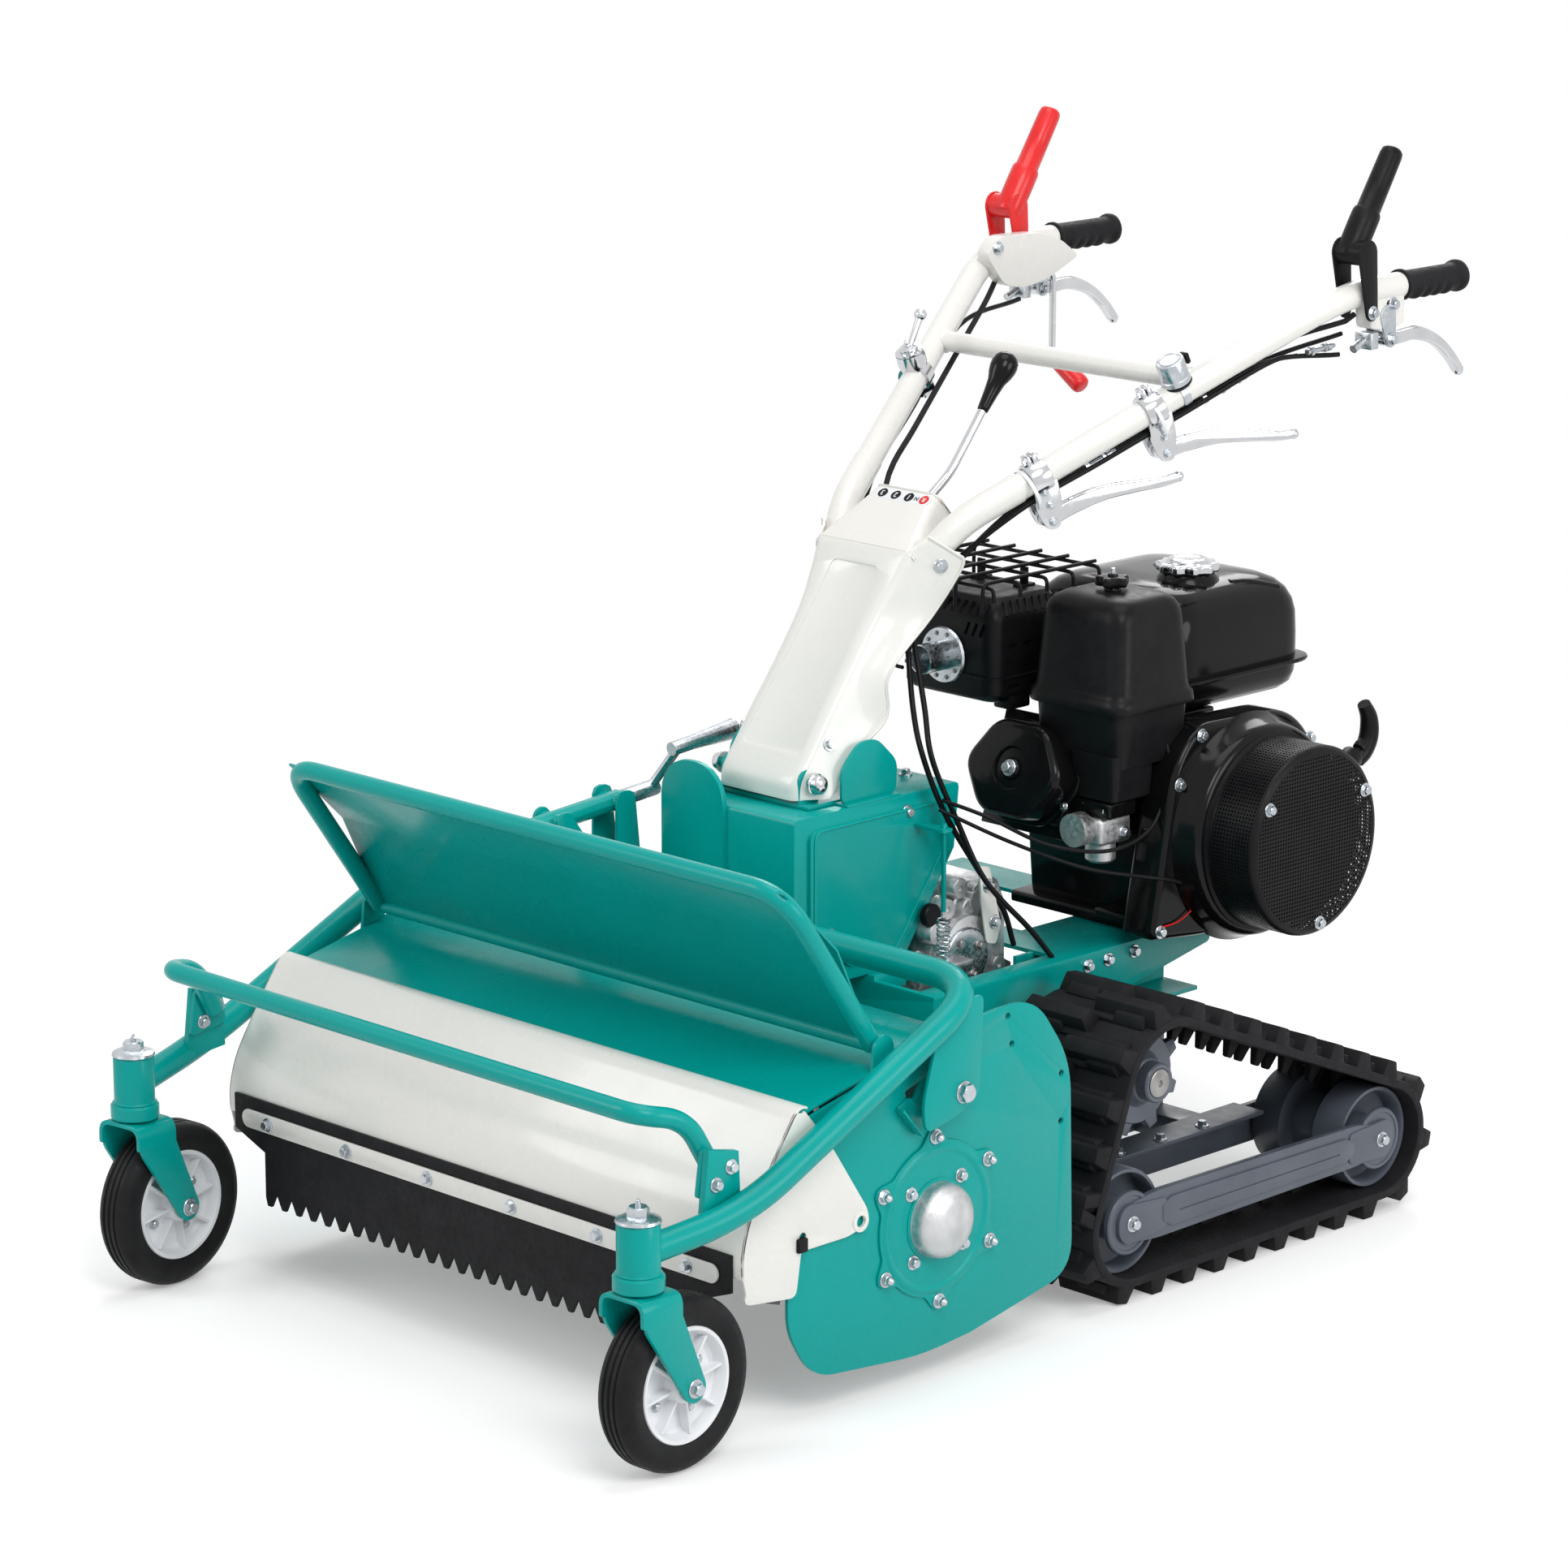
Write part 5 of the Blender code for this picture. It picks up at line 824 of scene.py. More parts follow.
# %% Front frame tube, collars, gussets and crank lugs
FRAME_HALF, FRAME_TUBE = 0.4475, 0.016
PIVOT = (-0.293, 0.332)
frame_path = eased([(-CASTER_X, CASTER_Y, 0.25), (-FRAME_HALF, -0.625, 0.272),
    (-FRAME_HALF, -0.262, 0.446), (FRAME_HALF, -0.262, 0.446), (FRAME_HALF, -0.625, 0.272),
    (CASTER_X, CASTER_Y, 0.25)], 0.075, 12)
parts = [bent(frame_path, FRAME_TUBE, 28)]
for label, side in SIDES:
    x = side * CASTER_X
    collar = turned([(0.0108, 0.2121), (0.0265, 0.2121), (0.028, 0.2136), (0.028, 0.227),
        (0.0262, 0.229), (0.0236, 0.2305), (0.0236, 0.2838), (0.0228, 0.285), (0.0108, 0.285),
        (0.0108, 0.2121)], "z", (x, CASTER_Y, 0), 48)
    weld = turned([(0.0236, 0.2302), (0.0256, 0.2306), (0.0236, 0.2326), (0.0236, 0.2302)], "z",
        (x, CASTER_Y, 0), 48)
    gusset = rounded([(-0.33, 0.42), (-0.262, 0.44), (-0.268, 0.322), (-0.3, 0.308),
        (-0.352, 0.296), (-0.356, 0.33)], 0.014, 5)
    gusset = side_plate(gusset, side, FRAME_HALF - 0.0025, FRAME_HALF + 0.0025, 0.0009)
    pad = [(-0.672, 0.262), (-0.615, 0.268), (-0.618, 0.335), (-0.662, 0.345)]
    pad = side_plate(pad, side, 0.4233, 0.432, 0.0009)
    parts += [collar, weld, gusset, pad]
CRANK_X = -0.19
for offset in (-0.022, 0.018):
    lug = link((-0.262, 0.446), (-0.31, 0.524), 0.02, 0.013)
    parts.append(cut_plate(lug, CRANK_X + offset, CRANK_X + offset + 0.004, 0.0008))
close(parts, "front_frame_tube", "front_frame", "teal", "caster_frame", smooth=40)
print("front frame half width:", FRAME_HALF)

# %% [markdown]
# The bumper is a thinner tube that arches over the hood. Its flattened feet are bolted to pads
# on the frame, so that it can be taken off.

# %% Bumper
BUMPER_TUBE = 0.0112
foot_y = -0.64
bumper_path = eased([(-0.4115, foot_y, 0.318), (-0.405, foot_y - 0.03, 0.375),
    (-0.39, -0.725, 0.388), (0.39, -0.725, 0.388), (0.405, foot_y - 0.03, 0.375),
    (0.4115, foot_y, 0.318)], 0.04, 12)
parts = [bent(bumper_path, BUMPER_TUBE, 24)]
for label, side in SIDES:
    foot = rounded([(foot_y - 0.03, 0.29), (foot_y + 0.022, 0.298), (foot_y + 0.018, 0.33),
                    (foot_y - 0.022, 0.345)], 0.006, 4)
    parts.append(side_plate(foot, side, 0.417, 0.423, 0.0009))
close(parts, "bumper_tube", "front_frame", "teal", "bumper_bar", smooth=40)
spots = []
for label, side in SIDES:
    for y, z in ((-0.652, 0.305), (-0.63, 0.32)):
        spots.append(((side * 0.432, y, z), (side, 0, 0)))
        spots.append(((side * 0.417, y, z), (-side, 0, 0)))
bolt_set("bumper_bolts", "front_frame", BOLT, spots)
spots = [((side * (FRAME_HALF + 0.0025), *PIVOT), (side, 0, 0)) for label, side in SIDES]
bolt_set("front_frame_pivot_bolts", "front_frame", BIG_BOLT, spots)
print("bumper bolts:", len(spots) + 4)

# %% [markdown]
# ## Deflector
# The folding guard is a hoop of tube with a creased sheet inside it, hinged on the side plates.
# The hoop is a bent path, and the sheet is a thin band cut to its creased line and drawn across.

# %% Hoop and sheet
low_edge, top_edge = Vector((-0.39, 0.396)), Vector((-0.526, 0.59))
DEFLECTOR_HALF = 0.4062
hoop = eased([(-DEFLECTOR_HALF, *low_edge), (-DEFLECTOR_HALF, *top_edge),
    (DEFLECTOR_HALF, *top_edge), (DEFLECTOR_HALF, *low_edge)], 0.05, 12)
crease = low_edge.lerp(top_edge, 0.55) + Vector((0.018, 0.01))
sheet_line = [top_edge, crease, low_edge + Vector((0.002, -0.006))]
sheet = cut_plate(band(sheet_line, 0.003), -DEFLECTOR_HALF, DEFLECTOR_HALF, 0.001)
bar = round_bar(0.008, -0.422, 0.422, "x", (0, *low_edge), 32)
close([bent(hoop, 0.011, 24), sheet, bar], "deflector_hoop_and_sheet", "deflector", "teal",
    "deflector", smooth=40)
print("deflector done")

# %% [markdown]
# ## Hood and skirt strip
# The hood is one sheet rolled over the front of the deck, so its profile is a smooth curve that is
# given the sheet's thickness, and its side panels are cut to the curve. The clamping strip under it
# has six bolts.

# %% Hood
HOOD_FRONT, HOOD_OUT, HOOD_IN = -0.608, 0.427, 0.424
HOOD_PIVOT = (-0.43, 0.211)
profile = flowing([(HOOD_FRONT, 0.186), (HOOD_FRONT, 0.215), (HOOD_FRONT + 0.01, 0.25),
    (HOOD_FRONT + 0.031, 0.286), (HOOD_FRONT + 0.055, 0.322), (HOOD_FRONT + 0.076, 0.352)], 6)
profile = [tuple(p) for p in profile] + arc((HOOD_FRONT + 0.0905, 0.3455), 0.0145, 140, 60, 6)
skin = cut_out(band(profile, -0.003), -HOOD_OUT, HOOD_OUT)
panel = [(HOOD_FRONT, 0.158), (HOOD_PIVOT[0] - 0.098, 0.148), (HOOD_PIVOT[0] - 0.09, 0.198),
    (HOOD_PIVOT[0] - 0.02, 0.198), (HOOD_PIVOT[0] + 0.014, 0.205), (HOOD_PIVOT[0] + 0.012, 0.222),
    (HOOD_PIVOT[0] - 0.04, 0.3), (HOOD_PIVOT[0] - 0.086, 0.356)]
panel = rounded(panel, [0.012, 0.01, 0.004, 0.004, 0.008, 0.014, 0.0, 0.004],
    4) + list(reversed(profile[1:-6]))
parts = [skin]
for label, side in SIDES:
    low, high = sorted((side * HOOD_IN, side * HOOD_OUT))
    side_panel = cut_out(panel, low, high)
    holes = []
    for y, z, radius in ((*HOOD_PIVOT, 0.0065), (HOOD_PIVOT[0] - 0.088, 0.214, 0.005)):
        low, high = sorted((side * (HOOD_IN - 0.004), side * (HOOD_OUT + 0.004)))
        holes.append(round_bar(radius, low, high, "x", (0, y, z), 24))
    parts.append(carved(side_panel, holes))
close(bevelled(joined(parts), 0.0007), "hood_sheet", "hood", "cream", "hood", smooth=35)
print("hood profile points:", len(profile))

# %% [markdown]
# A flat bar with round ends clamps the rubber skirt to the hood. Its six bolts are set along it,
# and a pressed ring stands round each of the hood's pivots.

# %% Skirt strip, bolts and pivot rings
STRIP_Y = HOOD_FRONT - 0.0046
strip = cut_plate(link((-0.385, 0.187), (0.385, 0.187), 0.011, 0.011, 14), STRIP_Y - 0.003, STRIP_Y,
    0.0007, axis="y")
close(strip, "skirt_strip_rounded", "hood", "cream", "skirt_strip")
spots = [((x, STRIP_Y - 0.003, 0.187), (0, -1, 0))
    for x in (-0.349, -0.209, -0.07, 0.07, 0.209, 0.349)]
bolt_set("skirt_strip_bolts", "hood", BOLT, spots)
rings = []
for label, side in SIDES:
    ring = turned([(0.0066, 0.0), (0.0118, 0.0), (0.0118, 0.0012), (0.0072, 0.0018),
        (0.0066, 0.0012), (0.0066, 0.0)], steps=32)
    rings.append(put(ring, facing((side * HOOD_OUT, *HOOD_PIVOT), (side, 0, 0))))
close(rings, "hood_pivot_rings", "hood", "cream")
print("hood done")

# %% [markdown]
# ## Console
# The pressed cover of the handle post is narrow at the foot and wide at the shoulders, and its
# sides flare out behind. It is a grid pulled onto a row of sections and given the sheet's
# thickness. Above the shoulders a smaller hump slopes up to the gate of the gear lever.

# %% A sheet drawn through sections
def lofted(sections, thickness, per=5):
    """A sheet through sections that have equally many points."""
    columns = [flowing(column, per) for column in zip(*sections)]
    rows = list(zip(*columns))
    deselect()
    bpy.ops.mesh.primitive_grid_add(x_subdivisions=len(columns) - 1, y_subdivisions=len(rows) - 1)
    piece = bpy.context.object
    for i, row in enumerate(rows):
        for j, place in enumerate(row):
            piece.data.vertices[i * len(columns) + j].co = place
    bpy.ops.object.modifier_add(type="SOLIDIFY")
    sheet = piece.modifiers[-1]
    sheet.thickness = thickness
    sheet.offset = -1
    bpy.ops.object.modifier_apply(modifier=sheet.name)
    return piece


def seat(piece, start, direction):
    """Where a ray meets a piece, and the surface's direction there."""
    _, point, normal, _ = piece.ray_cast(Vector(start), Vector(direction))
    return tuple(point), tuple(normal)


def mirror_rest(half_line):
    """A line from the right to the middle, completed to the left and started there."""
    return [(-x, y, z) for x, y, z in half_line[:-1]] + list(reversed(half_line))


def cover_section(front, half, rear, rear_half, height, middle=0.6, corner=0.014):
    """A U seen from above: rear edge, flared side, round corner and flat front."""
    side = rear - front - corner
    line = [(rear_half, rear)]
    line.append((half + (rear_half - half) * 0.85, rear - side * 0.25))
    line.append((half + (rear_half - half) * (1.05 - middle), rear - side * middle))
    line.append((half, front + corner))
    for angle in (22.5, 45, 67.5, 90):
        turn = math.radians(angle)
        line.append((half - corner + corner * math.cos(turn),
            front + corner - corner * math.sin(turn)))
    line += [(half * 0.45, front), (0, front)]
    return mirror_rest([(x, y, height(y) if callable(height) else height) for x, y in line])


def rim_height(y):
    """The shoulder's edge rises beside the hump and falls again behind the tube."""
    return 0.832 + max(0, y - 0.0062) * 0.8 if y < 0.03 else 0.851 - (y - 0.03)


print("one section has", len(cover_section(0, 1, 1, 1, 0)), "points")

# %% [markdown]
# The cover's rows give front, half width, rear edge, rear half width and height. The panel on its
# front is pressed in by one millimetre, so a shape that follows the front is cut out of it.

# %% Console cover and its hump
COVER = [
    (-0.168, 0.0655, -0.128, 0.0815, 0.566), (-0.164, 0.0655, -0.11, 0.0815, 0.588),
    (-0.143, 0.0655, -0.08, 0.082, 0.616), (-0.12, 0.065, -0.036, 0.0825, 0.648),
    (-0.082, 0.064, -0.034, 0.084, 0.698), (-0.04, 0.065, 0.029, 0.09, 0.756),
    (-0.012, 0.0725, 0.054, 0.104, 0.798),
]
sections = [cover_section(*numbers) for numbers in COVER]
sections.append(cover_section(0.0062, 0.0775, 0.06, 0.112, rim_height, middle=0.8))
cover = lofted(sections, 0.0028)
face_line = flowing([(numbers[0], numbers[4]) for numbers in COVER] + [(0.0062, 0.832)], 5)
sunk = band(face_line, -0.001)[len(face_line):][::-1]
panel = cut_out(rounded([(-0.048, 0.615), (0.048, 0.615), (0.0375, 0.8125), (-0.0375, 0.8125)],
    0.009, 5), -0.3, 0.1, "y")
panel = carved(panel, [cut_out(band(sunk, 0.012), -0.06, 0.06)], "INTERSECT")
cover = carved(cover, [panel])

SLOPE = Vector((0, 0.802, 0.597))
SLOPE_UP = Vector((0, -0.597, 0.802))


def hump_row(y, z, half, depth, corner=0.009):
    """A section square to the slope: a flat top with walls that go down on both sides."""
    line = []
    for share in (1.0, 0.55, 0.2):
        line.append((half + 0.004 * share, y - SLOPE_UP.y * depth * share,
            z - SLOPE_UP.z * depth * share))
    for angle in (30, 60, 90):
        turn = math.radians(angle)
        sink = corner * (1 - math.sin(turn))
        line.append((half - corner + corner * math.cos(turn), y - SLOPE_UP.y * sink,
            z - SLOPE_UP.z * sink))
    line += [(half * 0.4, y, z), (0, y, z)]
    return mirror_rest(line)


hump = lofted([hump_row(0.008, 0.831, 0.075, 0.04), hump_row(0.0094, 0.8346, 0.0757, 0.044),
    hump_row(0.043, 0.8595, 0.062, 0.044), hump_row(0.078, 0.8856, 0.0485, 0.042),
    hump_row(0.0815, 0.8872, 0.0475, 0.041), hump_row(0.0835, 0.8862, 0.047, 0.038)], 0.0026)
shell = joined([bevelled(cover, 0.0007), bevelled(hump, 0.0007, 2, 50)])
edges = []
for label, side in SIDES:
    rear_edge = [(numbers[3], numbers[2], numbers[4])
        for numbers in COVER[1:]] + [sections[-1][i] for i in (-1, -2, -3)]
    rear_edge = [(side * (x - 0.0006), y, z) for x, y, z in rear_edge]
    edges.append(bent(flowing(rear_edge, 5), 0.0022, 10))
shell = joined([shell] + edges)
print("console sections:", len(sections))

# %% [markdown]
# Two bolts on each side hold the cover, and a capped pin carries the handle. The bolts are set
# where a ray from the side meets the sheet, so they sit on it at any change of its shape.

# %% Console bolts, tilt pin and bracket
TILT = (-0.145, 0.585)
spots = []
for label, side in SIDES:
    for y, z in ((0.038, 0.816), (-0.1146, 0.6257)):
        spots.append(seat(shell, (side * 0.3, y, z), (-side, 0, 0)))
console_body = body_of["console_cover"]
close(shell, "console_pressed", console_body, "cream", "console_cover", smooth=40)
bolt_set("console_side_bolts", console_body, BOLT, spots)
caps = []
for label, side in SIDES:
    cap = turned([(0, 0.0), (0.0128, 0.0), (0.0128, 0.0016), (0.0112, 0.0022), (0.0112, 0.008),
        (0.01, 0.0108), (0.0062, 0.0132), (0, 0.0138)], steps=36)
    caps.append(put(cap, facing((side * 0.0745, *TILT), (side, 0, 0))))
bracket = [soft_block(-0.078, 0.078, -0.161, -0.02, 0.5563, 0.5613, 0.0012),
           round_bar(0.006, -0.078, 0.078, "x", (0, *TILT), 24)]
for label, side in SIDES:
    ear = link((TILT[0], 0.56), TILT, 0.016, 0.016)
    bracket.append(side_plate(ear, side, 0.06, 0.064, 0.0008))
close(bracket, "handle_bracket_folded", body_of["handle_bracket"], "teal", "handle_bracket")
close(caps, "tilt_pin_caps", body_of["handle_bracket"], "chrome", smooth=35)
print("console bolts:", len(spots))

# %% [markdown]
# The gate strip reads towards the operator, so its letters stand with their heads to the front.

# %% Gate strip
def lettering(text, size, depth, place):
    deselect()
    bpy.ops.object.text_add()
    piece = bpy.context.object
    piece.data.body = text
    piece.data.size = size
    piece.data.extrude = depth / 2
    piece.data.align_x = "CENTER"
    piece.data.align_y = "CENTER"
    bpy.ops.object.convert(target="MESH")
    piece = bpy.context.object
    bpy.ops.object.mode_set(mode="EDIT")
    bpy.ops.mesh.select_all(action="SELECT")
    bpy.ops.mesh.remove_doubles(threshold=0.00001)
    bpy.ops.object.mode_set(mode="OBJECT")
    return put(piece, place @ Matrix.Translation((0, 0, depth / 2)))


GATE_END = (0.0815, 0.8872)


def on_slope(x, lift=0.0, up_slope=0.0716):
    """The place of a mark on the slope, with its head to the front."""
    rise = (up_slope - GATE_END[0]) / SLOPE.y
    point = Vector((x, *GATE_END)) + SLOPE * rise + SLOPE_UP * lift
    return framed(point, Vector((-1, 0, 0)), -SLOPE, SLOPE_UP)


def disc_on_slope(x):
    return put(round_bar(0.0066, 0.0008, 0.0014, steps=32), on_slope(x))


strip = put(cut_out(link((-0.036, 0), (0.036, 0), 0.0088, 0.0088, 12), 0, 0.001, "z"),
    on_slope(0.003))
close(bevelled(strip, 0.0003), "gate_strip", console_body, "white")
discs, marks = [], []
for text, x in (("3", -0.029), ("2", -0.008), ("1", 0.0133)):
    discs.append(disc_on_slope(x))
    marks.append(lettering(text, 0.0105, 0.0006, on_slope(x, 0.0013)))
red_disc = disc_on_slope(0.0374)
marks.append(lettering("R", 0.0095, 0.0006, on_slope(0.0374, 0.0013)))
neutral = lettering("N", 0.0085, 0.0006, on_slope(0.0256, 0.0009))
close(discs + [neutral], "gate_strip_discs", console_body, "black")
close(red_disc, "gate_strip_reverse_disc", console_body, "red")
close(marks, "gate_strip_marks", console_body, "white")
print("gate marks:", len(marks) + 1)

# %% [markdown]
# ## Handlebar
# Each side is one tube that leaves the console, climbs to the rear and bends level for the grip.
# The lever housings are folded from plate, and the clamps of the side levers are chromed castings
# split round the tube.

# %% Tubes, cross bar and lever housings
A, B = Vector((0.098, 0.085, 0.868)), Vector((0.27, 0.492, 1.08))
GRIP_X, GRIP_Z, GRIP_START = 0.28, 1.098, 0.634
CLUTCH, BRAKE = (0.56, 1.075), (0.606, 1.037)
TUBE = 0.016
AHEAD = (B - A).normalized()
handle_body = body_of["handlebar"]


def flipped(point, side):
    return Vector((side * point[0], point[1], point[2]))


parts = []
corners = [(0.046, -0.086, 0.65), (0.044, -0.004, 0.745), A.lerp(B, -0.06), B,
    (GRIP_X, 0.56, GRIP_Z), (GRIP_X, GRIP_START - 0.0003, GRIP_Z)]
for label, side in SIDES:
    parts.append(bent(eased([flipped(p, side) for p in corners], 0.06, 14), TUBE, 32))
    sleeve = eased([Vector((0.044, -0.004, 0.745)), A.lerp(B, -0.06), A.lerp(B, 0.135)], 0.06, 14)
    parts.append(bent([flipped(p, side) for p in sleeve], 0.0174, 32))
    parts.append(round_bar(0.0112, -0.744, -0.61, "y", (side * GRIP_X, 0, GRIP_Z), 24))
    parts.append(side_plate(link(TILT, (-0.03, 0.7), 0.014, 0.016), side, 0.048, 0.054, 0.0008))
    folded = rounded([(0.566, 1.096), (0.632, 1.096), (0.632, 1.054), (0.604, 1.0475),
        (0.57, 1.0535)], 0.006, 4)
    housing = cut_plate(folded, side * GRIP_X - 0.012, side * GRIP_X + 0.012, 0.0022, segments=3)
    slot = cut_out(link((0.602, 1.0805), (0.618, 1.0775), 0.0042, 0.0042), side * GRIP_X - 0.02,
        side * GRIP_X + 0.02)
    parts.append(carved(housing, [slot]))
spot = A.lerp(B, 0.66)
parts.append(round_bar(0.0125, -spot.x, spot.x, "x", (0, spot.y, spot.z), 32))
for label, side in SIDES:
    inner = side * (spot.x - TUBE - 0.0005)
    ring = [(0.0125, 0), (0.015, 0), (0.0125, -side * 0.0032), (0.0125, 0)]
    parts.append(turned(ring, "x", (inner, spot.y, spot.z), 32))
parts.append(block(-0.064, 0.064, -0.03, -0.022, 0.69, 0.74))
parts.append(cut_plate(rounded([(-0.027, 0.716), (-0.022, 0.716), (0.055, 0.792), (0.055, 0.806),
    (0.04, 0.806)], 0.003), 0.012, 0.0155, 0.0006))
close(parts, "handlebar_tubes", handle_body, "cream", "handlebar", smooth=40)
print("handle tube length, console to bend:", round((B - A).length, 3))

# %% [markdown]
# Each brake lever turns between two small zinc plates on a foot under the housing. They are
# links with round ends, set on both sides of the lever with room for it to move.

# %% Brackets and bolts of the brake levers
clevis, bolts = [], []
for label, side in SIDES:
    for offset in (-0.014, 0.011):
        plate = link(BRAKE, (BRAKE[0] - 0.006, 1.066), 0.0095, 0.014, 8)
        clevis.append(cut_plate(plate, side * GRIP_X + offset, side * GRIP_X + offset + 0.003,
            0.0006))
    clevis.append(soft_block(side * GRIP_X - 0.013, side * GRIP_X + 0.013, 0.57, 0.584, 1.028,
        1.0485, 0.0015))
    clevis.append(bent([(side * GRIP_X, 0.571, 1.038), (side * GRIP_X, 0.552, 1.03)], 0.0052, 16))
    for face in (1, -1):
        bolts.append(((side * GRIP_X + face * 0.0142, *BRAKE), (face, 0, 0)))
        bolts.append(((side * GRIP_X + face * 0.0119, 0.6105, 1.0788), (face, 0, 0)))
close(clevis, "brake_lever_brackets", handle_body, "zinc", smooth=35)
bolt_set("housing_bolts", handle_body, BOLT, bolts)
print("housing bolts:", len(bolts))

# %% [markdown]
# The right lever stands beside a pressed guard. Its outline is cut, its edge is rolled by a wide
# bevel, and a smaller copy of the outline is taken out to leave a tray.

# %% Guard of the right lever
inside = rounded([(0.466, 1.098), (0.488, 1.1185), (0.56, 1.1165), (0.602, 1.104), (0.637, 1.08),
    (0.578, 1.055), (0.535, 1.049), (0.5, 1.056), (0.484, 1.076)], [0.016, 0.018, 0.012, 0.012,
    0.008, 0.02, 0.02, 0.02, 0.016], 5)
guard = cut_plate(inside, -0.2545, -0.235, 0.006, segments=4)
hollow = [(0.5505 + (y - 0.5505) * 0.95, 1.085 + (z - 1.085) * 0.9) for y, z in inside]
guard = carved(guard, [cut_out(hollow, -0.26, -0.238),
    block(-0.26, -0.2405, 0.565, 0.64, 1.03, 1.072)])
bosses = [round_bar(0.006, -0.264, -0.237, "x", (0, y, z), 20) for y,
    z in ((0.49, 1.098), (0.56, 1.104))]
close([guard] + bosses, "right_lever_guard", handle_body, "cream", smooth=40)
bolt_set("right_lever_guard_bolt", handle_body, BOLT, [((-0.235, 0.486, 1.1045), (1, 0, 0))])
print("handlebar done")

# %% [markdown]
# The grips are soft rubber with a collar, a bulb at the end and four finger ribs underneath. The
# sleeve is spun, and each rib is a spun wave that is set a little low and welded on.

# %% Grips
for label, side in SIDES:
    profile = [(0.0122, 0.634), (0.0178, 0.634), (0.019, 0.6352), (0.019, 0.6395), (0.018, 0.6408),
        (0.0166, 0.6418), (0.0162, 0.66), (0.016, 0.732), (0.0168, 0.737), (0.019, 0.7392),
        (0.0196, 0.7425), (0.019, 0.747), (0.0165, 0.7496), (0.012, 0.75), (0, 0.75), (0, 0.7445),
        (0.0122, 0.7445), (0.0122, 0.634)]
    grip = turned([(r, -y) for r, y in profile], "y", (side * GRIP_X, 0, GRIP_Z), 48)
    ribs = []
    for i in range(4):
        y = 0.662 + 0.0185 * i
        wave = [(0, -y + 0.0075), (0.0135, -y + 0.0075), (0.0158, -y + 0.0045), (0.0166, -y),
            (0.0158, -y - 0.0045), (0.0135, -y - 0.0075), (0, -y - 0.0075)]
        ribs.append(turned(wave, "y", (side * GRIP_X, 0, GRIP_Z - 0.003), 40))
    grip = carved(grip, ribs, "UNION")
    close(grip, "grip_" + label + "_ribbed", body_of["grip_" + label], "rubber", "grip_" + label,
        smooth=50)
print("grips: 2")

# %% [markdown]
# ## Levers
# The clutch levers are thick vinyl sleeves on forked feet. The four squeeze levers are cast blades
# that thin out towards a rolled tip.

# %% Clutch levers
for label, side, slot in (("left", 1, "black"), ("right", -1, "red")):
    body = body_of["clutch_lever_" + label]
    inner = side * (GRIP_X - 0.006)
    base, top = Vector((inner, 0.545, 1.138)), Vector((inner, 0.626, 1.262))
    run = top - base
    shares = [0.0, 0.012, 0.06, 0.3, 0.4, 0.425, 0.44, 0.7, 0.93, 0.97, 0.99, 1.0]
    taper = [0.0158, 0.0168, 0.0174, 0.0176, 0.0174, 0.0164, 0.0146, 0.0142, 0.0138, 0.0128, 0.01,
        0.005]
    sleeve = bent([base + run * share for share in shares], 1.0, 36, taper=taper)
    parts = [sleeve]
    for offset in (-0.0215, 0.0185):
        plate = link(CLUTCH, (0.55, 1.146), 0.0105, 0.0168, 10)
        fork = cut_out(plate, side * GRIP_X + offset, side * GRIP_X + offset + 0.003)
        parts.append(bevelled(fork, 0.0008))
    bridge = round_bar(0.015, -0.019, 0.019, "x", (side * GRIP_X, 0.55, 1.146), 32)
    parts.append(bridge)
    close(parts, "clutch_lever_" + label + "_sleeved", body, slot, "clutch_lever_" + label,
        smooth=45)
    spots = [((side * GRIP_X + face * 0.0215, *CLUTCH), (face, 0, 0)) for face in (1, -1)]
    bolt_set("clutch_lever_bolts_" + label, body, BOLT, spots)
print("clutch levers: 2")

# %% [markdown]
# A squeeze lever is cast with a spine along its middle and a rolled tip, so that it doesn't cut the
# fingers. Its outline follows a curve in its own plane, and eye, pin and knob are joined to it.

# %% Squeeze lever shapes
def blade(line, halves, width):
    """A cast blade along a line in its own plane; halves gives half its height at each point."""
    line = flowing(line, 6)
    heights = [p.x for p in flowing([(h, 0) for h in halves], 6)]
    upper, lower = [], []
    for i, point in enumerate(line):
        ahead = (line[min(i + 1, len(line) - 1)] - line[max(i - 1, 0)]).normalized()
        square = Vector((-ahead.y, ahead.x))
        upper.append(tuple(point + square * heights[i]))
        lower.append(tuple(point - square * heights[i]))
    return cut_plate(upper + lower[::-1], -width / 2, width / 2, 0.0016, segments=3)


def knob(place, radius):
    return turned([(r, h) for h, r in arc((0, 0), radius, 0, 180, 12)][::-1], "z", place, 24)


def squeeze_lever(line, halves, width, tip, eye):
    blank = blade(line, halves, width)
    boss = round_bar(eye, -0.01, 0.01, "x", (0, 0, 0), 28)
    pin = round_bar(0.004, -0.0136, 0.0136, "x", (0, 0, 0), 20)
    rib = blade([(p[0], p[1] + 0.0002) for p in line[1:-1]], [h + 0.0016 for h in halves[1:-1]],
        width * 0.35)
    return joined([blank, rib, bevelled(boss, 0.001), pin, knob((0, *line[-1]), tip)])


print("lever shapes: blade, knob, squeeze_lever")

# %% [markdown]
# The brake levers hang under the grips. They stay low and slim near the eye, so that the housing
# is clear of them when they are squeezed.

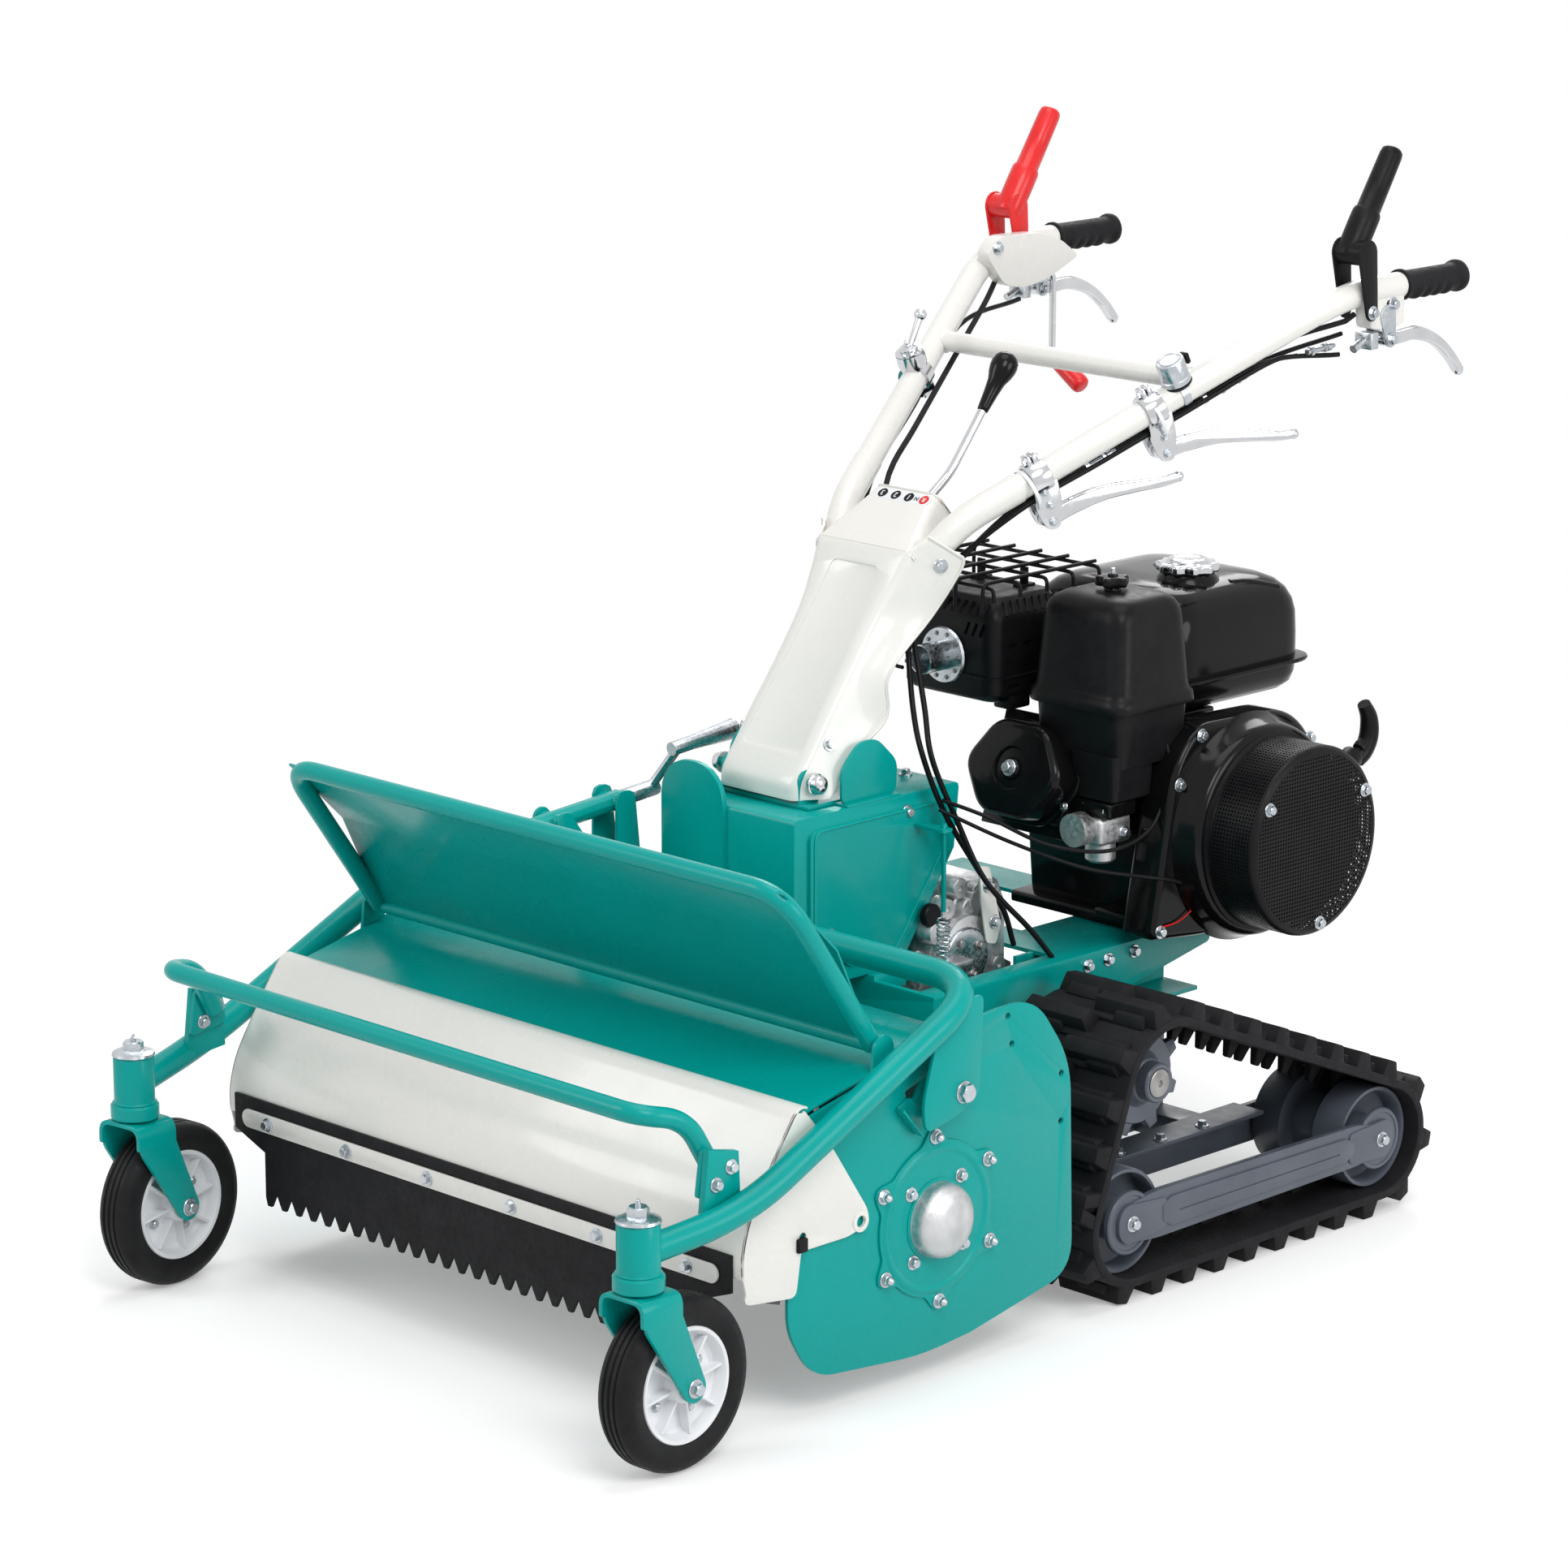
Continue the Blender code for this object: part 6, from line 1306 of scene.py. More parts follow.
# %% Brake levers
for label, side in SIDES:
    line = [(0, 0), (0.024, -0.001), (0.06, 0.0), (0.098, -0.012), (0.128, -0.034), (0.148, -0.056)]
    lever = squeeze_lever(line, [0.0074, 0.0074, 0.007, 0.0056, 0.0046, 0.0042], 0.015, 0.0062,
        0.0086)
    put(lever, Matrix.Translation((side * GRIP_X, *BRAKE)))
    name = "brake_lever_" + label
    close(lever, name + "_cast", body_of[name], "chrome", name, smooth=40)
print("brake levers: 2")

# %% [markdown]
# The two side levers turn in cheeks that hang from split clamps on the left tube. Ring and ears
# are modelled along the tube, the cheeks upright, and each lever along its own blade.

# %% Side levers and their clamps
LEVER_DROP = Vector((0.0045, 0.016, -0.052))
clamps, clamp_bolts = [], []
across = AHEAD.cross(Vector((0, 0, 1))).normalized()
for name, share, tilt in (("side_lever_lower", 0.19, 12), ("side_lever_upper", 0.52, 22)):
    centre = A.lerp(B, share)
    pivot = centre + LEVER_DROP
    direction = Matrix.Rotation(math.radians(-tilt), 3, across) @ AHEAD
    up = across.cross(direction).normalized()
    place = framed(pivot, across, direction, up)
    line = [(0, 0), (0.03, 0.007), (0.072, 0.01), (0.115, 0.005), (0.15, -0.001), (0.172, -0.001)]
    lever = squeeze_lever(line, [0.008, 0.0088, 0.008, 0.0062, 0.0046, 0.0044], 0.0135, 0.0064,
        0.0088)
    close(put(lever, place), name + "_cast", body_of[name], "chrome", name, smooth=40)
    ring = turned([(TUBE + 0.0001, -0.0125), (TUBE + 0.004, -0.0125), (TUBE + 0.0048, -0.0105),
        (TUBE + 0.0048, 0.0105), (TUBE + 0.004, 0.0125), (TUBE + 0.0001, 0.0125),
        (TUBE + 0.0001, -0.0125)], steps=48)
    up = across.cross(AHEAD).normalized()
    along = Matrix((across, up, -AHEAD)).transposed().to_4x4()
    at_tube = Matrix.Translation(centre) @ along
    clamps.append(put(ring, at_tube))
    for face in (1, -1):
        ear = soft_block(-0.009, 0.009, TUBE + 0.001, TUBE + 0.013, face * 0.001, face * 0.0062,
            0.0012)
        clamps.append(put(ear, at_tube))
    top = centre + up * (TUBE + 0.0085) - AHEAD * 0.0062
    clamp_bolts.append((tuple(top + across * 0.004), tuple(-AHEAD)))
    clamp_bolts.append((tuple(top + across * 0.004 + AHEAD * 0.0124), tuple(AHEAD)))
    level = Vector((AHEAD.x, AHEAD.y, 0)).normalized()
    square = level.cross(Vector((0, 0, 1)))
    stand = framed(pivot, square, level, Vector((0, 0, 1)))
    for offset in (-0.014, 0.011):
        cheek = rounded([(-0.026, 0.048), (0.004, 0.054), (0.012, 0.02), (0.01, -0.008),
            (-0.006, -0.01), (-0.02, 0.01)], [0.008, 0.006, 0.01, 0.008, 0.008, 0.012], 5)
        plate = cut_plate(cheek, offset, offset + 0.003, 0.0007)
        clamps.append(put(plate, stand))
    for face in (1, -1):
        out = tuple(stand.to_3x3() @ Vector((face, 0, 0)))
        for y, z in ((0.0, 0.0), (-0.012, 0.036), (-0.004, 0.02)):
            clamp_bolts.append((tuple(stand @ Vector((face * 0.0142, y, z))), out))
close(clamps, "side_lever_clamps", handle_body, "chrome", smooth=40)
bolt_set("side_lever_clamp_bolts", handle_body, BOLT, clamp_bolts, twist=23, size=0.62)
print("side lever clamp bolts:", len(clamp_bolts))

# %% [markdown]
# ## Small controls
# The gear lever is a bent rod with a pear-shaped knob. Knobs and sleeves are round along a straight
# line and swell on the way, so one helper takes the radius at shares of the length.

# %% Gear lever
def swelling(start, end, shape):
    """A round sleeve or knob from start to end: (share of the length, radius) rows."""
    shares, radii = zip(*shape)
    return bent([start.lerp(end, share) for share in shares], 1.0, 32, taper=radii)


rod = bent(eased([(0.022, 0.05, 0.806), (0.024, 0.064, 0.85), (0.026, 0.092, 0.88),
    (0.028, 0.1245, 0.9035), (0.03, 0.18, 0.976)], 0.026, 8), 0.0052, 20)
eye = turned([(0.0052, -0.056), (0.01, -0.056), (0.01, -0.044), (0.0052, -0.044), (0.0052, -0.056)],
    "y", (0.022, 0, 0.8), 28)
close([rod, eye], "gear_lever_rod", body_of["gear_lever"], "chrome", smooth=40)
start, end = Vector((0.03, 0.1765, 0.9715)), Vector((0.03, 0.2235, 1.034))
shape = [(0.0, 0.0056), (0.01, 0.0064), (0.05, 0.0069), (0.3, 0.0086), (0.5, 0.0106),
    (0.56, 0.0121), (0.63, 0.0142), (0.72, 0.0159), (0.8, 0.0163), (0.88, 0.0152), (0.94, 0.0124),
    (0.98, 0.0082), (1.0, 0.003)]
close(swelling(start, end, shape), "gear_lever_knob", body_of["gear_lever"], "gloss", "gear_lever",
    smooth=50)
print("gear knob:", round((end - start).length, 3), "m long")

# %% [markdown]
# The stop switch is a plated can with a black base, held to the left tube by a strap. It is
# modelled upright on the tube's middle and then turned to stand square to the tube.

# %% Stop switch
spot = A.lerp(B, 0.605)
on_tube = facing(spot, Vector((0, -0.4613, 0.8872)).normalized())
can = turned([(0.006, 0.0148), (0.0172, 0.0148), (0.018, 0.0156), (0.018, 0.0215), (0.0172, 0.0222),
    (0.0172, 0.043), (0.0164, 0.0446), (0.0148, 0.0452), (0.014, 0.0446), (0, 0.0446), (0, 0.0148),
    (0.006, 0.0148)], steps=48)
close(put(can, on_tube), "stop_switch_can", body_of["stop_switch"], "zinc", "stop_switch",
    smooth=35)
base = turned([(0, 0.01), (0.016, 0.01), (0.0186, 0.013), (0.0186, 0.015), (0, 0.015)], steps=40)
button = soft_block(-0.006, 0.006, 0.0215, 0.0275, 0.025, 0.039, 0.002, 3)
post = bent([(0, 0.018, 0.03), (0, 0.0225, 0.031)], 0.003, 12)
close(put([base, button, post], on_tube), "stop_switch_base", handle_body, "black", smooth=35)
strap = put(round_ring(TUBE + 0.0001, TUBE + 0.0016, -0.005, 0.005, steps=40), facing(spot, -AHEAD))
hanger = soft_block(-0.018, -0.0164, -0.004, 0.004, -0.016, 0.026, 0.0005)
spread = put([hanger, bent([(-0.017, 0, -0.015), (-0.017, 0, -0.027)], 0.0022, 10)], on_tube)
close([strap, spread], "stop_switch_strap", handle_body, "zinc", smooth=35)
close(put(round_bar(0.0112, 0.044, 0.0456, steps=36), on_tube), "stop_switch_top",
    body_of["stop_switch"], "white")
print("stop switch height:", round(spot.z, 3))

# %% [markdown]
# The throttle is a dial on a post that is clamped to the right tube. Its short arm ends in a knob,
# and a domed nut holds it down.

# %% Throttle
centre = flipped(A.lerp(B, 0.5), -1)
axis = Vector((0, -0.012, 0.03))
normal = axis.normalized()
on_tube = facing(centre, normal)
ring = turned([(TUBE + 0.0001, -0.0095), (TUBE + 0.0042, -0.0095), (TUBE + 0.0042, 0.0095),
    (TUBE + 0.0001, 0.0095), (TUBE + 0.0001, -0.0095)], steps=40)
seat_post = turned([(0, 0.012), (0.0165, 0.012), (0.018, 0.018), (0.018, axis.length),
    (0, axis.length)], steps=40)
put(ring, facing(centre, flipped(AHEAD, -1)))
put(seat_post, on_tube)
tabs = []
for x in (0.012, -0.012):
    tabs.append(put(soft_block(x - 0.004, x + 0.004, -0.01, 0.01, -0.024, 0.01, 0.001), on_tube))
close([ring, seat_post] + tabs, "throttle_clamp", handle_body, "chrome", smooth=40)
hub = centre + axis + normal * 0.0003
dial = turned([(0, 0), (0.0172, 0), (0.0176, 0.0008), (0.0176, 0.0026), (0.012, 0.0034),
    (0.012, 0.0068), (0.0105, 0.0076), (0, 0.0076)], steps=40)
put(dial, facing(hub, normal))
tip = hub + normal * 0.004 + Vector((0, 0.02, 0.04))
arm = bent([hub + normal * 0.0052, hub.lerp(tip, 0.25) + normal * 0.003, tip], 0.0042, 16,
    taper=[0.9, 0.9, 1.1])
nut = set_at(DOME, tuple(hub + normal * 0.007), tuple(normal), 10, 0.8)
close([dial, arm, nut, knob(tuple(tip), 0.0078)], "throttle_lever_dial", body_of["throttle_lever"],
      "chrome", "throttle_lever", smooth=40)
print("throttle arm:", round((tip - hub).length, 3), "m long")

# %% [markdown]
# The turn lever hangs from the right housing: a bent chromed rod with a red sleeve on its end.

# %% Turn lever
pivot = Vector((-GRIP_X + 0.0123, 0.58, 1.072))
start = pivot + Vector((0.018, 0.026, -0.119))
end = start + Vector((0.052, 0, -0.033))
rod = bent(eased([pivot, pivot + Vector((0.012, 0, 0)), pivot + Vector((0.017, 0.026, -0.016)),
    pivot + Vector((0.017, 0.026, -0.114)), start.lerp(end, 0.9)], 0.007, 6), 0.0044, 20)
close(rod, "turn_lever_rod", body_of["turn_lever"], "chrome", smooth=40)
shape = [(-0.02, 0.007), (0.0, 0.0092), (0.06, 0.01), (0.5, 0.0114), (0.88, 0.0122), (0.95, 0.0114),
    (0.99, 0.009), (1.0, 0.005)]
close(swelling(start, end, shape), "turn_lever_sleeve", body_of["turn_lever"], "red", "turn_lever",
    smooth=50)
print("turn lever sleeve:", round((end - start).length, 3), "m long")

# %% [markdown]
# ## Side plates and drum bearings
# Each side plate carries the drum on a pressed flange with six lobes. The flange has a raised
# ring, four bolts round the bearing, six domed nuts and a spun cap. The right side is the left
# one's mirror image.

# %% Side plates, flanges and caps
DRUM = (-0.309, 0.185)
SIDE_IN, SIDE_OUT = 0.418, 0.4225
MIRROR = Matrix.Diagonal((-1, 1, 1, 1))
LOBE_TURN, LOBE_REACH, LOBE_WAVE = 32, 0.089, 0.0175


def both_sides(made, name, bodies, slot, replaced=None, smooth=30):
    """Close a left piece and its mirror image as name_left and name_right."""
    made = one_piece(made)
    twin = copied(made, MIRROR)
    for piece, end in ((made, "_left"), (twin, "_right")):
        body = bodies + end if bodies + end in BODIES else bodies
        close(piece, name + end, body, slot, *([replaced + end] if replaced else []), smooth=smooth)


def through(y, z):
    """A bolt hole through the side plate."""
    return round_bar(0.004, SIDE_IN - 0.01, SIDE_OUT + 0.01, "x", (0, y, z), 20)


plate_line = rounded([
    (-0.225, 0.404), (-0.15, 0.404), (-0.09, 0.32), (-0.083, 0.07), (-0.25, 0.038), (-0.33, 0.031),
    (-0.5, 0.048), (-0.536, 0.11), (-0.536, 0.335), (-0.5, 0.345),
], [0.03, 0.06, 0.04, 0.04, 0.0, 0.06, 0.05, 0.02, 0.01, 0.03], 8)
plate = cut_out(plate_line, SIDE_IN, SIDE_OUT)
plate = carved(plate, [cut_out(link((-0.39, 0.35), (-0.39, 0.396), 0.02, 0.015), SIDE_IN,
    SIDE_OUT)], "UNION")
holes = [through(y, z) for y, z in ((-0.194, 0.3916), (-0.187, 0.3584), (-0.105, 0.307),
    (-0.105, 0.251))]
slit = cut_out(rounded([(-0.358, 0.34), (-0.33, 0.349), (-0.341, 0.33), (-0.352, 0.326)], 0.003, 3),
    SIDE_IN - 0.01, SIDE_OUT + 0.01)
plate = bevelled(carved(plate, holes + [slit]), 0.001)
lobes = []
for i in range(144):
    angle = math.radians(2.5 * i)
    reach = LOBE_REACH + LOBE_WAVE * max(0, math.cos(6 * (angle - math.radians(LOBE_TURN)))) ** 2
    lobes.append((DRUM[0] + reach * math.cos(angle), DRUM[1] + reach * math.sin(angle)))
flange = cut_plate(lobes, SIDE_OUT - 0.0005, SIDE_OUT + 0.0032, 0.0012, segments=3, angle=50)
face = SIDE_OUT + 0.0032
roll = turned([(0.07, face - 0.001), (0.0745, face), (0.0775, face + 0.0018), (0.08, face + 0.0024),
    (0.0825, face + 0.0018), (0.0855, face), (0.087, face - 0.001), (0.07, face - 0.001)], "x",
    (0, *DRUM), 72)
seat_ring = turned([(0.047, face - 0.001), (0.047, face + 0.001), (0.0455, face + 0.0014),
    (0.043, face + 0.0014), (0.043, face - 0.001), (0.047, face - 0.001)], "x", (0, *DRUM), 60)
web = [(-0.374, 0.3245), (-0.352, 0.3335), (-0.322, 0.3035), (-0.342, 0.2895)]
bracket = [cut_plate(rounded(web, 0.004, 3), SIDE_OUT - 0.0005, SIDE_OUT + 0.0028, 0.0007),
    cut_plate(band([(-0.371, 0.3255), (-0.34, 0.2905)], -0.003), SIDE_OUT, SIDE_OUT + 0.013,
    0.0007), cut_plate(band([(-0.336, 0.32), (-0.322, 0.3045)], -0.003), SIDE_OUT, SIDE_OUT + 0.011,
    0.0007)]
both_sides([plate, flange, roll, seat_ring] + bracket, "side_plate_flanged", "machine", "teal",
           "side_plate", smooth=34)
print("flange points:", len(lobes))

# %% [markdown]
# The bearing's cap is spun from thin sheet, so its profile is a dome with a small rim. Domed
# nuts sit on the six lobes and plain bolts round the bearing.

# %% Drum bearing caps, nuts and hood stops
cap = turned([(0.0425, face), (0.0432, face + 0.001), (0.0425, face + 0.0022),
    (0.0425, face + 0.009), (0.0418, face + 0.0135), (0.0395, face + 0.0185),
    (0.035, face + 0.0228), (0.0285, face + 0.0262), (0.02, face + 0.0284), (0.0105, face + 0.0294),
    (0.009, face + 0.0298), (0, face + 0.03)], "x", (0, *DRUM), 72)
both_sides(cap, "drum_bearing_cap", "machine", "alloy", smooth=40)
nuts = [set_at(DOME, (face, y, z), (1, 0, 0), 23 * i) for i,
    (y, z) in enumerate(around(DRUM, 0.0955, LOBE_TURN, 6))]
nuts += [set_at(BOLT, (face, y, z), (1, 0, 0), 31 * i) for i,
    (y, z) in enumerate(around(DRUM, 0.056, 48, 4))]
nuts.append(set_at(BOLT, (SIDE_OUT + 0.011, -0.3285, 0.311), (1, 0, 0), 10, 0.95))
both_sides(nuts, "side_plate_nuts", "machine", "zinc")
stop = soft_block(SIDE_OUT, SIDE_OUT + 0.0095, -0.528, -0.514, 0.198, 0.214, 0.002)
both_sides(stop, "hood_stop_block", "machine", "rubber")
print("nuts on each side:", len(around(DRUM, 1, 0, 6)) + 5)

# %% [markdown]
# ## Crawlers
# A belt runs round the sprocket and two rollers. Its inner line is three arcs joined by three
# straights, and lugs and guide teeth stand on it, one set to each pitch. The lugs stand in two
# rows, half a pitch apart, and the guide teeth in two rows that pass on both sides of the disc.

# %% The belt's line and its lugs
TRACK_IN, TRACK_OUT, BELT, LUG, GUIDE = 0.238, 0.418, 0.011, 0.02, 0.02
TRACK_MIDDLE = (TRACK_IN + TRACK_OUT) / 2
ROLLER_Z = 0.0944
ROLLERS = (0.032, 0.482)
SPROCKET = (0.095, 0.245)
WHEELS = [((ROLLERS[0], ROLLER_Z), 0.0634), ((ROLLERS[1], ROLLER_Z), 0.0634), (SPROCKET, 0.0714)]
PITCH = 0.05498


def belt_line(step):
    """Stations at an even step along the belt's inner line: point and outward direction."""
    turns, made = [], []
    for (a, ra), (b, rb) in zip(WHEELS, WHEELS[1:] + WHEELS[:1]):
        across = Vector(b) - Vector(a)
        turns.append(math.atan2(across.y, across.x) - math.pi / 2
            + math.asin((ra - rb) / across.length))
    fine = []
    for i, (centre, radius) in enumerate(WHEELS):
        sweep = (turns[i] - turns[i - 1]) % (2 * math.pi)
        for j in range(61):
            out = Vector((math.cos(turns[i - 1] + sweep * j / 60),
                math.sin(turns[i - 1] + sweep * j / 60)))
            fine.append((Vector(centre) + out * radius, out))
    fine.append(fine[0])
    length = sum((b[0] - a[0]).length for a, b in zip(fine, fine[1:]))
    count = round(length / step)
    place, passed = 0, 0.0
    for i in range(count):
        wanted = length * i / count
        while passed + (fine[place + 1][0] - fine[place][0]).length < wanted:
            passed += (fine[place + 1][0] - fine[place][0]).length
            place += 1
        share = (wanted - passed) / max(0.000001, (fine[place + 1][0] - fine[place][0]).length)
        made.append((fine[place][0].lerp(fine[place + 1][0], share),
            fine[place][1].lerp(fine[place + 1][1], share).normalized()))
    return made


def wedge(x0, x1, length, height, lean, draw, width=0.0018):
    """A moulded block on the XY plane whose top is shorter by lean and narrower by draw."""
    made = block(x0, x1, -length / 2, length / 2, -0.002, height)
    middle = (x0 + x1) / 2
    for corner in made.data.vertices:
        if corner.co.z > 0:
            corner.co.y *= lean
            corner.co.x = middle + (corner.co.x - middle) * draw
    return bevelled(made, width)


def along_belt(template, stations, lift):
    made = []
    for point, out in stations:
        foot = point + out * lift
        turn = Matrix(((1, 0, 0, 0), (0, out.y, out.x, foot.x), (0, -out.x, out.y, foot.y),
            (0, 0, 0, 1)))
        made.append(copied(template, turn))
    bpy.data.objects.remove(template)
    return made



print("line points:", len(belt_line(0.008)))

# %% [markdown]
# The belt's band is the outer line less the inner one. A lug is modelled once, drawn in towards
# its top, and copied to every station, each copy turned to stand square to the belt.

# %% Belts
stations = belt_line(PITCH / 4)
outer_line = [tuple(point + out * BELT) for point, out in belt_line(0.008)]
inner_line = [tuple(point) for point, out in belt_line(0.008)]
belt = carved(cut_out(outer_line, TRACK_IN, TRACK_OUT), [cut_out(inner_line, TRACK_IN - 0.01,
    TRACK_OUT + 0.01)])
parts = [bevelled(belt, 0.0022, 2, 50)]
parts += along_belt(wedge(TRACK_MIDDLE - 0.008, TRACK_OUT - 0.001, 0.03, LUG, 0.58, 0.93),
    stations[0::4], BELT)
parts += along_belt(wedge(TRACK_IN + 0.001, TRACK_MIDDLE + 0.008, 0.03, LUG, 0.58, 0.93),
    stations[2::4], BELT)
parts += along_belt(wedge(TRACK_MIDDLE + 0.026, TRACK_OUT - 0.016, 0.044, 0.011, 0.7, 0.86),
    stations[0::4], BELT)
parts += along_belt(wedge(TRACK_IN + 0.016, TRACK_MIDDLE - 0.026, 0.044, 0.011, 0.7, 0.86),
    stations[2::4], BELT)
parts += along_belt(wedge(TRACK_MIDDLE - 0.03, TRACK_MIDDLE + 0.03, 0.012, 0.005, 0.7, 0.9),
    stations[1::2], BELT)
tooth = wedge(0.0065, 0.0195, 0.02, GUIDE, 0.45, 0.62)
teeth = joined([tooth, copied(tooth, MIRROR)])
put(teeth, Matrix.Translation((TRACK_MIDDLE, 0, 0)) @ Matrix.Rotation(math.pi, 4, "Y"))
parts += along_belt(teeth, stations[0::4], 0.0)
both_sides(parts, "track_belt_lugged", "machine", "rubber", "track_belt", smooth=35)
print("belt stations:", len(stations))

# %% [markdown]
# The rollers have an open rim outside and a waist for the guide teeth, so they are spun from one
# profile that goes up one side and down the other.

# %% Rollers
half = 0.07
wheel_line = [(0.0118, -half), (0.024, -half), (0.026, -half + 0.012), (0.052, -half + 0.014),
    (0.056, -half + 0.003), (0.061, -half + 0.002), (0.062, -half + 0.004), (0.062, -0.026),
    (0.04, -0.0235), (0.04, 0.0235), (0.062, 0.026), (0.062, half - 0.004), (0.0612, half - 0.0015),
    (0.0575, half - 0.0015), (0.056, half - 0.004), (0.0545, half - 0.024), (0.026, half - 0.028),
    (0.024, half), (0.0118, half), (0.0118, -half)]
for end, y in zip(("front", "rear"), ROLLERS):
    wheel = turned(wheel_line, "x", (TRACK_MIDDLE, y, ROLLER_Z), 64)
    both_sides(wheel, end + "_roller_rimmed", end + "_roller", "grey", end + "_roller")
print("roller faces:", len(wheel.data.polygons))

# %% [markdown]
# The outer arm is a folded bar with a raised panel and a round cover at each end. Inside the belt
# an inner bar and cross pieces tie it to the rails, and the axles run between the two.

# %% Roller arms
ARM = 0.4
low_y, high_y = ROLLERS
bar = rounded([(low_y, 0.07), (low_y + 0.046, 0.066), (high_y - 0.046, 0.069), (high_y, 0.074),
    (high_y, 0.114), (high_y - 0.046, 0.121), (low_y + 0.046, 0.124), (low_y, 0.118)], 0.006, 3)
panel = rounded([(low_y + 0.052, 0.085), (low_y + 0.068, 0.077), (high_y - 0.068, 0.08),
    (high_y - 0.052, 0.087), (high_y - 0.052, 0.103), (high_y - 0.068, 0.11),
    (low_y + 0.068, 0.113), (low_y + 0.052, 0.105)], 0.004, 3)
groove = rounded([(low_y + 0.08, 0.0925), (high_y - 0.08, 0.0925), (high_y - 0.08, 0.094),
    (low_y + 0.08, 0.0945)], 0.0003, 1)
parts = [cut_plate(bar, ARM, ARM + 0.0095, 0.0022, segments=3),
    carved(cut_plate(panel, ARM + 0.009, ARM + 0.013, 0.0016),
    [cut_out(groove, ARM + 0.0118, ARM + 0.02)])]
for y in ROLLERS:
    heading = 1 if y == low_y else -1
    cover = turned([(0, ARM), (0.037, ARM), (0.038, ARM + 0.001), (0.038, ARM + 0.0065),
        (0.0365, ARM + 0.008), (0.033, ARM + 0.008), (0.0322, ARM + 0.0065), (0, ARM + 0.0065)],
        "x", (0, y, ROLLER_Z), 56)
    end_plate = rounded([(y - 0.023 * heading, ROLLER_Z - 0.011),
        (y - 0.01 * heading, ROLLER_Z - 0.024), (y + 0.06 * heading, ROLLER_Z - 0.019),
        (y + 0.06 * heading, ROLLER_Z + 0.019), (y - 0.01 * heading, ROLLER_Z + 0.024),
        (y - 0.023 * heading, ROLLER_Z + 0.011)], 0.008, 4)
    tongue = cut_plate(end_plate, ARM + 0.006, ARM + 0.012, 0.0012)
    axle = round_bar(0.011, 0.248, ARM + 0.002, "x", (0, y, ROLLER_Z), 24)
    parts += [cover, tongue, axle]
parts.append(cut_plate(rounded([(low_y, 0.07), (high_y, 0.07), (high_y, 0.118), (low_y, 0.118)],
    0.01, 3), 0.248, 0.256, 0.001))
for y in (0.15, 0.34):
    parts.append(soft_block(0.155, 0.252, y - 0.02, y + 0.02, 0.084, 0.114, 0.0012))
parts.append(soft_block(0.15, 0.16, 0.138, 0.372, 0.084, 0.2597, 0.0012))
parts.append(soft_block(0.248, 0.296, 0.12, 0.4, 0.118, 0.123, 0.001))
both_sides(parts, "roller_arm_folded", "machine", "grey", "roller_arm")
heads = [set_at(BOLT, (ARM + 0.0118, y, ROLLER_Z), (1, 0, 0), 14, 1.15) for y in ROLLERS]
heads += [set_at(BOLT, (0.284, y, 0.123), (0, 0, 1), 20) for y in (0.15, 0.225, 0.3)]
both_sides(heads, "roller_arm_bolts", "machine", "zinc")
print("arm bolts on each side:", len(heads))

# %% [markdown]
# The drive shaft ends in a hub with a dished disc and a turned steel end, all spun round the
# sprocket's axis.

# %% Sprocket hubs and shaft ends
hub = turned([(0, 0.36), (0.0235, 0.36), (0.0235, 0.392), (0.022, 0.394), (0.018, 0.394),
    (0.0172, 0.3925), (0, 0.3925)], "x", (0, *SPROCKET), 40)
dish = turned([(0.022, 0.361), (0.053, 0.361), (0.0545, 0.363), (0.053, 0.3645), (0.034, 0.3645),
    (0.031, 0.367), (0.026, 0.376), (0.022, 0.378), (0.022, 0.361)], "x", (0, *SPROCKET), 56)
both_sides([hub, dish], "sprocket_hub", "sprocket", "grey")
plug = turned([(0, 0.3915), (0.017, 0.3915), (0.017, 0.3945), (0.0155, 0.3955), (0.004, 0.3955),
    (0.003, 0.393), (0, 0.393)], "x", (0, *SPROCKET), 32)
both_sides(plug, "sprocket_shaft_end", "sprocket", "steel")
print("sprocket axis:", SPROCKET)

# %% [markdown]
# ## Engine
# A single-cylinder engine stands across the rails. Tank, air cleaner and muffler are moulded or
# pressed shells, so each is a stack of rounded rings with a skin between them.

# %% Stacks of rounded rings
def stacked(rings):
    """A closed body through rings with equally many points."""
    width = len(rings[0]) + 1
    deselect()
    bpy.ops.mesh.primitive_grid_add(x_subdivisions=width - 1, y_subdivisions=len(rings) - 1)
    piece = bpy.context.object
    for i, ring in enumerate(rings):
        for j, place in enumerate(list(ring) + [ring[0]]):
            piece.data.vertices[i * width + j].co = place
    bpy.ops.object.mode_set(mode="EDIT")
    bpy.ops.mesh.select_all(action="SELECT")
    bpy.ops.mesh.remove_doubles(threshold=0.000005)
    bpy.ops.mesh.fill_holes(sides=0)
    bpy.ops.mesh.select_all(action="SELECT")
    bpy.ops.mesh.normals_make_consistent(inside=False)
    bpy.ops.object.mode_set(mode="OBJECT")
    return piece


def level(sides, inset, radius, height):
    """A rounded rectangle (x0, x1, y0, y1), drawn in by an inset, as a ring at a height."""
    x0, x1, y0, y1 = sides
    corners = [(x0 + inset, y0 + inset), (x1 - inset, y0 + inset), (x1 - inset, y1 - inset),
        (x0 + inset, y1 - inset)]
    return [(x, y, height) for x, y in rounded(corners, radius, 7)]


def moulded(sides, *rows):
    """A body of rounded rectangles, one to each (inset, corner radius, height) row."""
    return stacked([level(sides, *row) for row in rows])


print("points in a ring:", len(level((0, 1, 0, 1), 0, 0.1, 0)))

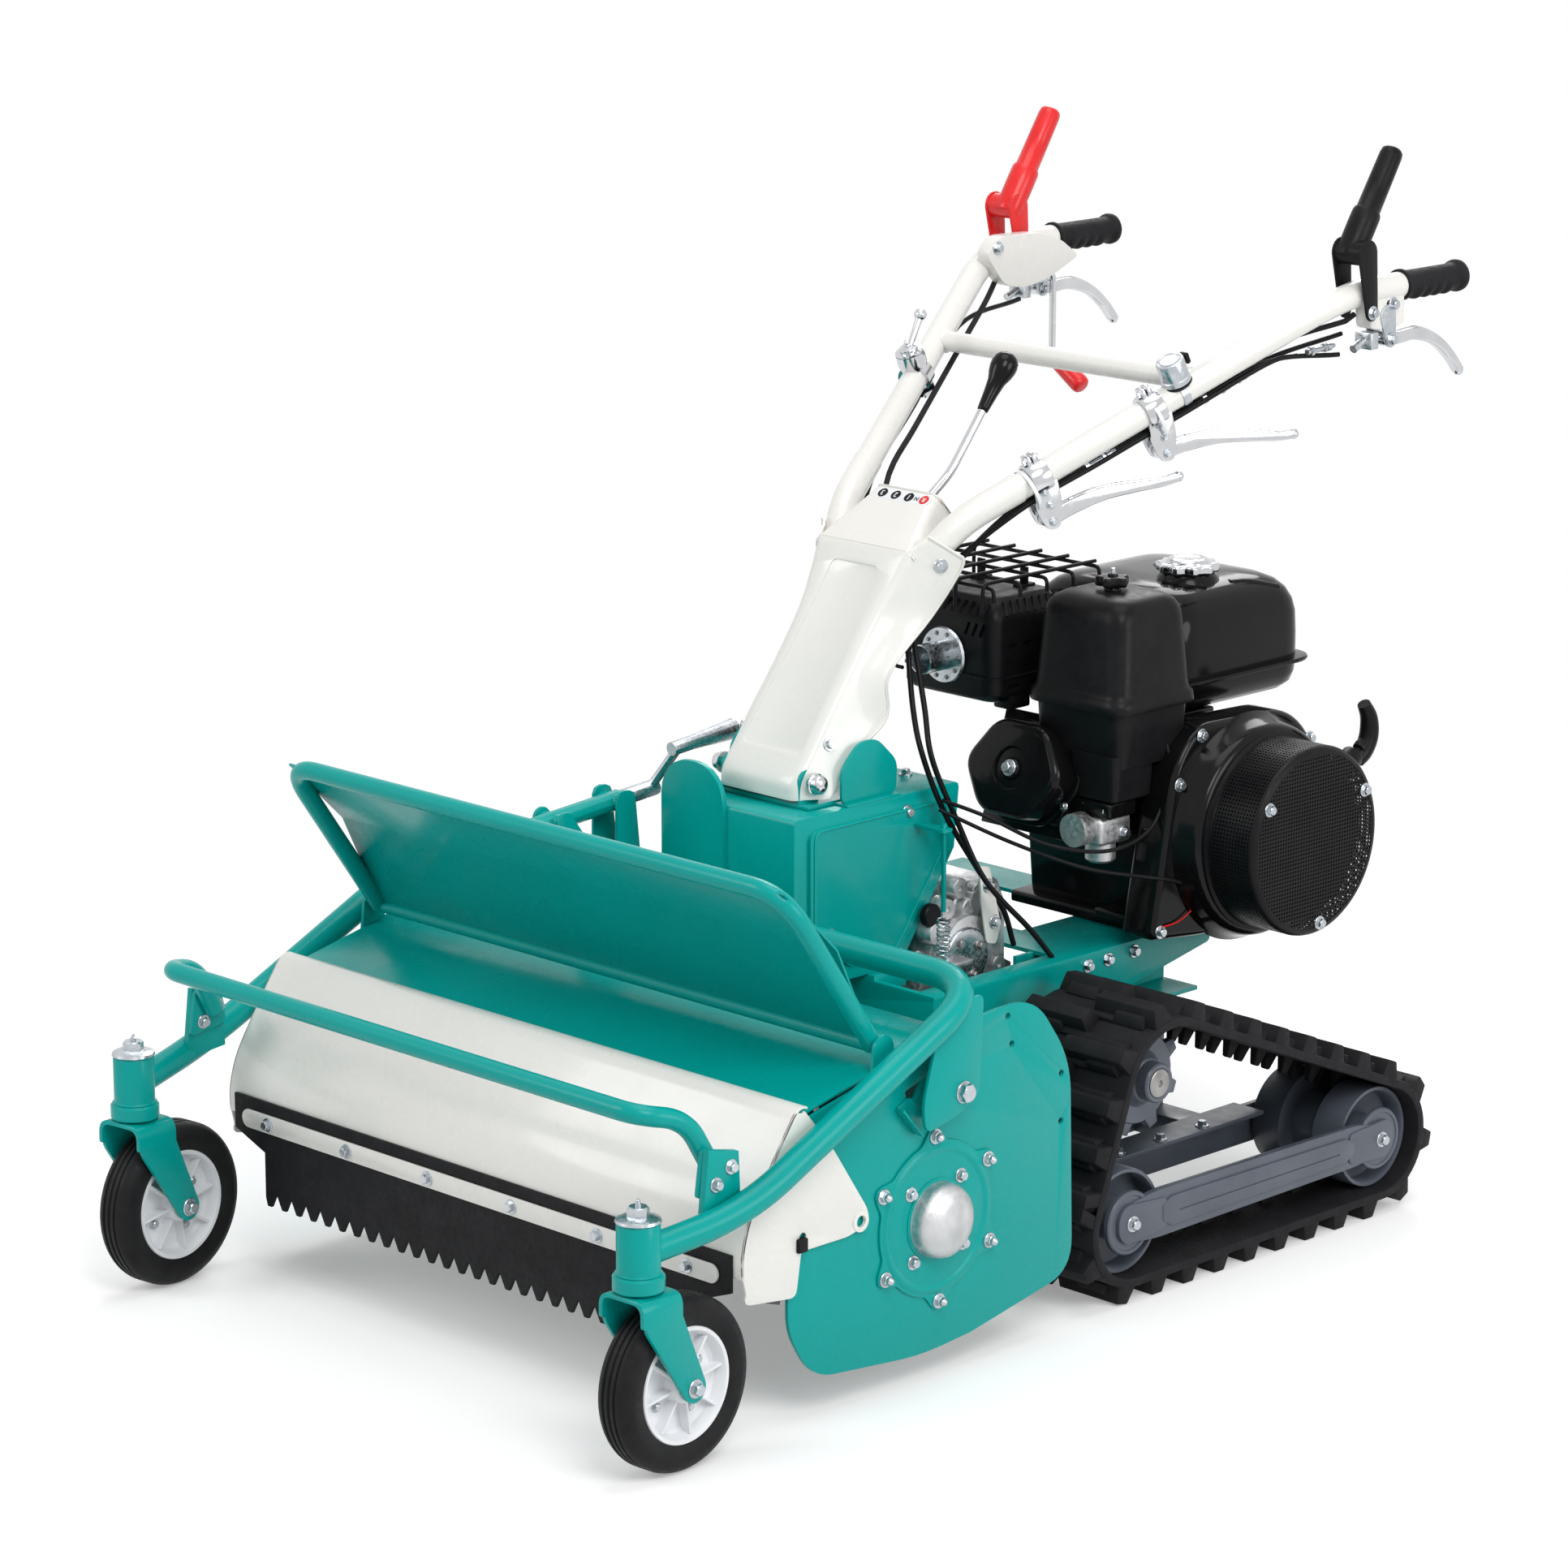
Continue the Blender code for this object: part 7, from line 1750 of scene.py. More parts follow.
# %% [markdown]
# The cylinder leans forward, so its fins are modelled upright round the crankshaft and then turned.
# Crankcase, base and feet are castings, cut to an outline and given wide soft edges.

# %% Crankcase and cylinder
ENGINE = (0.393, 0.473)
SEAT = 0.3453
LEAN = Matrix.Translation((0, *ENGINE)) @ Matrix.Rotation(math.radians(-18), 4, "X")
y, z = ENGINE
crankcase = rounded([(y - 0.09, SEAT), (y + 0.09, SEAT), (y + 0.1, z + 0.07), (y + 0.05, z + 0.11),
                     (y - 0.06, z + 0.11), (y - 0.105, z + 0.03)], 0.022, 5)
parts = [cut_plate(crankcase, 0.0, 0.2, 0.007, segments=3),
         soft_block(-0.02, 0.215, y - 0.105, y + 0.1, SEAT, SEAT + 0.015, 0.0035),
         round_bar(0.05, -0.018, 0.01, "x", (0, *ENGINE), 40),
         round_bar(0.0127, -0.07, 0.0, "x", (0, *ENGINE), 24),
         put(soft_block(0.045, 0.165, -0.215, -0.06, -0.05, 0.062, 0.006, 3), LEAN),
         soft_block(0.02, 0.18, 0.36, 0.43, 0.575, 0.5997, 0.003),
         soft_block(0.15, 0.226, 0.19, 0.239, 0.508, 0.528, 0.004, 3)]
for i in range(7):
    fin = soft_block(0.032, 0.178, -0.124 - 0.0135 * i, -0.12 - 0.0135 * i, -0.064, 0.076, 0.0014)
    parts.append(put(fin, LEAN))
for dy, dz in ((-0.06, -0.07), (0.07, -0.07), (-0.06, 0.06), (0.055, 0.06)):
    parts.append(round_bar(0.009, 0.19, 0.216, "x", (0, y + dy, z + dz), 20))
for foot in ((0.15, y - 0.098), (0.15, y + 0.088), (0.03, y + 0.088)):
    parts.append(soft_block(foot[0] - 0.022, foot[0] + 0.062, foot[1] - 0.02, foot[1] + 0.02,
        SEAT + 0.012, SEAT + 0.024, 0.004, 3))
close(parts, "engine_casting", "machine", "gloss", "engine_block")
print("castings joined:", len(parts))

# %% [markdown]
# The valve cover is a six-sided pressing with a bolt in a round well. Two outlines give its dome
# and its rim, and it leans with the cylinder.

# %% Valve cover
COVER_MIDDLE = (0.105, 0.006)


def on_cover(half_x, half_z, angles):
    """Places on an oval round the valve cover's middle."""
    turns = [math.radians(angle) for angle in angles]
    return [(COVER_MIDDLE[0] + half_x * math.cos(turn), COVER_MIDDLE[1] + half_z * math.sin(turn))
        for turn in turns]


six, wide = on_cover(0.078, 0.066, range(0, 360, 60)), on_cover(0.083, 0.071, range(0, 360, 60))
dome = cut_plate(rounded(six, 0.02, 5), -0.258, -0.218, 0.0095, axis="y", segments=5, angle=50)
rim = cut_plate(rounded(wide, 0.022, 5), -0.22, -0.214, 0.002, axis="y")
well = turned([(0, 0.254), (0.024, 0.254), (0.027, 0.259), (0, 0.259)], "y",
    (COVER_MIDDLE[0], 0, COVER_MIDDLE[1]), 40)
dome = carved(dome, [well])
boss = turned([(0, 0.25), (0.014, 0.25), (0.013, 0.257), (0.011, 0.259), (0, 0.259)], "y",
              (COVER_MIDDLE[0], 0, COVER_MIDDLE[1]), 32)
close(put([dome, rim, boss], LEAN), "valve_cover", "machine", "gloss", smooth=40)
heads = [set_at(BOLT, (COVER_MIDDLE[0], -0.259, COVER_MIDDLE[1]), (0, -1, 0), 10, 1.2)]
heads += [set_at(BOLT, (x, -0.22, z), (0, -1, 0), 10, 0.7) for x,
    z in on_cover(0.072, 0.061, (30, 150, 210, 330))]
close(put(heads, LEAN), "valve_cover_bolts", "machine", "zinc")
print("valve cover bolts:", len(heads))

# %% [markdown]
# The carburettor is a small alloy casting between cylinder and air cleaner: a body, a round float
# bowl under it and a round mouth in front.

# %% Carburettor and engine bolts
carburettor = [soft_block(0.166, 0.216, 0.186, 0.242, 0.474, 0.508, 0.006, 3), turned([(0, 0.45),
    (0.015, 0.45), (0.018, 0.453), (0.018, 0.478), (0, 0.478)], "z", (0.192, 0.214, 0), 32),
    turned([(0, -0.186), (0.017, -0.186), (0.02, -0.182), (0.02, -0.164), (0, -0.164)], "y",
    (0.192, 0, 0.495), 32), soft_block(0.11, 0.17, 0.232, 0.246, 0.47, 0.512, 0.003)]
close(carburettor, "carburettor", "machine", "alloy", smooth=40)
studs = [((0.216, yy, 0.518), (1, 0, 0))
    for yy in (0.198, 0.23)] + [((0.216, 0.228, 0.486), (1, 0, 0))]
studs += [((0.2, y - 0.098, SEAT + 0.024), (0, 0, 1)), ((0.2, y + 0.088, SEAT + 0.024), (0, 0, 1)),
          ((0.23, y - 0.104, SEAT + 0.032), (1, 0, 0))]
bolt_set("engine_bolts", "machine", BOLT, studs)
print("engine bolts:", len(studs))

# %% [markdown]
# ## Fan housing and screen
# The fan housing is a flat black plate that swells into a round drum. The drum ends in a
# perforated screen: a grid of cells, each drawn in and opened, rolled to a ring and cut to a disc.

# %% Perforated sheet
SCREEN = ENGINE
SCREEN_RADIUS, SCREEN_START, SCREEN_END = 0.114, 0.302, 0.371
CELL = 0.0047


def perforated(rows, columns, place, keep=None):
    """A grid whose cells are drawn in and opened; place maps (row, column) to a point."""
    deselect()
    bpy.ops.mesh.primitive_grid_add(x_subdivisions=columns, y_subdivisions=rows)
    piece = bpy.context.object
    for i in range(rows + 1):
        for j in range(columns + 1):
            piece.data.vertices[i * (columns + 1) + j].co = place(i, j)
    bpy.context.tool_settings.mesh_select_mode = (False, False, True)
    for element in [*piece.data.vertices, *piece.data.edges]:
        element.select = False
    for face in piece.data.polygons:
        face.select = bool(keep) and not keep(face.center)
    bpy.ops.object.mode_set(mode="EDIT")
    bpy.ops.mesh.delete(type="FACE")
    bpy.ops.mesh.select_all(action="SELECT")
    bpy.ops.mesh.remove_doubles(threshold=0.00002)
    bpy.ops.mesh.inset(thickness=0.0011, use_individual=True, use_even_offset=True)
    bpy.ops.mesh.delete(type="FACE")
    bpy.context.tool_settings.mesh_select_mode = (True, False, False)
    bpy.ops.object.mode_set(mode="OBJECT")
    bpy.ops.object.modifier_add(type="SOLIDIFY")
    sheet = piece.modifiers[-1]
    sheet.thickness = 0.0008
    sheet.offset = 0
    bpy.ops.object.modifier_apply(modifier=sheet.name)
    return piece


print("cell:", CELL, "m")

# %% [markdown]
# The housing's plate follows the engine's side, with a wide rolled edge. The drum on it is spun,
# and its bolts stand on the plate's rim.

# %% Fan housing
housing = rounded([(0.222, 0.3625), (0.335, 0.35), (0.48, 0.351), (0.53, 0.413), (0.533, 0.533),
    (0.475, 0.606), (0.302, 0.612), (0.262, 0.566)], [0.012, 0.04, 0.07, 0.07, 0.07, 0.06, 0.03,
    0.03], 8)
parts = [cut_plate(housing, 0.2163, 0.266, 0.011, segments=5, angle=50), turned([(0, 0.262),
    (0.139, 0.262), (0.135, 0.268), (0.1315, 0.276), (0.129, 0.286), (0.127, 0.2935),
    (0.1235, 0.2975), (0.117, 0.299), (0, 0.299)], "x", (0, *SCREEN), 88)]
close(parts, "fan_housing", "machine", "gloss", "fan_shroud", smooth=40)
spots = [((0.266, 0.3065, 0.598), (1, 0, 0)), ((0.266, 0.268, 0.545), (1, 0, 0)),
    ((0.266, 0.238, 0.372), (1, 0, 0)), ((0.266, 0.5, 0.388), (1, 0, 0)),
    ((0.266, 0.505, 0.562), (1, 0, 0))]
bolt_set("fan_housing_bolts", "machine", BOLT, spots)
print("housing bolts:", len(spots))

# %% [markdown]
# The screen's face is a square grid of cells kept where it lies in the circle, and its wall is a
# grid that is rolled round the axis. A rolled lip joins the two, and a dark drum stands inside.

# %% Screens and recoil cover
across = math.floor(2 * SCREEN_RADIUS / CELL)
disc = perforated(across, across, lambda i, j: (SCREEN_END, SCREEN[0] + (j - across / 2) * CELL,
    SCREEN[1] + (i - across / 2) * CELL),
    lambda point: math.hypot(point.y - SCREEN[0], point.z - SCREEN[1]) < SCREEN_RADIUS - 0.0065)
rows, columns = 13, 152
turn = 2 * math.pi / columns
wall = perforated(rows, columns, lambda i, j: (SCREEN_START + 0.003
    + i * (SCREEN_END - SCREEN_START - 0.009) / rows,
    SCREEN[0] + SCREEN_RADIUS * math.cos(turn * j), SCREEN[1] + SCREEN_RADIUS * math.sin(turn * j)))
lip = turned([(SCREEN_RADIUS - 0.0085, SCREEN_END + 0.0008),
    (SCREEN_RADIUS - 0.004, SCREEN_END + 0.0004), (SCREEN_RADIUS - 0.0005, SCREEN_END - 0.003),
    (SCREEN_RADIUS + 0.0006, SCREEN_END - 0.007), (SCREEN_RADIUS - 0.001, SCREEN_END - 0.007),
    (SCREEN_RADIUS - 0.002, SCREEN_END - 0.004), (SCREEN_RADIUS - 0.005, SCREEN_END - 0.0012),
    (SCREEN_RADIUS - 0.0085, SCREEN_END - 0.0008), (SCREEN_RADIUS - 0.0085, SCREEN_END + 0.0008)],
    "x", (0, *SCREEN), 96)
foot = turned([(SCREEN_RADIUS - 0.004, SCREEN_START - 0.0035), (SCREEN_RADIUS + 0.0055,
    SCREEN_START - 0.0035), (SCREEN_RADIUS + 0.0055, SCREEN_START), (SCREEN_RADIUS + 0.001,
    SCREEN_START + 0.0015), (SCREEN_RADIUS + 0.0008, SCREEN_START + 0.005), (SCREEN_RADIUS - 0.001,
    SCREEN_START + 0.005), (SCREEN_RADIUS - 0.004, SCREEN_START - 0.0035)], "x", (0, *SCREEN), 96)
inner = turned([(0, 0.298), (0.102, 0.298), (0.102, 0.35), (0.096, 0.356), (0.05, 0.36),
    (0.03, 0.364), (0, 0.364)], "x", (0, *SCREEN), 64)
mouth = Vector((0.33, 0.511, 0.551))
pull = Vector((0, 0.88, 0.47)).normalized()
guide = bent([mouth - pull * 0.036, mouth - pull * 0.003, mouth], 0.014, 28, taper=[1, 1, 0.9])
close([lip, foot, inner, guide], "recoil_cover_body", "machine", "black", "recoil_cover", smooth=40)
close(disc, "recoil_screen_face", "machine", "black")
close(wall, "recoil_screen_wall", "machine", "black")
spots = [((SCREEN_END + 0.0006, y, z), (1, 0, 0)) for y, z in around(SCREEN, 0.101, 28, 3)]
spots[2] = ((SCREEN_END + 0.0006, SCREEN[0] + 0.01, SCREEN[1] - 0.101), (1, 0, 0))
bolt_set("recoil_screen_bolts", "machine", BOLT, spots)
print("screen cells:", len(disc.data.polygons) + len(wall.data.polygons))

# %% [markdown]
# The starter's handle is a hook for two fingers that swells in its middle. It leaves the cover's
# guide in the direction in which the rope is pulled.

# %% Starter handle
root = mouth + pull * 0.0123
hook = flowing([root + Vector((0, -0.004, -0.014)), root + Vector((0, 0.008, -0.004)),
    root + Vector((0, 0.017, 0.014)), root + Vector((0, 0.016, 0.036)),
    root + Vector((0, 0.006, 0.054))], 6)
taper = [0.7 + 0.36 * math.sin(math.pi * min(1, 0.12 + i / (len(hook) - 1) * 0.86))
    for i in range(len(hook))]
stem = turned([(0, 0), (0.0085, 0), (0.0095, 0.006), (0.008, 0.016), (0, 0.016)], steps=24)
put(stem, facing(mouth + pull * 0.0105, pull))
rope = bent([mouth - pull * 0.013, mouth + pull * 0.0115], 0.004, 12)
close([bent(hook, 0.0112, 24, taper=taper), stem, rope], "starter_handle", "starter_grip", "black",
      "starter_grip", smooth=50)
print("hook points:", len(hook))

# %% [markdown]
# ## Tank, air cleaner and muffler
# The tank is pressed from two halves with a seam flange all round. A neck and three ridges stand on
# top, and the cap has ten lobes to be turned by hand.

# %% Tank and cap
TANK = (-0.06, 0.2, 0.335, 0.59)
FILLER = (0.12, 0.445)
tray = moulded(TANK, (0.034, 0.03, 0.6003), (0.02, 0.034, 0.603), (0.011, 0.038, 0.611),
    (0.007, 0.04, 0.623), (0.006, 0.04, 0.638))
shell = moulded(TANK, (0.006, 0.04, 0.64), (0.006, 0.04, 0.67), (0.007, 0.04, 0.698),
    (0.01, 0.04, 0.713), (0.016, 0.04, 0.726), (0.026, 0.038, 0.736), (0.04, 0.034, 0.7425),
    (0.06, 0.028, 0.7465), (0.085, 0.02, 0.748))
flange = moulded(TANK, (0.0, 0.04, 0.6365), (-0.0045, 0.042, 0.637), (-0.0055, 0.042, 0.6395),
    (-0.0045, 0.042, 0.642), (0.0, 0.04, 0.6425))
neck = turned([(0, 0.74), (0.04, 0.74), (0.037, 0.7495), (0.033, 0.7535), (0, 0.7535)], "z",
    (*FILLER, 0), 56)
ridges = [bent(flowing(line, 6), 0.0065, 16) for line in (
    [(0.158, 0.478, 0.738), (0.166, 0.505, 0.7365), (0.176, 0.545, 0.726)],
    [(0.078, 0.452, 0.7425), (0.04, 0.48, 0.743), (0.01, 0.56, 0.73)],
    [(0.118, 0.488, 0.742), (0.112, 0.52, 0.74), (0.104, 0.566, 0.727)])]
close([tray, shell, flange, neck] + ridges, "fuel_tank_pressed", "machine", "gloss", "fuel_tank",
    smooth=45)
cap = cut_plate(lobed(FILLER, 0.036, 0.0026, 10, 120), 0.7545, 0.766, 0.0032, "z", 4, 50)
top = turned([(0, 0.7655), (0.027, 0.7655), (0.0265, 0.7675), (0.024, 0.77), (0.0195, 0.7708),
    (0.018, 0.7698), (0, 0.77)], "z", (*FILLER, 0), 48)
close([cap, top], "fuel_cap_lobed", "fuel_cap", "chrome", "fuel_cap", smooth=40)
print("tank:", TANK)

# %% [markdown]
# The air cleaner's cover overlaps its lower half, and a duct leads down to the carburettor. The
# five-pointed knob on a stud holds the cover down.

# %% Air cleaner and knob
CLEANER = (0.098, 0.25, 0.181, 0.32)
STUD = (0.176, 0.247)
low_half = moulded(CLEANER, (0.012, 0.018, 0.57), (0.008, 0.02, 0.6), (0.006, 0.022, 0.635),
    (0.006, 0.022, 0.648))
cover = moulded(CLEANER, (0.004, 0.024, 0.636), (-0.001, 0.026, 0.6365), (-0.002, 0.026, 0.6385),
    (-0.001, 0.026, 0.65), (0.002, 0.025, 0.653), (0.004, 0.024, 0.66), (0.009, 0.026, 0.74),
    (0.011, 0.027, 0.751), (0.016, 0.026, 0.76), (0.026, 0.022, 0.766), (0.04, 0.016, 0.769),
    (0.056, 0.008, 0.7695))
duct = moulded((0.16, 0.236, 0.187, 0.262), (0.006, 0.008, 0.5285), (0.003, 0.01, 0.531),
    (0.001, 0.012, 0.56), (0.0, 0.014, 0.585))
close([low_half, cover, duct], "air_cleaner_moulded", "machine", "black", "air_cleaner", smooth=45)
star = lobed(STUD, 0.0175, 0.0035, 5, 100)
knob_parts = [cut_plate(star, 0.7735, 0.7855, 0.0028, "z", 4, 50), turned([(0, 0.7697),
    (0.0105, 0.7697), (0.009, 0.774), (0, 0.774)], "z", (*STUD, 0), 28), turned([(0, 0.785),
    (0.0065, 0.785), (0.006, 0.7885), (0, 0.789)], "z", (*STUD, 0), 24)]
close(knob_parts, "air_cleaner_star_knob", "air_cleaner_knob", "gloss", "air_cleaner_knob",
    smooth=40)
stud = turned([(0, 0.7885), (0.0028, 0.7885), (0.0028, 0.795), (0, 0.7956)], "z", (*STUD, 0), 16)
close(stud, "air_cleaner_stud", "air_cleaner_knob", "zinc")
print("air cleaner:", CLEANER)

# %% [markdown]
# The muffler is a pressed box with louvres along its upper edges and slots that let air through,
# so the slots are cut out of the box as links and the louvres are short round bars.

# %% Muffler
MUFFLER = (-0.095, 0.06, 0.17, 0.3)
MUFFLER_TOP = 0.748
box = moulded(MUFFLER, (0.016, 0.016, 0.62), (0.006, 0.02, 0.624), (0.0, 0.022, 0.632),
    (0.0, 0.022, 0.72), (0.002, 0.022, 0.73), (0.014, 0.02, MUFFLER_TOP - 0.002),
    (0.02, 0.018, MUFFLER_TOP), (0.06, 0.006, MUFFLER_TOP))
cuts = [cut_out(link((x, 0.703), (x + 0.006, 0.716), 0.0022, 0.0022, 5), 0.16, 0.1735, "y") for x in
        (-0.076, -0.064, 0.012, 0.024, 0.036)]
for yy in (0.196, 0.222, 0.248, 0.274):
    cuts.append(cut_out(link((yy, 0.69), (yy + 0.01, 0.69), 0.0028, 0.0028, 5), 0.0565, 0.07))
for yy in (0.196, 0.232):
    cuts.append(cut_out(link((yy, 0.64), (yy + 0.016, 0.64), 0.003, 0.003, 5), 0.0565, 0.07))
box = carved(box, cuts)
fins = []
for i in range(10):
    x = MUFFLER[0] + 0.02 + 0.0125 * i
    fins.append(bent([(x, 0.1715, 0.727), (x + 0.004, 0.1785, 0.742)], 0.0026, 12))
for i in range(8):
    yy = MUFFLER[2] + 0.022 + 0.0125 * i
    fins.append(bent([(0.058, yy, 0.727), (0.05, yy + 0.004, 0.742)], 0.0026, 12))
seam = moulded(MUFFLER, (0.001, 0.022, 0.6505), (-0.002, 0.023, 0.6515), (-0.002, 0.023, 0.6535),
    (0.001, 0.022, 0.6545))
stub = soft_block(0.03, 0.058, 0.2, 0.236, 0.6112, 0.63, 0.003)
close([box, seam, stub] + fins, "muffler_louvred", "machine", "black", "muffler", smooth=40)
print("muffler cuts:", len(cuts), "louvres:", len(fins))

# %% [markdown]
# The exhaust leaves through a round zinc flange with a ring of small bolts. Disc, pipe and back
# are spun round the same axis, which points forward.

# %% Exhaust flange
FLANGE = (-0.022, 0.672)
FLANGE_AT = (FLANGE[0], 0, FLANGE[1])
disc = turned([(0.0165, -0.17), (0.033, -0.17), (0.0345, -0.1685), (0.033, -0.1655),
    (0.0165, -0.1655)], "y", FLANGE_AT, 56)
pipe = turned([(0.0165, -0.128), (0.018, -0.129), (0.018, -0.17), (0.016, -0.17), (0.016, -0.129),
    (0.0165, -0.128)], "y", FLANGE_AT, 48)
back = round_bar(0.0162, -0.16, -0.164, "y", FLANGE_AT, 32)
close([disc, pipe, back], "exhaust_flange", "machine", "zinc", smooth=40)
spots = [((x, 0.1655, z), (0, -1, 0)) for x, z in around(FLANGE, 0.027, 0, 10)]
bolt_set("exhaust_flange_bolts", "machine", BOLT, spots, "steel", 9, 0.36)
print("flange bolts:", len(spots))

# %% [markdown]
# The guard keeps hands off the hot muffler. It is bent from round wire: five hoops across, five
# wires on top of them, two along the side, and two clips that hold it to the muffler.

# %% Wire guard
WIRE = 0.0024
x0, x1, y0, y1, low, high = -0.12, 0.085, 0.14, 0.325, 0.64, 0.7715
wires = []
for i in range(5):
    yy = y0 + (y1 - y0) * i / 4
    hoop = [(x0 + 0.014, yy, low), (x0, yy, low), (x0, yy, high), (x1, yy, high),
        (x1, yy, high - 0.016)]
    wires.append(bent(eased(hoop, 0.012, 6), WIRE, 12))
for i in range(5):
    xx = x0 + 0.018 + (x1 - x0 - 0.03) * i / 4
    top = high + 2 * WIRE
    wires.append(bent(eased([(xx, y0 - 0.006, high - 0.03), (xx, y0 - 0.006, top),
        (xx, y1 + 0.006, top)], 0.012, 6), WIRE, 12))
for zz in (low + 0.014, low + 0.068):
    wires.append(bent([(x0 - 2 * WIRE, y0 - 0.006, zz), (x0 - 2 * WIRE, y1 + 0.006, zz)], WIRE, 12))
for xx in (-0.05, 0.02):
    wires.append(soft_block(xx - 0.006, xx + 0.006, 0.25, 0.277, MUFFLER_TOP - 0.001,
        MUFFLER_TOP + 0.003, 0.0008))
    wires.append(soft_block(xx - 0.006, xx + 0.006, 0.262, 0.265, MUFFLER_TOP, high, 0.0008))
close(wires, "muffler_wire_guard", "machine", "black", "muffler_guard", smooth=50)
print("wires and clips:", len(wires))

# %% [markdown]
# ## Transmission, belt case and rails
# The cast transmission has round bosses, a plug and a zinc cover with four bolts. They are spun
# round axes that point outwards, each a little sunk in the casting.

# %% Bosses, cover and plug
FACE = 0.112
bosses = []
for y, z, radius, length in ((0.049, 0.433, 0.012, 0.01), (0.03, 0.411, 0.012, 0.008),
        (0.064, 0.405, 0.014, 0.012), (0.012, 0.385, 0.013, 0.008), (0.104, 0.385, 0.012, 0.014),
        (0.11, 0.33, 0.011, 0.016), (0.0, 0.35, 0.012, 0.006), (0.118, 0.295, 0.013, 0.014),
        (0.078, 0.425, 0.01, 0.012)):
    bosses.append(turned([(0, FACE - 0.012), (radius * 1.15, FACE - 0.012),
        (radius * 1.05, FACE + length - 0.002), (radius * 0.95, FACE + length),
        (radius * 0.35, FACE + length), (radius * 0.3, FACE + length - 0.003),
        (0, FACE + length - 0.003)], "x", (0, y, z), 28))
close(bosses, "transmission_bosses", "machine", "alloy", smooth=40)
COVER_AT = (0.044, 0.352)
cover = turned([(0, 0.128), (0.036, 0.128), (0.0375, 0.1305), (0.0375, 0.135), (0.0355, 0.1375),
    (0.03, 0.1385), (0.02, 0.1365), (0, 0.1365)], "x", (0, *COVER_AT), 56)
close(cover, "transmission_cover", "machine", "zinc", smooth=40)
spots = [((0.137, y, z), (1, 0, 0)) for y, z in around(COVER_AT, 0.025, 30, 4)]
bolt_set("transmission_cover_bolts", "machine", BOLT, spots, "steel", 13, 0.85)
plug = turned([(0, FACE - 0.002), (0.014, FACE - 0.002), (0.014, FACE + 0.005),
    (0.012, FACE + 0.007), (0, FACE + 0.007)], "x", (0, 0.006, 0.408), 32)
close(plug, "transmission_plug", "machine", "black")
print("bosses:", len(bosses))

# %% [markdown]
# The spring's linkage hangs from a white plate beside the belt case. Case and rails are bolted
# together, and the bolts' places are read from the photograph or mirrored.

# %% Linkage plate and bolts
hanger = rounded([(0.06, 0.462), (0.078, 0.458), (0.098, 0.385), (0.09, 0.362), (0.074, 0.366),
    (0.064, 0.42)], 0.004, 3)
close(cut_plate(hanger, 0.138, 0.141, 0.0008), "linkage_plate", "machine", "cream")
spots = [((0.141, 0.0745, 0.436), (1, 0, 0)), ((0.141, 0.086, 0.39), (1, 0, 0))]
spots += [((0.101, y, z), (1, 0, 0)) for y, z in ((-0.0205, 0.5347), (-0.15, 0.415))]
spots += [((x, 0.046, 0.556), (0, 0, 1)) for x in (-0.024, 0.034)]
spots += [((face * 0.205, y, z), (face, 0, 0)) for face in (1, -1)
          for y, z in ((0.18, 0.33), (0.2155, 0.331), (0.262, 0.332))]
bolt_set("case_and_rail_bolts", "machine", BOLT, spots)
print("case and rail bolts:", len(spots))

# %% [markdown]
# A pressed bead runs round each side of the belt case, and two ears stand on top beside the
# console. The bead is an outline less a smaller copy of itself.

# %% Belt case bead and ears
weld = rounded([(-0.178, 0.54), (-0.178, 0.412), (-0.118, 0.372), (-0.044, 0.372), (0.04, 0.486),
    (0.046, 0.54)], 0.014, 5)
middle = Vector((-0.066, 0.458))
inner_line = [tuple(middle + (Vector(p) - middle) * 0.965) for p in weld]
raised = carved(cut_out(weld, 0.104, 0.1066), [cut_out(inner_line, 0.103, 0.108)])
twin = copied(raised, MIRROR)
close([bevelled(raised, 0.0009), bevelled(twin, 0.0009)], "belt_case_bead", "machine", "teal")
ear = rounded([(-0.12, 0.5575), (-0.03, 0.5575), (-0.028, 0.596), (-0.062, 0.628), (-0.092, 0.628),
    (-0.12, 0.6)], 0.012, 4)
made = [cut_plate(ear, side * 0.0905 - 0.002, side * 0.0905 + 0.002, 0.0009) for label,
    side in SIDES]
made += [soft_block(-0.1, 0.1, -0.118, -0.03, 0.5555, 0.559, 0.001)]
close(made, "belt_case_ears", "machine", "teal")
print("bead points:", len(weld))

# %% [markdown]
# ## Cables
# Bowden cables run from the levers down the handlebar and into the console. Four threaded
# adjusters sit on them and two ties hold them to the tube. These upper runs ride on the handle,
# and the lower ones ride on the machine, with their tops hidden behind the console.

# %% Cables on the handle
def adjuster(place, ahead):
    """A threaded barrel with a lock nut and a hexagon, along a direction."""
    barrel = [turned([(0, -0.026), (0.0034, -0.026), (0.0034, 0.02), (0.0026, 0.024), (0, 0.024)],
        steps=20), hexagon(0.0095, 0.006, -0.02), hexagon(0.0095, 0.004, 0.004),
        round_bar(0.0048, 0.01, 0.016, steps=20)]
    return put(barrel, facing(place, ahead))


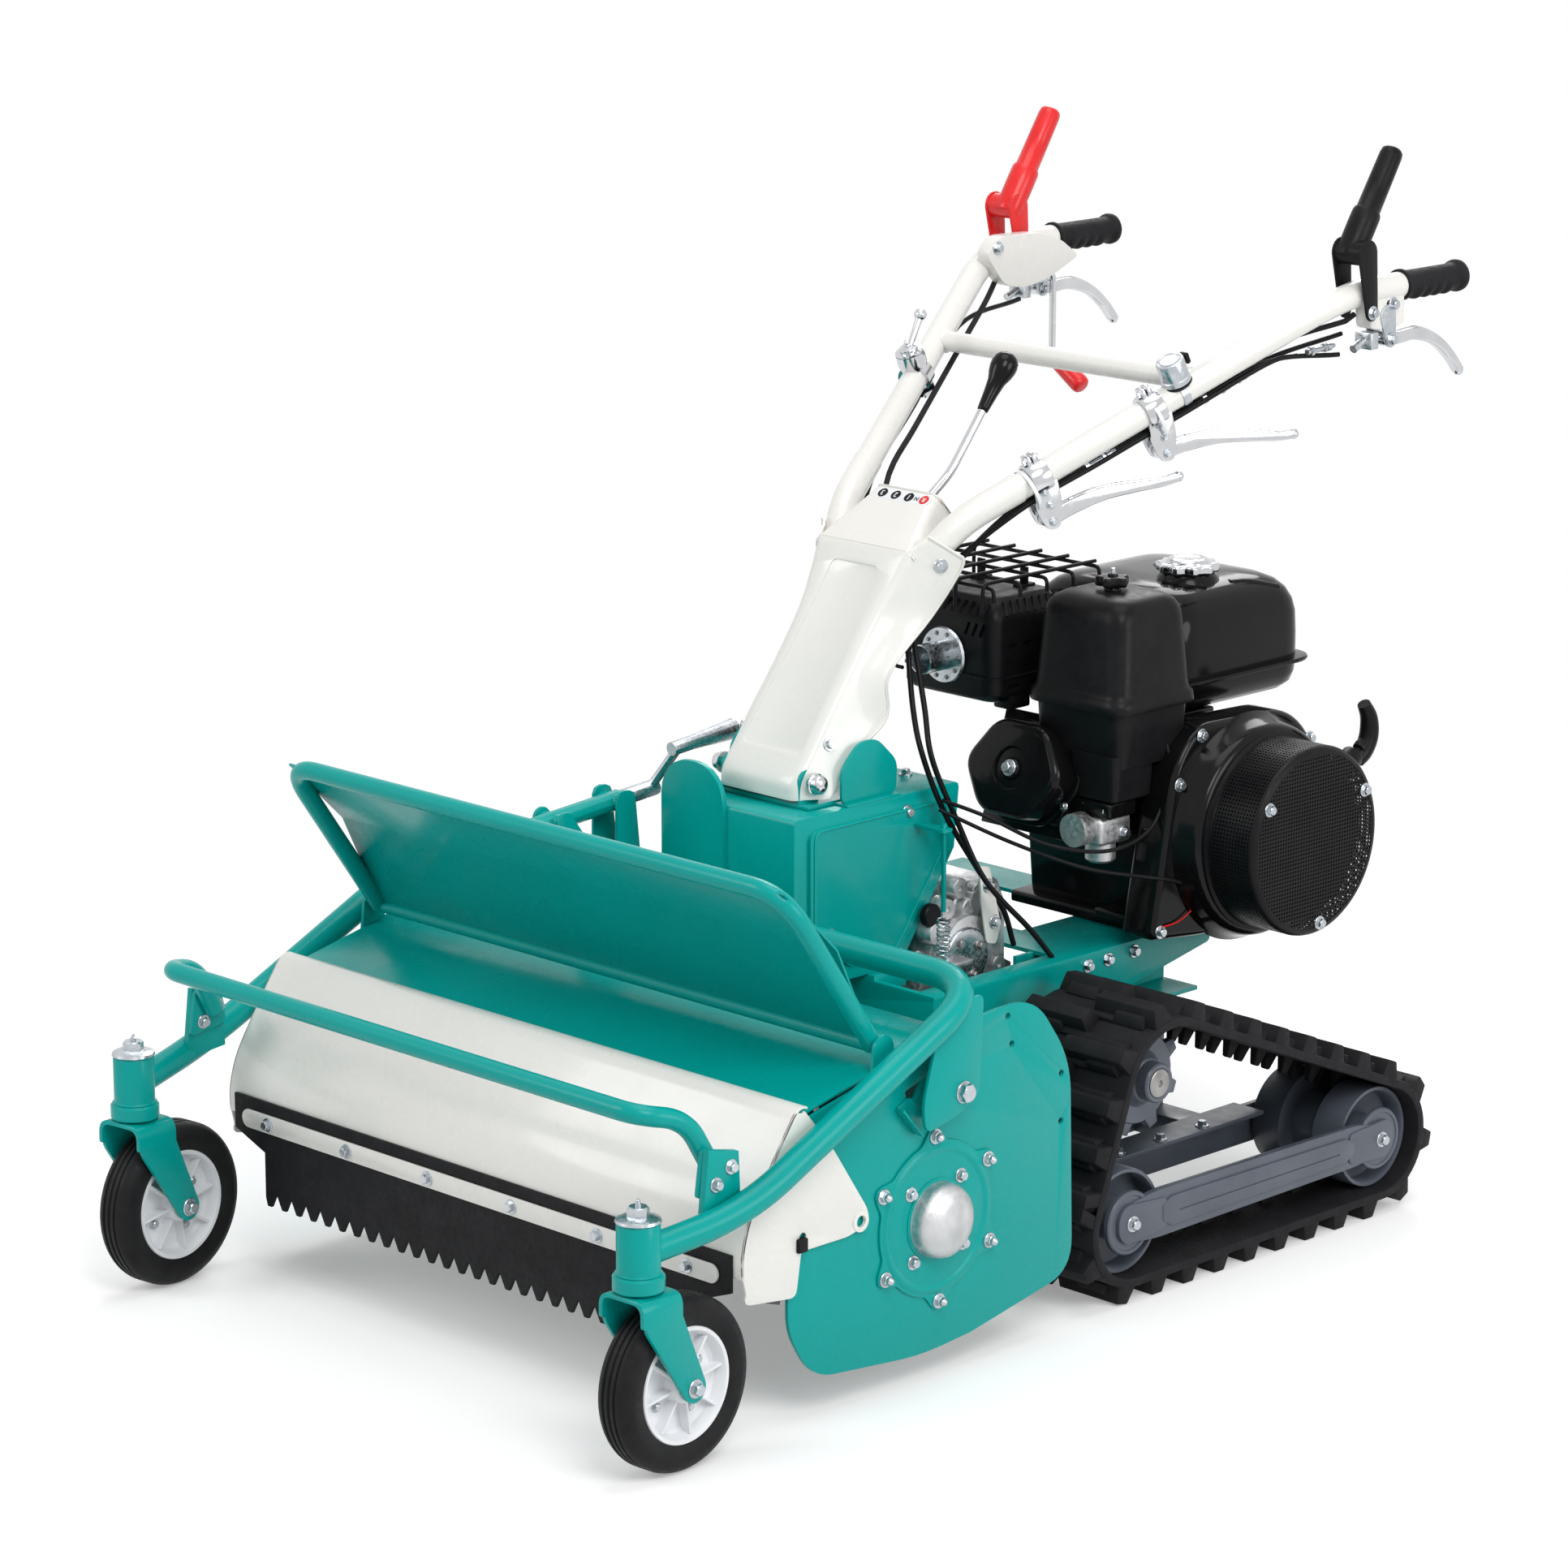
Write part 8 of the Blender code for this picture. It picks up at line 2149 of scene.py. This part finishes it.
HANGING = Vector((0, 0.008, -0.0225))
upper = []
for i, (start, drop) in enumerate((((0.268, 0.54, 1.024), 0.0), ((0.258, 0.556, 1.046), 0.0055),
        ((0.262, 0.47, 1.03), -0.0055))):
    side_step = AHEAD.cross(HANGING).normalized() * drop
    path = [Vector(start)] + [A.lerp(B, share) + HANGING + side_step
        for share in (0.84, 0.6, 0.36, 0.12)]
    path += [Vector((0.066 + drop, 0.066, 0.79)), Vector((0.052 + drop, 0.046, 0.74))]
    upper.append(bent(flowing(path, 8), 0.003, 12))
far = [flipped(p, -1) for p in (Vector((0.262, 0.556, 1.03)), A.lerp(B, 0.8) + HANGING,
    A.lerp(B, 0.45) + HANGING, A.lerp(B, 0.12) + HANGING, Vector((0.064, 0.062, 0.785)))]
upper.append(bent(flowing(far, 8), 0.003, 12))
close(upper, "handle_cables", handle_body, "black", smooth=60)
spots = ((0.36, 1), (0.7, 1.05), (0.75, 1.05))
places = [A.lerp(B, share) + HANGING * drop for share, drop in spots]
made = [adjuster(place, AHEAD) for place in places]
made.append(adjuster((0.263, 0.513, 1.0335), (0, 1, 0.05)))
close(made, "cable_adjusters", handle_body, "zinc", smooth=35)
ties = []
for share in (0.52, 0.16):
    tie = round_ring(0.0255, 0.0265, -0.0022, 0.0022, steps=40)
    ties.append(put(tie, facing(A.lerp(B, share) + HANGING * 0.42, AHEAD)))
close(ties, "cable_ties", handle_body, "white", smooth=50)
print("upper cables:", len(upper), "adjusters:", len(made))

# %% [markdown]
# The lower cables hang from the console to the drive and the engine. Each goes through a few points
# on one smooth curve, and a thin red wire leads from the engine to the stop switch's side.

# %% Cables on the machine
lower = [([(0.06, 0.03, 0.73), (0.098, 0.01, 0.655), (0.126, -0.006, 0.6), (0.133, 0.03, 0.52),
    (0.16, 0.05, 0.45), (0.18, 0.105, 0.385), (0.186, 0.138, 0.3455)], 0.0034),
    ([(0.052, 0.028, 0.73), (0.09, 0.0, 0.65), (0.116, -0.01, 0.6), (0.122, 0.02, 0.53),
    (0.128, 0.07, 0.455), (0.132, 0.11, 0.4), (0.134, 0.128, 0.352)], 0.0034),
    ([(0.128, 0.01, 0.548), (0.18, 0.03, 0.534), (0.228, 0.082, 0.5), (0.246, 0.17, 0.48),
    (0.25, 0.24, 0.498), (0.246, 0.272, 0.56), (0.236, 0.276, 0.596)], 0.0024),
    ([(0.128, 0.004, 0.538), (0.19, 0.06, 0.5), (0.232, 0.14, 0.462), (0.256, 0.215, 0.442),
    (0.27, 0.262, 0.43), (0.27, 0.3, 0.408)], 0.0024)]
close([bent(flowing(path, 8), radius, 12) for path, radius in lower], "chassis_cables", "machine",
    "black", smooth=60)
wire = flowing([(0.27, 0.3, 0.41), (0.27, 0.292, 0.392), (0.269, 0.268, 0.38),
    (0.268, 0.24, 0.378)], 8)
close(bent(wire, 0.001, 10), "stop_wire", "machine", "red", smooth=60)
print("lower cables:", len(lower))

# %% [markdown]
# ## Closing
# The bolt templates are deleted, and the box round the shown objects, floor left out, is worked
# out.

# %% Size and finish
for template in (BOLT, DOME, BIG_BOLT):
    bpy.data.objects.remove(template)
low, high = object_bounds()
